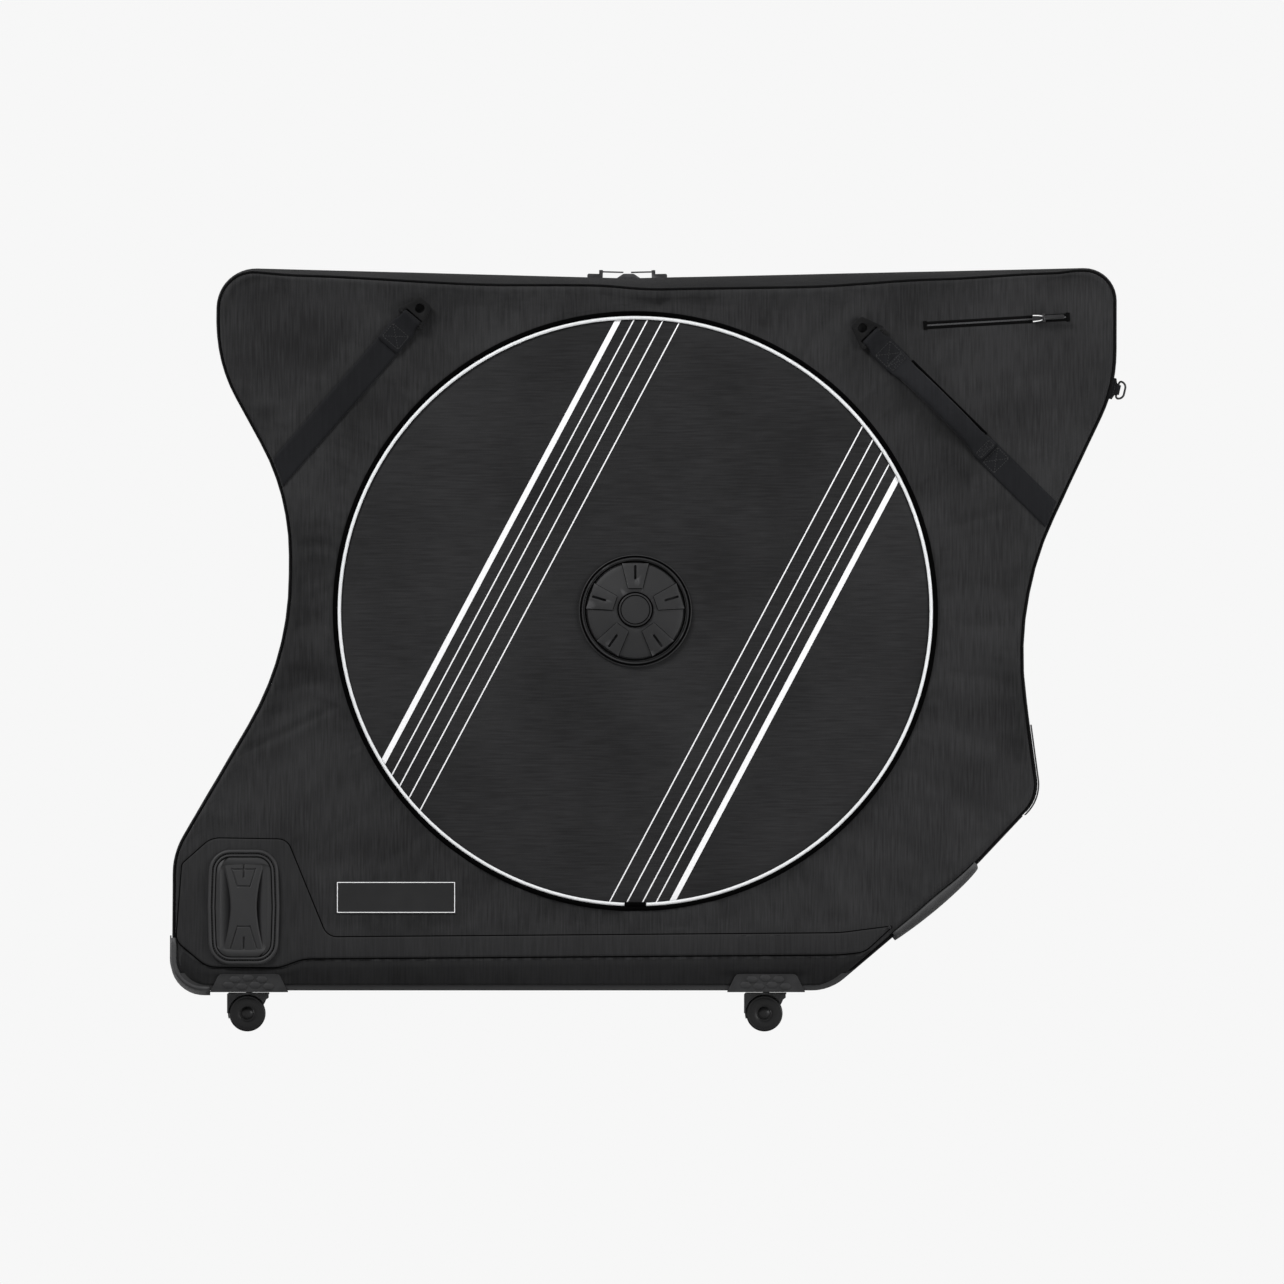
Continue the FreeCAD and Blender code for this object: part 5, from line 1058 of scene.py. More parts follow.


# The near-black cord cloth is the real black of the pocket hems and piping joint tabs, and is also laid as
# painted shade in seams, gaps and grooves.
cord_black_and_shade = cloth_look("cord_black_and_shade", scaled(SHELL_BLACK, 0.06), contrast=0.3, roughness=0.9,
                        specular=0.01, threads=7000.0, depth=0.00008)
piping_cloth = cloth_look("piping_cloth", scaled(SHELL_BLACK, 0.28), contrast=0.3, roughness=0.9,
                          specular=0.02, threads=7000.0, depth=0.00008)
for side_name, side in SIDES:
    line = [on_side(side, spot.x, max(HINGE_RISE, spot.y / math.cos(LEAN)), -EDGE_ROUND * PIPING_SINK_SHARE)
            for spot in inset_line(seam_line, -PIPING_RADIUS)]
    set_out(tube(side_name + "_edge_piping", line, PIPING_RADIUS), side_name + "_side", "shell_fabric",
            piping_cloth)

# Sill cords: a thin near-black cord round the edge of each sill band, where it meets the panel's cloth, is
# painted shade for the dark line in the seam. It is darker than the edge piping.
SILL_SHADE_CORD = 0.0008
for side_name, side in SIDES:
    line = [on_side(side, spot.x, spot.y, SILL_SHADE_CORD / 2) for spot in sill_line]
    set_out(tube(side_name + "_sill_seam_shade", line, SILL_SHADE_CORD), side_name + "_side", "shell_fabric", cord_black_and_shade)

# Label plate: a thin black plate bonded to the near panel above the sill, left bare inside a pale printed
# border line.
LABEL_CORNER = 0.0012
LABEL_RISE = 0.0010
LABEL_EASE = 0.0004
LINE_RAISE = 0.0001
LINE_INSET = 0.0012
LINE_WIDTH = 0.0008
PRINT_WHITE = (0.78, 0.78, 0.79)


def label_ring(inset, w):
    corners = rectangle(LABEL["half_length"] - inset, LABEL["half_width"] - inset,
                        max(LABEL_CORNER - inset, LABEL_EASE))
    return [on_side(-1, LABEL["u"] + spot.x, LABEL["v"] + spot.y, w) for spot in rounded(corners)]


label_black = moulded("label_black", scaled(MOULDED_BLACK, 0.55), roughness=0.5, specular=0.12,
                      grain=3200.0, depth=0.00003, wear=0.5)
print_white = moulded("print_white", PRINT_WHITE, roughness=0.6, specular=0.3, grain=3000.0,
                      depth=0.00002, wear=0.0)
label = loft("label_plate", [label_ring(0.0, -LABEL_EASE), label_ring(0.0, LABEL_RISE * 0.7),
                             label_ring(LABEL_EASE, LABEL_RISE)], sharp=True)
set_out(label, "near_side", "moulded_plastic", label_black)
line_rings = [label_ring(inset, w) for inset, w in (
    (LINE_INSET, LABEL_RISE - LINE_RAISE), (LINE_INSET, LABEL_RISE + LINE_RAISE),
    (LINE_INSET + LINE_WIDTH, LABEL_RISE + LINE_RAISE), (LINE_INSET + LINE_WIDTH, LABEL_RISE - LINE_RAISE))]
line_count = len(line_rings[0])
line_faces = ring_faces(4, line_count) + [(3 * line_count + index, 3 * line_count + (index + 1) % line_count,
                                           (index + 1) % line_count, index) for index in range(line_count)]
border = new_piece("label_border", [point for ring in line_rings for point in ring], line_faces)
tidy_normals(border)
set_out(border, "near_side", "moulded_plastic", print_white)

# Edge bands: the padded gusset of each half, which bulges up from the panel's seam to the zip. The streaks
# of its cloth run along the case.
ZIP_HALF = 0.014
GUSSET_THICKNESS = 0.0072
GUSSET_FOOT = 0.0204
TOE_TOP = 0.2030
GUSSET_STEPS = 14
SEAM_SHARE = 0.6
BAND_CREASE = 0.0009
BAND_CREASE_RATES = (16.0, 2.5)
BAND_CLEAR = 0.0004


def case_run():
    """Places of the outline that the edge band covers, from above the toe over the top to the rear foot."""
    chosen = []
    for index, point in enumerate(case_line):
        low = TOE_TOP if point.x > 0 else GUSSET_FOOT
        if point.y >= low:
            chosen.append(index)
    first = max(range(1, len(chosen)), key=lambda number: chosen[number] - chosen[number - 1])
    return chosen[first:] + chosen[:first]


gusset_run = case_run()


def seam_y(side, height):
    """Where a side's seam lies across the case at a height above its foot."""
    return side * (HALF_WIDTH - PANEL_THICKNESS * SEAM_SHARE - height * math.tan(LEAN))


def edge_band(name, side):
    along, over = BAND_CREASE_RATES
    points = []
    for index in gusset_run:
        point = case_line[index]
        way = case_ways[index]
        drop = seam_drops[index]
        start = seam_y(side, point.y)
        for step in range(GUSSET_STEPS + 1):
            part = step / GUSSET_STEPS
            y = start + (side * ZIP_HALF - start) * part
            crease = noise.noise(Vector((point.x * along, point.y * along, part * over + side)))
            slack = BAND_CREASE * crease * part * (1.0 - part) * 4.0
            inset = drop * (1.0 - part) ** 2.4 + slack + BAND_CLEAR
            spot = point - way * inset
            points.append(Vector((spot.x, y, BASE_Z + spot.y)))
    faces = ring_faces(len(gusset_run), GUSSET_STEPS + 1, closed=False)
    band = new_piece(name, points, facing(faces, side))
    pad = band.modifiers.new("padding", "SOLIDIFY")
    pad.thickness = GUSSET_THICKNESS
    pad.offset = -1.0
    return band


# The band's cloth is the shell cloth made darker, as painted shade against the light it catches at a grazing
# angle.
band_fabric_shaded = cloth_look("band_fabric_shaded", scaled(SHELL_BLACK, 0.82), contrast=0.3, roughness=0.88,
                         specular=0.04, threads=5200.0, depth=0.00010, order="YXZ")
for side_name, side in SIDES:
    band = edge_band(side_name + "_edge_band", side)
    set_out(band, side_name + "_side", "shell_fabric", band_fabric_shaded, side_name + "_gusset")

# Main zip: a woven tape on each half with moulded teeth along its inner edge. The teeth of the two halves
# lie half a pitch apart, so that they mesh.
TAPE_DEPTH = 0.0027
TAPE_THICKNESS = 0.0022
TAPE_GAP = 0.0012
TOOTH_PITCH = 0.004
TOOTH = (0.0011, 0.0016, 0.0010)


def zip_half(name, side):
    points = []
    for index in gusset_run:
        spot = case_line[index] - case_ways[index] * TAPE_DEPTH
        low = case_line[index] - case_ways[index] * (TAPE_DEPTH + TAPE_THICKNESS)
        for place, y in ((spot, ZIP_HALF), (spot, TAPE_GAP), (low, TAPE_GAP), (low, ZIP_HALF)):
            points.append(Vector((place.x, side * y, BASE_Z + place.y)))
    faces = ring_faces(len(gusset_run), 4)
    faces.append((3, 2, 1, 0))
    end = (len(gusset_run) - 1) * 4
    faces.append((end, end + 1, end + 2, end + 3))
    run = even([case_line[index] for index in gusset_run], TOOTH_PITCH, closed=False)
    for number in range(1, len(run) - 1):
        along = (run[number + 1] - run[number - 1]).normalized()
        way = Vector((along.y, -along.x))
        middle = run[number] - way * TAPE_DEPTH + along * (TOOTH_PITCH / 4 * side)
        first = len(points)
        for up in (-1, 1):
            for across in (-1, 1):
                for forth in (-1, 1):
                    spot = middle + way * (TOOTH[2] * up) + along * (TOOTH[0] * forth)
                    y = side * (TAPE_GAP + TOOTH[1] * 0.2) + side * across * TOOTH[1]
                    points.append(Vector((spot.x, y, BASE_Z + spot.y)))
        for face in ((0, 1, 3, 2), (4, 6, 7, 5), (0, 4, 5, 1), (2, 3, 7, 6), (0, 2, 6, 4), (1, 5, 7, 3)):
            faces.append(tuple(first + corner for corner in face))
    tape = new_piece(name, points, faces)
    tidy_normals(tape)
    tape.data.polygons.foreach_set("use_smooth", [False] * len(tape.data.polygons))
    return tape


zip_black = cloth_look("zip_black", scaled(SHELL_BLACK, 0.6), contrast=0.25, roughness=0.7, specular=0.14,
                       threads=4200.0, depth=0.00010, order="YXZ")
for side_name, side in SIDES:
    set_out(zip_half(side_name + "_zip", side), side_name + "_side", "zip_tape", zip_black,
            side_name + "_zip_tape")

# Hem skirts: a strip of cloth that folds over the tray's wall and is the hinge of each side. It swells a
# little between its seams and is pressed flat under the castor plates.
SKIRT_TOP = 0.046
SKIRT_FOOT = 0.0062
SKIRT_SWELL = 0.0042
SKIRT_STEPS = 16
SKIRT_COLUMNS = 220
SKIRT_THICKNESS = 0.0012
SKIRT_CREASE = 0.0006
SKIRT_CREASE_RATES = (26.0, 60.0)
SKIRT_CLEAR = 0.0006
SKIRT_END = 0.012
SKIRT_SINK = 0.0015
# Where a castor plate presses the skirt flat: from its end, in and out, and up the slope
PRESS_INSIDE = 0.012
PRESS_OUTSIDE = 0.016
PRESS_LOW = 0.016
PRESS_HIGH = 0.024
TUCK_WIDTH = 0.010


def ends_at(height):
    """The seam's rear and front at a height above the case's foot."""
    xs = []
    for first, second in zip(seam_line, seam_line[1:] + seam_line[:1]):
        if (first.y > height) != (second.y > height):
            xs.append(first.x + (second.x - first.x) * (height - first.y) / (second.y - first.y))
    return min(xs), max(xs)


def face_noise(u, v, side, rates):
    """Smooth noise over a side's face; the two sides differ."""
    return noise.noise(Vector((u * rates[0], v * rates[1], side)))


def hem_skirt(name, side):
    points = []
    for step in range(SKIRT_STEPS + 1):
        part = step / SKIRT_STEPS
        v = SKIRT_FOOT + (SKIRT_TOP - SKIRT_FOOT) * part
        rear, front = ends_at(v * math.cos(LEAN))
        for column in range(SKIRT_COLUMNS + 1):
            u = rear + (front - rear) * column / SKIRT_COLUMNS
            pressed = min(smooth(PLATE_HALF - PRESS_INSIDE, PLATE_HALF + PRESS_OUTSIDE, abs(u - x))
                          for x in CASTOR_X.values())
            under_plate = 1.0 - smooth(PRESS_LOW, PRESS_HIGH, v)
            crease = SKIRT_CREASE * face_noise(u, v, side, SKIRT_CREASE_RATES)
            bulge = math.sin(math.pi * (0.08 + 0.84 * part)) * SKIRT_SWELL + crease
            w = SKIRT_CLEAR + bulge * (1.0 - (1.0 - pressed) * under_plate)
            ends = min(smooth(0.0, SKIRT_END, u - rear), smooth(0.0, SKIRT_END, front - u))
            free = ends * sill_clear(Vector((u, v)), TUCK_WIDTH)
            points.append(on_side(side, u, v, w * free - SKIRT_SINK * (1.0 - free)))
    faces = ring_faces(SKIRT_STEPS + 1, SKIRT_COLUMNS + 1, closed=False)
    skirt = new_piece(name, points, facing(faces, side))
    ply = skirt.modifiers.new("ply", "SOLIDIFY")
    ply.thickness = SKIRT_THICKNESS
    ply.offset = -1.0
    bake(skirt)
    return skirt


def bend_at_hinge(piece, material):
    """Gives a piece its material and bakes its place into its mesh."""
    piece.data.materials.append(material)
    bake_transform(piece)


skirt_cloth = cloth_look("skirt_cloth", scaled(SHELL_BLACK, 0.6), contrast=0.34, roughness=0.82,
                         specular=0.06, threads=5200.0, depth=0.00010)
for side_name, side in SIDES:
    bend_at_hinge(hem_skirt(side_name + "_hem_skirt", side), skirt_cloth)

# Guard lips: the corner guard and the skid guard roll over each side's edge in a thick moulded lip, which
# shows outside the panel's seam. The corner's lip, like the skirt, keeps its place and takes no body.
LIP_PROUD = 0.0014
LIP_OVERLAP = 0.0014
SKID_PROUD = 0.0040
LIP_DEPTH = 0.045
LIP_POINTS = 16
LIP_POWER = 0.7
LIP_LIFT = 0.0008
REAR_WALL = -0.535


def fuller(value, power):
    """A cosine or sine drawn out, which brings a round section nearer to a box."""
    return math.copysign(abs(value) ** power, value)


def guard_lip(name, side, run, swell_out):
    """A rolled lip along places of the outline, as wide as the seam leaves it and fuller at its middle."""
    rings = []
    for number, index in enumerate(run):
        width = seam_drops[index] + LIP_OVERLAP
        proud = LIP_PROUD + swell_out * math.sin(math.pi * number / (len(run) - 1)) ** 0.8
        middle = case_line[index] + case_ways[index] * ((proud - width) / 2)
        half = (proud + width) / 2
        ring = []
        for corner in range(LIP_POINTS):
            turn = 2 * math.pi * corner / LIP_POINTS
            spot = middle + case_ways[index] * (fuller(math.cos(turn), LIP_POWER) * half)
            w = fuller(math.sin(turn), LIP_POWER) * LIP_DEPTH / 2 - LIP_DEPTH / 2
            ring.append(on_side(side, spot.x, spot.y / math.cos(LEAN), w + LIP_LIFT))
        rings.append(ring)
    return loft(name, rings)


def up_the_corner(index):
    """Orders places of the rear corner along its foot and then up the rear."""
    point = case_line[index]
    return (point.y if point.x < REAR_WALL else -1.0, -point.x)


corner_run = [index for index, point in enumerate(case_line)
              if point.y < GUARD_TOP and point.x < GUARD_FRONT]
corner_run.sort(key=up_the_corner)
skid_run = [index for index, point in enumerate(case_line)
            if SKID_FROM < point.x < SKID_TO and point.y < SKID_TOP]
for side_name, side in SIDES:
    lip = guard_lip(side_name + "_corner_lip", side, corner_run, 0.0)
    bend_at_hinge(lip, guard_plastic_lit)
    set_out(guard_lip(side_name + "_skid_lip", side, skid_run, SKID_PROUD), "base", "moulded_plastic",
            guard_plastic_lit)

# Wheel covers: a round of the same weave turned on its side, stretched over the panel's recess and edged
# with pale piping. Straight pale pinstripes are printed on it.
COVER_RADIUS = 0.341
COVER_SEAT = 0.066
COVER_CROWN = 0.0016
COVER_RIPPLE = 0.0008
COVER_RIPPLE_RATES = (5.0, 9.0)
COVER_TUCK = 0.0022
COVER_TUCK_SHARE = 0.975
COVER_RINGS = 40
COVER_SPOKES = 220
STRIPE_TURN = math.radians(28.0)
STRIPES = [(-0.176, 0.0032), (-0.160, 0.0007), (-0.146, 0.0007), (-0.130, 0.0007), (-0.112, 0.0007),
           (0.196, 0.0032), (0.180, 0.0007), (0.166, 0.0007), (0.150, 0.0007), (0.132, 0.0007)]
COVER_BLACK = (0.0142, 0.0142, 0.0148)


def wheel_cover(name, side):
    points = [on_side(side, COVER_U, COVER_V, 0.0)]
    rows = []
    for ring in range(1, COVER_RINGS + 1):
        radius = COVER_RADIUS * ring / COVER_RINGS
        first = len(points)
        for spoke in range(COVER_SPOKES):
            angle = 2 * math.pi * spoke / COVER_SPOKES
            u = COVER_U + radius * math.cos(angle)
            v = COVER_V + radius * math.sin(angle)
            open_part = max(0.0, (radius - COVER_SEAT) / (COVER_RADIUS - COVER_SEAT))
            lift = math.sin(math.pi * open_part)
            ripple = face_noise(u, v, side, COVER_RIPPLE_RATES) * COVER_RIPPLE
            edge = smooth(COVER_TUCK_SHARE, 1.0, radius / COVER_RADIUS)
            points.append(on_side(side, u, v, COVER_CROWN * lift + ripple * lift - COVER_TUCK * edge))
        rows.append(first)
    faces = [(0, rows[0] + spoke, rows[0] + (spoke + 1) % COVER_SPOKES) for spoke in range(COVER_SPOKES)]
    for low, high in zip(rows, rows[1:]):
        for spoke in range(COVER_SPOKES):
            other = (spoke + 1) % COVER_SPOKES
            faces.append((low + spoke, high + spoke, high + other, low + other))
    return new_piece(name, points, facing(faces, side))


cover_fabric = cloth_look("cover_fabric", COVER_BLACK, contrast=0.34, roughness=0.82, specular=0.10,
                          threads=5200.0, depth=0.00010, order="ZXY")
cover_tree = cover_fabric.node_tree
cover_shader = cover_tree.nodes["Principled BSDF"]
cloth_colour = cover_shader.inputs["Base Color"].links[0].from_socket
split = node(cover_tree, "ShaderNodeSeparateXYZ")
cover_tree.links.new(own_place(cover_tree), split.inputs[0])
level = maths(cover_tree, "SUBTRACT", split.outputs["Z"], BASE_Z + COVER_V * math.cos(LEAN))
slanted = maths(cover_tree, "SUBTRACT",
                maths(cover_tree, "MULTIPLY", maths(cover_tree, "SUBTRACT", split.outputs["X"], COVER_U),
                      math.cos(STRIPE_TURN)),
                maths(cover_tree, "MULTIPLY", level, math.sin(STRIPE_TURN)))
printed = None
for at, half in STRIPES:
    stripe = maths(cover_tree, "LESS_THAN",
                   maths(cover_tree, "ABSOLUTE", maths(cover_tree, "SUBTRACT", slanted, at)), half)
    printed = stripe if printed is None else maths(cover_tree, "MAXIMUM", printed, stripe)
cover_tree.links.new(blend_colours(cover_tree, cloth_colour, PRINT_WHITE, printed),
                     cover_shader.inputs["Base Color"])
for side_name, side in SIDES:
    cover = wheel_cover(side_name + "_cover_sheet", side)
    set_out(cover, side_name + "_side", "cover_fabric", cover_fabric, side_name + "_wheel_cover")

# Cover piping: a pale cord round each wheel cover, with a near-black rim strip outside it, which is both the
# cover's black edge and painted shade in the gap at the recess's edge, and a small black tab over the cord's
# joint at the bottom.
PIPING_PALE = (0.66, 0.67, 0.68)
RIM_RADIUS = 0.3484
RIM_AND_SHADE_CORD = 0.0027
TAB_HALF = 0.0125
CORD_RING = 0.3434
JOINT_RADIUS = 0.0030
RIM_SEAT = -0.0008
JOINT_SEAT = -0.001
PIPING_BEVEL = 0.0001
COVER_RIM_POINTS = 360
JOINT_STEPS = 12


def on_cover(side, radius, turn, rise):
    """A point round the cover's middle, at a height over the panel's face."""
    return on_side(side, COVER_U + radius * math.cos(turn), COVER_V + radius * math.sin(turn), rise)


def cover_ring(side, radius, rise, count):
    """Points all round the cover's middle at one radius and height."""
    return [on_cover(side, radius, 2 * math.pi * number / count, rise) for number in range(count)]


piping_pale = cloth_look("piping_pale", PIPING_PALE, contrast=0.06, roughness=0.55, specular=0.35,
                         threads=6200.0, depth=0.00010)
dress(["near_cover_piping", "far_cover_piping"], piping_pale, PIPING_BEVEL)
for side_name, side in SIDES:
    ring = cover_ring(side, RIM_RADIUS, RIM_SEAT, COVER_RIM_POINTS)
    set_out(tube(side_name + "_cover_rim_and_shade", ring, RIM_AND_SHADE_CORD), side_name + "_side", "shell_fabric", cord_black_and_shade)
    turns = [-math.pi / 2 + TAB_HALF / CORD_RING * (2 * step / JOINT_STEPS - 1)
             for step in range(JOINT_STEPS + 1)]
    joint = [on_cover(side, CORD_RING, turn, JOINT_SEAT) for turn in turns]
    set_out(tube(side_name + "_piping_joint", joint, JOINT_RADIUS, closed=False), side_name + "_side",
            "shell_fabric", cord_black_and_shade)

# Hub shields: a moulded dome with five raised tiles and a bare centre cap, which keeps the wheel's axle off
# the cover.
shield_plastic = moulded("shield_plastic", scaled(MOULDED_BLACK, 1.1), roughness=0.52, specular=0.10,
                         grain=2400.0, depth=0.00005, wear=0.8)
SHIELD_BEVEL = 0.0005
dress(["near_hub_shield", "far_hub_shield", "near_hub_cap", "far_hub_cap"], shield_plastic, SHIELD_BEVEL)
# Radius, height over the panel and thickness of the near-black rings at the shield's steps and round its cap,
# which are painted shade in its grooves
GROOVE_SHADE_RINGS = [(0.0632, 0.0029, 0.0014), (0.0577, 0.0045, 0.0012), (0.0200, 0.0122, 0.0009),
         (0.0168, 0.0131, 0.0005)]
GROOVE_SHADE_POINTS = 120
TILE_COUNT = 5
TILE_STEP = 0.002
TILE_INNER = 0.0250
TILE_OUTER = 0.0550
TILE_INNER_HALF = 0.0085
TILE_OUTER_HALF = 0.0155
TILE_SHADE_LINE = 0.0006
DOME_FOOT = 0.0046
DOME_TOP = 0.0115
DOME_EDGE = 0.0554
DOME_COLLAR = 0.0260


def dome_rise(radius):
    part = min(1.0, max(0.0, (DOME_EDGE - radius) / (DOME_EDGE - DOME_COLLAR)))
    return DOME_FOOT + (DOME_TOP - DOME_FOOT) * part


def tile_groove_shade(side, number):
    """The foot of a raised tile's two sides and inner end, where a near-black cord paints the shade of its
    groove.
    """
    aim = math.pi / 2 + 2 * math.pi * number / TILE_COUNT
    corners = [Vector((TILE_OUTER, TILE_OUTER_HALF)), Vector((TILE_INNER, TILE_INNER_HALF)),
               Vector((TILE_INNER, -TILE_INNER_HALF)), Vector((TILE_OUTER, -TILE_OUTER_HALF))]
    line = []
    for spot in even(corners, TILE_STEP, closed=False):
        radius = spot.length
        line.append(on_cover(side, radius, aim + math.atan2(spot.y, spot.x), dome_rise(radius) + TILE_SHADE_LINE))
    return line


# Each shield gets near-black cords as painted shade in its grooves: rings at its steps and round its cap, and
# outlines round its tiles.
for side_name, side in SIDES:
    lines = []
    for radius, rise, thickness in GROOVE_SHADE_RINGS:
        lines.append(tube("groove_shade_ring", cover_ring(side, radius, rise, GROOVE_SHADE_POINTS), thickness))
    for number in range(TILE_COUNT):
        lines.append(tube("tile_groove_shade", tile_groove_shade(side, number), TILE_SHADE_LINE, closed=False))
    set_out(join_pieces(side_name + "_shield_groove_shade", lines), side_name + "_side", "moulded_plastic",
            cord_black_and_shade)

# Grab handle: a moulded cup with a double rim and a stitched groove between, and an hourglass strap of soft
# rubber arched across its bowl, with a slotted wedge moulded into each end.
RIM_HALF_WIDTH = 0.0429
RIM_HALF_HEIGHT = 0.06715
RIM_BOW = 0.004
RIM_CORNER = 0.024
RIM_SIDE = 0.036
BOWL_HALF_WIDTH = 0.0276
BOWL_HALF_HEIGHT = 0.0508
BOWL_CORNER = 0.0035
RIM_POINTS = 240
# How far in from the rim's edge each ring lies and how high it stands
RIM_RINGS = [(0.0, -0.0004), (0.0, 0.0046), (0.0007, 0.0060), (0.0018, 0.0067), (0.0030, 0.0066),
             (0.0038, 0.0056), (0.0040, 0.0046), (0.0054, 0.0046), (0.0056, 0.0056), (0.0064, 0.0066),
             (0.0074, 0.0065), (0.0080, 0.0054), (0.0082, 0.0046), (0.0090, 0.0046), (0.0094, 0.0053)]
# The same for the bowl, from the bowl's own edge
BOWL_RINGS = [(0.0, 0.0050), (0.0008, 0.0044), (0.0025, 0.0036), (0.0060, 0.0026), (0.0100, 0.0014),
              (0.0130, -0.0004), (0.0160, -0.0028), (0.0200, -0.0040)]
CUP_BACK = -0.0064
HANDLE_HALF = 0.0522
HANDLE_END = 0.0242
HANDLE_WAIST = 0.0152
HANDLE_FOOT = 0.0040
HANDLE_CROWN = 0.0088
HANDLE_THICK = 0.0045
HANDLE_ROWS = 180
HANDLE_COLUMNS = 72
HANDLE_ROLL = 0.0010
HANDLE_EASE = 0.0012
WEDGE_STEP = 0.0013
# Foot and head of each wedge from the strap's end, its half widths there and its slot's length
TOP_WEDGE = (0.008, 0.028, 0.0135, 0.0073, 0.0180)
BOTTOM_WEDGE = (0.001, 0.029, 0.0160, 0.0075, 0.0170)
WEDGE_OVERRUN = 0.06
# Half widths of a groove and of the slot, at the floor and at the top
WEDGE_GROOVE = (0.0003, 0.0009)
WEDGE_SLOT = (0.0008, 0.0013)
GROOVE_LAP = 0.0004
SLOT_DEPTH_SHARE = 1.6
GROOVE_INSETS = (0.0047, 0.0086)
GROOVE_SEAT = 0.0043
GROOVE_SHADE_RADIUS = 0.0007
STITCH_SEAT = 0.0051
STITCH_LENGTH = 0.0020
STITCH_PITCH = 0.0030
STITCH_RADIUS = 0.00042
THREAD_SIDES = 6
THREAD_BLACK = (0.0150, 0.0150, 0.0156)


def spread(points, count):
    """A number of points spread evenly round a closed line."""
    length = sum((second - first).length for first, second in zip(points, points[1:] + points[:1]))
    return even(points, length / count)


def at_handle(points, w):
    return [on_side(-1, HANDLE_U + spot.x, HANDLE_V + spot.y, w) for spot in points]


def handle_cup():
    narrow = RIM_HALF_WIDTH - RIM_BOW
    edge = spread(rounded([
        (-narrow, -RIM_HALF_HEIGHT, RIM_CORNER), (narrow, -RIM_HALF_HEIGHT, RIM_CORNER),
        (RIM_HALF_WIDTH, 0.0, RIM_SIDE), (narrow, RIM_HALF_HEIGHT, RIM_CORNER),
        (-narrow, RIM_HALF_HEIGHT, RIM_CORNER), (-RIM_HALF_WIDTH, 0.0, RIM_SIDE)]), RIM_POINTS)
    rings = [at_handle(inset_line(edge, inset), w) for inset, w in RIM_RINGS]
    for inset, w in BOWL_RINGS:
        bowl = rounded(rectangle(BOWL_HALF_WIDTH - inset, BOWL_HALF_HEIGHT - inset,
                                 BOWL_CORNER + inset * 0.3))
        rings.append(at_handle(spread(bowl, RIM_POINTS), w))
    rings.append(at_handle(edge, CUP_BACK))
    return edge, loft("handle_cup_moulding", rings)


def groove(off):
    """How deep a wedge's groove is at a distance off its middle line, from 0 to 1."""
    return 1.0 - smooth(*WEDGE_GROOVE, abs(off))


def wedge(v, across):
    """How deep a wedge's grooves and slot cut into the strap at a place, as a share of a groove's depth."""
    from_end = HANDLE_HALF - abs(v)
    low, high, wide, tight, slot = TOP_WEDGE if v > 0 else BOTTOM_WEDGE
    part = (from_end - low) / (high - low)
    cut = 0.0
    if -WEDGE_OVERRUN < part < 1.0 + WEDGE_OVERRUN:
        side = wide + (tight - wide) * part
        cut = groove(abs(across) - side)
        if abs(across) < side + GROOVE_LAP:
            cut = max(cut, groove(from_end - high))
            if v > 0:
                cut = max(cut, groove(from_end - low))
    if from_end < slot:
        cut = max(cut, SLOT_DEPTH_SHARE * (1.0 - smooth(*WEDGE_SLOT, abs(across))))
    return cut


def handle_strap():
    rings = []
    for row in range(HANDLE_ROWS + 1):
        v = HANDLE_HALF * (2 * row / HANDLE_ROWS - 1)
        part = abs(v) / HANDLE_HALF
        half = HANDLE_WAIST + (HANDLE_END - HANDLE_WAIST) * part ** 1.7
        height = HANDLE_FOOT + (HANDLE_CROWN - HANDLE_FOOT) * math.cos(part * math.pi / 2) ** 0.8
        ring = []
        for column in range(HANDLE_COLUMNS + 1):
            across = half * (2 * column / HANDLE_COLUMNS - 1)
            roll = abs(across) / half
            top = height - HANDLE_ROLL * roll ** 2 - HANDLE_EASE * smooth(0.90, 1.0, roll)
            ring.append(on_side(-1, HANDLE_U + across, HANDLE_V + v, top - WEDGE_STEP * wedge(v, across)))
        for column in range(HANDLE_COLUMNS, -1, -6):
            across = half * (2 * column / HANDLE_COLUMNS - 1)
            ring.append(on_side(-1, HANDLE_U + across, HANDLE_V + v, height - HANDLE_THICK))
        rings.append(ring)
    return loft("handle_strap_moulding", rings)


def stitch_row(points, ups, closed=False):
    """Stitches along a line as closed spindles of thread; ups point out of the cloth."""
    length = sum((second - first).length for first, second in zip(points, points[1:]))
    count = max(1, round(length / STITCH_PITCH))
    places = even(points, length / count, closed)
    vertices = []
    faces = []
    for first, second in zip(places, places[1:] + places[:1] if closed else places[1:]):
        along = (second - first).normalized()
        across = along.cross(ups).normalized()
        start = len(vertices)
        middle = (first + second) / 2
        vertices.append(middle - along * (STITCH_LENGTH / 2))
        for reach in (-0.3, 0.3):
            for number in range(THREAD_SIDES):
                turn = 2 * math.pi * number / THREAD_SIDES
                vertices.append(middle + along * (STITCH_LENGTH * reach)
                                + (across * math.cos(turn) + ups * math.sin(turn)) * STITCH_RADIUS)
        vertices.append(middle + along * (STITCH_LENGTH / 2))
        low = start + 1
        high = low + THREAD_SIDES
        for number in range(THREAD_SIDES):
            other = (number + 1) % THREAD_SIDES
            faces.append((start, low + other, low + number))
            faces.append((low + number, low + other, high + other, high + number))
            faces.append((high + number, high + other, high + THREAD_SIDES))
    return vertices, faces


def stitching(name, rows):
    """One piece of thread from rows of stitches."""
    vertices = []
    faces = []
    for row_vertices, row_faces in rows:
        first = len(vertices)
        vertices += row_vertices
        faces += [tuple(first + corner for corner in face) for face in row_faces]
    piece = new_piece(name, vertices, faces)
    tidy_normals(piece)
    return piece


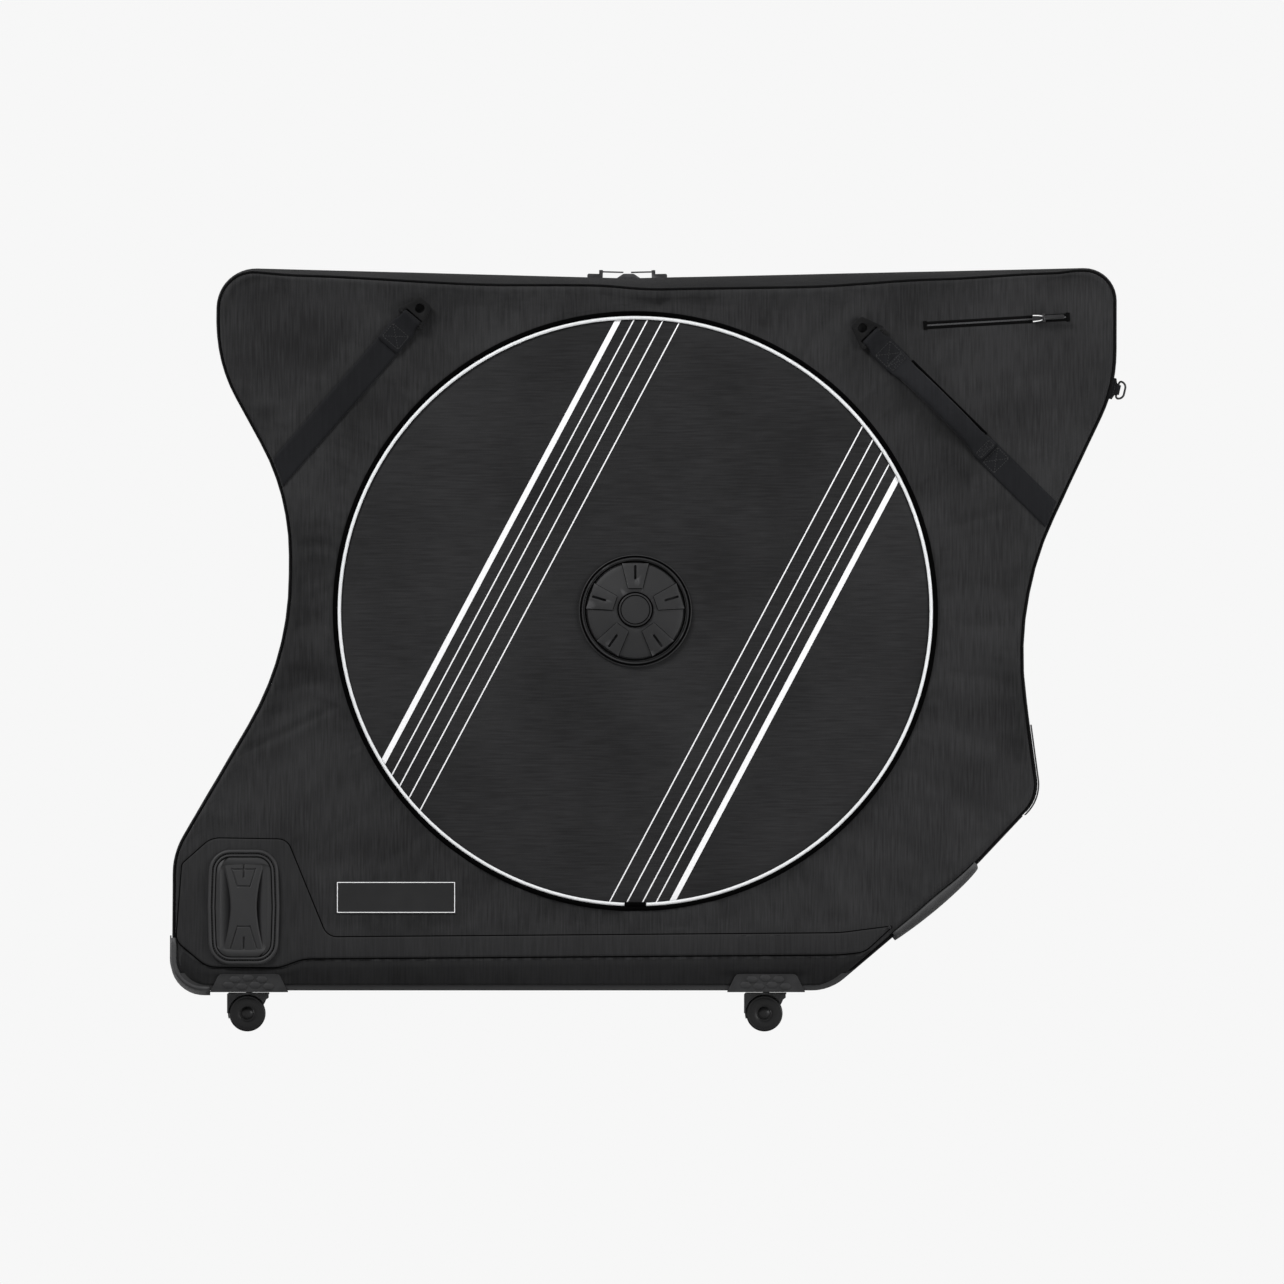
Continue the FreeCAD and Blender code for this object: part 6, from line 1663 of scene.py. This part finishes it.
near_up = (on_side(-1, 0.0, 0.0, 1.0) - on_side(-1, 0.0, 0.0, 0.0)).normalized()
handle_rubber = moulded("handle_rubber", MOULDED_BLACK, roughness=0.52, specular=0.16, grain=2200.0,
                        depth=0.00005, wear=0.5)
thread = cloth_look("thread", THREAD_BLACK, contrast=0.3, roughness=0.7, specular=0.2, threads=9000.0,
                    depth=0.00004)
cup_edge, cup_piece = handle_cup()
set_out(cup_piece, "near_side", "moulded_plastic", handle_rubber, "handle_cup")
set_out(handle_strap(), "near_side", "handle_rubber", handle_rubber, "handle_strap")
# Near-black cords along both sides of the rim's groove are painted shade in the groove.
groove_shade_cords = [tube("groove_shade_cord", at_handle(inset_line(cup_edge, inset), GROOVE_SEAT), GROOVE_SHADE_RADIUS)
                for inset in GROOVE_INSETS]
set_out(join_pieces("handle_groove_shade", groove_shade_cords), "near_side", "moulded_plastic", cord_black_and_shade)
groove_line = at_handle(inset_line(cup_edge, GROOVE_INSETS[0]), STITCH_SEAT)
set_out(stitching("handle_stitches", [stitch_row(groove_line, near_up, closed=True)]), "near_side",
        "handle_rubber", thread)

# Webbing straps: flat woven bands sewn to the near side. Each is folded round the pin of a triangular ring
# and boxed with stitches; the rear one runs to the edge, and the front one carries the padded grip.
WEB_COLUMNS = 12
WEB_THICKNESS = 0.0018
WEB_LOW = 0.0010
WEB_HIGH = 0.0030
PIN_RISE = 0.0045
LOOP_RADIUS = 0.00325
LOOP_HALF = 0.0118
LOOP_FROM_DEGREES = 60.0
LOOP_SWEEP_DEGREES = 210.0
LOOP_STEPS = 12
FOLD_END = 0.042
FOLD_STEP = 0.004
FOLD_POINTS = 7
# Distance from the pin and height of the fold's last points before it goes round the pin
FOLD_NECK = [(0.013, 0.0033), (0.009, 0.0044), (0.0055, 0.0060)]
NECK_FROM = 0.0075
NECK_TO = 0.0135
WEB_STEP = 0.003
SEAM_SEARCH = 0.05
SEAM_SEARCH_STEP = 0.0005
GRIP_FROM = 0.046
GRIP_TO = 0.180
LOWER_BOX = (0.194, 0.212)
FOLD_BOX = (0.018, 0.037)
BOX_HALF = 0.012
WEBBING_BLACK = (0.0066, 0.0068, 0.0078)


def face_drop(spot):
    """How far the panel's rounded edge lies under its face at a place."""
    reach = min((spot - point).length for point in panel_seam)
    if not inside(panel_seam, spot):
        return -EDGE_ROUND - reach
    if reach >= EDGE_ROUND:
        return 0.0
    return math.sqrt(EDGE_ROUND ** 2 - (EDGE_ROUND - reach) ** 2) - EDGE_ROUND


def run_out(strap, across):
    """How far along a strap the panel's seam lies."""
    distance = strap["length"] - SEAM_SEARCH
    while inside(panel_seam, along_strap(strap, distance, across)):
        distance += SEAM_SEARCH_STEP
    return distance


def heading(spine, index):
    """Which way a spine runs at one of its points, by the first two values of its points."""
    before = spine[max(0, index - 1)]
    after = spine[min(len(spine) - 1, index + 1)]
    return Vector((after[0] - before[0], after[1] - before[1])).normalized()


def ribbon(name, strap, spine, cut_from=None):
    """Webbing along a spine of (distance from the pin, height, half width), cut to the seam if asked."""
    rings = []
    stop = spine[-1][0]
    edges = []
    if cut_from is not None:
        edges = [run_out(strap, STRAP_HALF * (2 * column / WEB_COLUMNS - 1))
                 for column in range(WEB_COLUMNS + 1)]
    for index, (distance, height, half) in enumerate(spine):
        run = heading(spine, index)
        ring = []
        for layer in (1, -1):
            for column in range(WEB_COLUMNS + 1):
                across = layer * (2 * column / WEB_COLUMNS - 1)
                lift = layer * WEB_THICKNESS / 2 * (0.35 if abs(across) > 0.99 else 1.0)
                reach = distance
                if edges and distance > cut_from:
                    edge = edges[column if layer > 0 else WEB_COLUMNS - column]
                    reach = cut_from + (distance - cut_from) * (edge - cut_from) / (stop - cut_from)
                spot = along_strap(strap, reach - run.y * lift, across * half)
                ring.append(on_side(-1, spot.x, spot.y, height + run.x * lift + face_drop(spot)))
        rings.append(ring)
    return loft(name, rings)


def strap_half(distance):
    return LOOP_HALF + (STRAP_HALF - LOOP_HALF) * smooth(NECK_FROM, NECK_TO, distance)


def looped_spine(stop):
    """A strap's spine from the end of its fold, round the pin and out along the panel."""
    spine = [(FOLD_END - FOLD_STEP * step, WEB_HIGH, STRAP_HALF) for step in range(FOLD_POINTS)]
    spine += [(distance, height, strap_half(distance)) for distance, height in FOLD_NECK]
    for step in range(LOOP_STEPS + 1):
        turn = math.radians(LOOP_FROM_DEGREES + LOOP_SWEEP_DEGREES * step / LOOP_STEPS)
        spine.append((LOOP_RADIUS * math.cos(turn), PIN_RISE + LOOP_RADIUS * math.sin(turn), LOOP_HALF))
    steps = round(stop / WEB_STEP)
    for step in range(1, steps + 1):
        distance = WEB_STEP + (stop - WEB_STEP) * step / steps
        spine.append((distance, WEB_LOW, strap_half(distance)))
    return spine


def strap_stitches(strap, start, stop, half, w):
    """A box with a cross in it, sewn through a strap."""
    corners = [(start, -half), (stop, -half), (stop, half), (start, half)]
    lines = [(corners[index], corners[(index + 1) % 4]) for index in range(4)]
    lines += [(corners[0], corners[2]), (corners[1], corners[3])]
    rows = []
    for ends in lines:
        spots = [along_strap(strap, *end) for end in ends]
        rows.append(stitch_row([on_side(-1, spot.x, spot.y, w) for spot in spots], near_up))
    return rows


webbing = cloth_look("webbing", WEBBING_BLACK, contrast=0.22, roughness=0.72, specular=0.07,
                     threads=3600.0, depth=0.00016)
rear_web = ribbon("rear_webbing", REAR_STRAP, looped_spine(REAR_STRAP["length"]), cut_from=FOLD_END)
set_out(rear_web, "near_side", "webbing", webbing, "rear_strap")
lower_steps = round((FRONT_STRAP["length"] - GRIP_TO) / WEB_STEP)
lower_spine = [(GRIP_TO + (FRONT_STRAP["length"] - GRIP_TO) * step / lower_steps, WEB_LOW, STRAP_HALF)
               for step in range(lower_steps + 1)]
upper_web = ribbon("upper_webbing", FRONT_STRAP, looped_spine(GRIP_FROM))
lower_web = ribbon("lower_webbing", FRONT_STRAP, lower_spine, cut_from=GRIP_TO)
set_out(join_pieces("front_webbing", [upper_web, lower_web]), "near_side", "webbing", webbing, "front_strap")
top_of_fold = WEB_HIGH + WEB_THICKNESS / 2
box_rows = strap_stitches(FRONT_STRAP, *LOWER_BOX, BOX_HALF, WEB_LOW + WEB_THICKNESS / 2)
for strap in (REAR_STRAP, FRONT_STRAP):
    box_rows += strap_stitches(strap, *FOLD_BOX, BOX_HALF, top_of_fold)
set_out(stitching("strap_stitches", box_rows), "near_side", "webbing", thread)
# The strap rings' pale rubbed edges are a painted edge highlight on their dark body.
ring_plastic_edge_lit = moulded("ring_plastic_edge_lit", scaled(MOULDED_BLACK, 0.32), roughness=0.5, specular=0.05,
                       grain=2400.0, depth=0.00005, wear=0.9)
dress(["rear_strap_ring", "front_strap_ring"], ring_plastic_edge_lit, MOULDED_BEVEL)

# Padded grip: a foam-filled sleeve that arches over the front strap, with a flat flared tongue sewn down at
# each end and a seam along both sides. A near-black cord on the panel along one side of it is a painted
# shadow of the grip.
GRIP_TONGUE = 0.013
GRIP_HALF = 0.0112
GRIP_FLAT = 0.0015
GRIP_FAT = 0.0062
GRIP_FOOT_W = 0.0036
GRIP_ARCH_W = 0.0165
GRIP_SECTIONS = 96
GRIP_POINTS = 36
GRIP_REACH = 0.011
# How far from the sleeve's end it starts and stops to rise, to narrow and to fill out
GRIP_RISE = (0.009, 0.062)
GRIP_NECK = (0.009, 0.026)
GRIP_FILL = (0.010, 0.030)
GRIP_END_ROUND = 0.0016
GRIP_END_SHARE = 0.35
GRIP_POWER = 0.75
GRIP_SEAM = 0.0007
GRIP_CREASE = 0.0005
GRIP_CREASE_RATES = (150.0, 90.0, 60.0)
# Each tongue's box of stitches, measured out from the grip's end
TONGUE_BOX_NEAR = 0.001
TONGUE_BOX_FAR = 0.009
TONGUE_BOX_HALF = 0.0105
GRIP_SHADOW_RADIUS = 0.0021
GRIP_SHADOW_INSET = 0.006
GRIP_SHADOW_STEPS = 40


def grip_sleeve():
    rings = []
    start = GRIP_FROM - GRIP_REACH
    stop = GRIP_TO + GRIP_REACH
    for section in range(GRIP_SECTIONS + 1):
        distance = start + (stop - start) * section / GRIP_SECTIONS
        from_end = min(distance - start, stop - distance)
        rise = smooth(*GRIP_RISE, from_end)
        end_round = math.sqrt(min(1.0, GRIP_END_SHARE + from_end / GRIP_END_ROUND))
        half = (GRIP_TONGUE + (GRIP_HALF - GRIP_TONGUE) * smooth(*GRIP_NECK, from_end)) * end_round
        fat = (GRIP_FLAT + (GRIP_FAT - GRIP_FLAT) * smooth(*GRIP_FILL, from_end)) * end_round
        middle = GRIP_FOOT_W + (GRIP_ARCH_W - GRIP_FOOT_W) * rise
        ring = []
        for number in range(GRIP_POINTS):
            turn = 2 * math.pi * number / GRIP_POINTS
            across = fuller(math.cos(turn), GRIP_POWER) * half
            lift = fuller(math.sin(turn), GRIP_POWER) * fat
            seam = GRIP_SEAM if number in (0, GRIP_POINTS // 2) else 0.0
            place = [value * rate for value, rate in zip((distance, across, lift), GRIP_CREASE_RATES)]
            crease = noise.noise(Vector(place)) * GRIP_CREASE * rise
            across += math.copysign(seam, across)
            spot = along_strap(FRONT_STRAP, distance, across)
            ring.append(on_side(-1, spot.x, spot.y, middle + lift + crease))
        rings.append(ring)
    return loft("grip_sleeve", rings)


grip_cloth = cloth_look("grip_cloth", scaled(WEBBING_BLACK, 1.25), contrast=0.25, roughness=0.75,
                        specular=0.08, threads=5200.0, depth=0.00012)
grip = set_out(grip_sleeve(), "near_side", "grip_pad", grip_cloth, "front_grip")
# The grip's painted shadow: a near-black cord on the panel along one side of it.
grip_shadow_line = []
for step in range(GRIP_SHADOW_STEPS + 1):
    distance = GRIP_FROM + GRIP_SHADOW_INSET + (GRIP_TO - GRIP_FROM - 2 * GRIP_SHADOW_INSET) * step / GRIP_SHADOW_STEPS
    spot = along_strap(FRONT_STRAP, distance, GRIP_HALF + GRIP_SHADOW_RADIUS)
    grip_shadow_line.append(on_side(-1, spot.x, spot.y, GRIP_SHADOW_RADIUS * 1.5))
set_out(tube("grip_shadow_cord", grip_shadow_line, GRIP_SHADOW_RADIUS, closed=False), "near_side", "grip_pad", cord_black_and_shade)
tongue_top = GRIP_FOOT_W + GRIP_FLAT
tongue_rows = strap_stitches(FRONT_STRAP, GRIP_TO + TONGUE_BOX_NEAR, GRIP_TO + TONGUE_BOX_FAR,
                             TONGUE_BOX_HALF, tongue_top)
tongue_rows += strap_stitches(FRONT_STRAP, GRIP_FROM - TONGUE_BOX_FAR, GRIP_FROM - TONGUE_BOX_NEAR,
                              TONGUE_BOX_HALF, tongue_top)
set_out(stitching("grip_stitches", tongue_rows), "near_side", "grip_pad", thread)

# Document pocket zip: two welded lips of coated cloth over a nylon coil, with a stop sewn across each end.
# Its slider has two bright guide prongs.
# Distance from the zip's middle and height of the points round a lip
LIP_SECTION = [(0.0011, -0.0003), (0.0011, 0.0009), (0.0015, 0.0013), (0.0023, 0.0014), (0.0034, 0.0011),
               (0.0042, 0.0006), (0.0046, -0.0003)]
LIP_STATIONS = 60
# How far in from the stop's edge each ring lies and how high it stands
STOP_STEPS = ((0.0, -0.0003), (0.0, 0.0011), (0.0006, 0.0015))
STOP_HALF_LENGTH = 0.0022
STOP_HALF_WIDTH = 0.0052
STOP_CORNER = 0.0008
COIL_PITCH = 0.0016
COIL_HALF_WIDTH = 0.0009
COIL_HALF_HEIGHT = 0.0003
COIL_SEAT = 0.0004
COIL_THREAD = 0.00038
COIL_STEPS = 8
COIL_GREY = (0.045, 0.045, 0.047)
SLIDER_AT = 0.0493
# Distance from the slider's middle and from the zip's middle line of each point of a prong
PRONG_PLACES = [(-0.0070, 0.0036), (0.0, 0.0031), (0.0045, 0.0022)]
PRONG_W = 0.0054
PRONG_RADIUS = 0.0006
PRONG_BRIGHT = (0.80, 0.80, 0.80)


def at_document(distance, across, w):
    turn = DOCUMENT_ZIP["turn"]
    u = DOCUMENT_ZIP["u"] + distance * math.cos(turn) - across * math.sin(turn)
    v = DOCUMENT_ZIP["v"] + distance * math.sin(turn) + across * math.cos(turn)
    return on_side(-1, u, v, w)


def zip_lip(name, way):
    half = DOCUMENT_ZIP["half_length"]
    rings = []
    for station in range(LIP_STATIONS + 1):
        distance = half * (2 * station / LIP_STATIONS - 1)
        rings.append([at_document(distance, way * across, w) for across, w in LIP_SECTION])
    return loft(name, rings)


def zip_stop(name, distance):
    rings = []
    for inset, w in STOP_STEPS:
        corners = rounded(rectangle(STOP_HALF_LENGTH - inset, STOP_HALF_WIDTH - inset, STOP_CORNER))
        rings.append([at_document(distance + spot.x, spot.y, w) for spot in corners])
    return loft(name, rings)


lip_cloth = cloth_look("lip_cloth", scaled(SHELL_BLACK, 0.10), contrast=0.2, roughness=0.8, specular=0.03,
                       threads=5200.0, depth=0.00004)
coil_grey = moulded("coil_grey", COIL_GREY, roughness=0.5, specular=0.4, grain=4000.0, depth=0.00002,
                    wear=0.4)
zip_reach = DOCUMENT_ZIP["half_length"]
lips = join_pieces("document_lips", [zip_lip("lip", -1), zip_lip("lip", 1), zip_stop("stop", -zip_reach),
                                     zip_stop("stop", zip_reach)])
set_out(lips, "near_side", "zip_tape", lip_cloth, "document_zip")
coil_count = round(2 * zip_reach / COIL_PITCH) * COIL_STEPS
coil_line = []
for step in range(coil_count + 1):
    turn = 2 * math.pi * step / COIL_STEPS
    coil_line.append(at_document(zip_reach * (2 * step / coil_count - 1), COIL_HALF_WIDTH * math.cos(turn),
                                 COIL_SEAT + COIL_HALF_HEIGHT * math.sin(turn)))
set_out(tube("document_coil", coil_line, COIL_THREAD, closed=False), "near_side", "zip_tape", coil_grey)
bright_metal = painted_metal("bright_metal", PRONG_BRIGHT, 0.5)
prongs = []
for way in (-1, 1):
    line = [at_document(SLIDER_AT + along, way * across, PRONG_W) for along, across in PRONG_PLACES]
    prongs.append(tube("prong", line, PRONG_RADIUS, closed=False))
set_out(join_pieces("slider_prongs", prongs), "document_slider", "zip_metal", bright_metal)

# Front tab: a short folded piece of webbing sewn into the front edge, which holds the D-ring in its fold.
# Two rows of stitches close it.
TAB_MIDDLE = Vector((0.5360, -0.1250, 0.7464))
TAB_TURN = math.radians(13.0)
TAB_WIDE = 0.0125
TAB_TIGHT = 0.0058
TAB_STEP = 0.0064
TAB_BAR = 0.0086
TAB_ROOT = -0.009
TAB_LOOP = 0.0022
TAB_PLY = 0.0015
SHOULDER_BEFORE = 0.002
SHOULDER_AFTER = 0.001
TAB_STITCHES = (-0.001, 0.0045)
TAB_PLY_STEPS = 8
TAB_FOLD_STEPS = 12
TAB_COLUMNS = 6
TAB_STITCH_HALF = 0.0105


def at_tab(along, rise, across):
    out = Vector((math.cos(TAB_TURN), 0.0, -math.sin(TAB_TURN)))
    up = Vector((math.sin(TAB_TURN), 0.0, math.cos(TAB_TURN)))
    return TAB_MIDDLE + out * along + up * rise + Vector((0.0, across, 0.0))


def folded_tab():
    spine = [(TAB_ROOT + (TAB_STEP - TAB_ROOT) * step / TAB_PLY_STEPS, -TAB_LOOP)
             for step in range(TAB_PLY_STEPS + 1)]
    for step in range(TAB_FOLD_STEPS + 1):
        turn = -math.pi / 2 + math.pi * step / TAB_FOLD_STEPS
        spine.append((TAB_BAR + TAB_LOOP * math.cos(turn), TAB_LOOP * math.sin(turn)))
    spine += [(TAB_STEP + (TAB_ROOT - TAB_STEP) * step / TAB_PLY_STEPS, TAB_LOOP)
              for step in range(TAB_PLY_STEPS + 1)]
    rings = []
    for index, (along, across) in enumerate(spine):
        run = heading(spine, index)
        narrowed = smooth(TAB_STEP - SHOULDER_BEFORE, TAB_STEP + SHOULDER_AFTER, along)
        half = TAB_WIDE + (TAB_TIGHT - TAB_WIDE) * narrowed
        ring = []
        for layer in (1, -1):
            for column in range(TAB_COLUMNS + 1):
                rise = layer * half * (2 * column / TAB_COLUMNS - 1)
                lift = layer * TAB_PLY / 2
                ring.append(at_tab(along - run.y * lift, rise, across + run.x * lift))
        rings.append(ring)
    return loft("folded_tab", rings)


set_out(folded_tab(), "near_side", "webbing", webbing, "dee_tab")
tab_rows = []
for along in TAB_STITCHES:
    ends = [at_tab(along, rise, -TAB_LOOP - TAB_PLY / 2) for rise in (-TAB_STITCH_HALF, TAB_STITCH_HALF)]
    tab_rows.append(stitch_row(ends, Vector((0.0, -1.0, 0.0))))
set_out(stitching("tab_stitches", tab_rows), "near_side", "webbing", thread)

# Wheel pockets: a dished sheet of lining sewn to the inside of each panel, open at the top, where an elastic
# hem gathers its mouth.
POCKET_RIM = 0.345
POCKET_EDGE = 0.363
POCKET_SHOULDER = 0.300
POCKET_SHOULDER_DEPTH = 0.040
POCKET_FLOOR = 0.060
POCKET_FLOOR_DEPTH = 0.080
POCKET_MOUTH = 0.150
POCKET_RINGS = 34
POCKET_SPOKES = 180
POCKET_EYE = 0.0005
POCKET_CLEAR = 0.0012
GATHER_DEPTH = 0.0030
GATHER_RATES = (22.0, 6.0)
GATHER_FROM = -0.10
HEM_RADIUS = 0.0028
LINING_BLACK = (0.020, 0.020, 0.022)


def pocket_depth(radius):
    if radius < POCKET_FLOOR:
        return POCKET_FLOOR_DEPTH
    if radius < POCKET_SHOULDER:
        part = (radius - POCKET_FLOOR) / (POCKET_SHOULDER - POCKET_FLOOR)
        return POCKET_FLOOR_DEPTH + (POCKET_SHOULDER_DEPTH - POCKET_FLOOR_DEPTH) * part
    part = (radius - POCKET_SHOULDER) / (POCKET_RIM - POCKET_SHOULDER)
    return POCKET_SHOULDER_DEPTH * (1.0 - min(1.0, part))


def wheel_pocket(name, side):
    points = []
    mouth = []
    for ring in range(POCKET_RINGS + 1):
        for spoke in range(POCKET_SPOKES):
            turn = 2 * math.pi * spoke / POCKET_SPOKES
            rise = math.sin(turn)
            reach = min(POCKET_EDGE, POCKET_MOUTH / rise) if rise > 0.0 else POCKET_EDGE
            radius = max(POCKET_EYE, reach * ring / POCKET_RINGS)
            u = COVER_U + radius * math.cos(turn)
            v = COVER_V + radius * math.sin(turn)
            gather = face_noise(u, v, side, GATHER_RATES) * GATHER_DEPTH
            gather *= smooth(GATHER_FROM, POCKET_MOUTH, v - COVER_V)
            depth = pocket_depth(radius) * (1.0 if radius > POCKET_RIM else 1.0 + gather / POCKET_FLOOR_DEPTH)
            points.append(on_side(side, u, v, -PANEL_THICKNESS - POCKET_CLEAR - depth))
            if ring == POCKET_RINGS and reach < POCKET_EDGE:
                mouth.append(points[-1])
    faces = ring_faces(POCKET_RINGS + 1, POCKET_SPOKES)
    return new_piece(name, points, faces), mouth


lining = cloth_look("lining", LINING_BLACK, contrast=0.2, roughness=0.7, specular=0.25, threads=3800.0,
                    depth=0.00012)
for side_name, side in SIDES:
    pocket, mouth = wheel_pocket(side_name + "_pocket_sheet", side)
    hem = set_out(tube(side_name + "_pocket_hem", mouth, HEM_RADIUS, closed=False), side_name + "_side",
                  "zip_tape", cord_black_and_shade)
    set_out(pocket, side_name + "_side", "cover_fabric", lining, side_name + "_wheel_pocket")

# Bottom-bracket pad: a block of closed-cell foam in a cloth skin, with a groove for the bike's frame, which
# lies on the rails.
PAD_X = -0.095
PAD_FOOT = 0.0776
PAD_HALF = 0.053
PAD_HALF_WIDTH = 0.092
PAD_HEIGHT = 0.0345
PAD_GROOVE = 0.0265
PAD_GROOVE_RISE = 0.042
PAD_GROOVE_FROM_DEGREES = -18.0
PAD_GROOVE_SWEEP_DEGREES = -144.0
PAD_GROOVE_STEPS = 12
PAD_VOXEL = 0.004
PAD_LIFT = 0.0006
PAD_PRESSURE = 3.0
PAD_SLACK = 0.01
PAD_SWELL = 0.003
PAD_STATIONS = 24


def bracket_pad():
    section = [Vector((-PAD_HALF, 0.0)), Vector((PAD_HALF, 0.0)), Vector((PAD_HALF, PAD_HEIGHT))]
    for step in range(PAD_GROOVE_STEPS + 1):
        turn = math.radians(PAD_GROOVE_FROM_DEGREES + PAD_GROOVE_SWEEP_DEGREES * step / PAD_GROOVE_STEPS)
        section.append(Vector((PAD_GROOVE * math.cos(turn), PAD_GROOVE_RISE + PAD_GROOVE * math.sin(turn))))
    section.append(Vector((-PAD_HALF, PAD_HEIGHT)))
    rings = []
    for station in range(PAD_STATIONS + 1):
        y = PAD_HALF_WIDTH * (2 * station / PAD_STATIONS - 1)
        rings.append([Vector((PAD_X + spot.x, y, PAD_FOOT + PAD_LIFT + spot.y)) for spot in section])
    block = loft("bracket_pad", rings)
    even_mesh = block.modifiers.new("even_mesh", "REMESH")
    even_mesh.mode = "VOXEL"
    even_mesh.voxel_size = PAD_VOXEL
    bake(block)
    held = [vertex.index for vertex in block.data.vertices if vertex.co.z < PAD_FOOT + PAD_VOXEL / 2]
    swollen = swell(block, held, PAD_PRESSURE, PAD_SLACK, PAD_SWELL)
    for vertex, spot in zip(block.data.vertices, swollen):
        vertex.co = spot
    shade_smooth(block.data)
    return block


pad_cloth = cloth_look("pad_cloth", LINING_BLACK, contrast=0.25, roughness=0.75, specular=0.22,
                       threads=3800.0, depth=0.00014)
bracket = set_out(bracket_pad(), "base", "foam", pad_cloth, "bottom_bracket_pad")
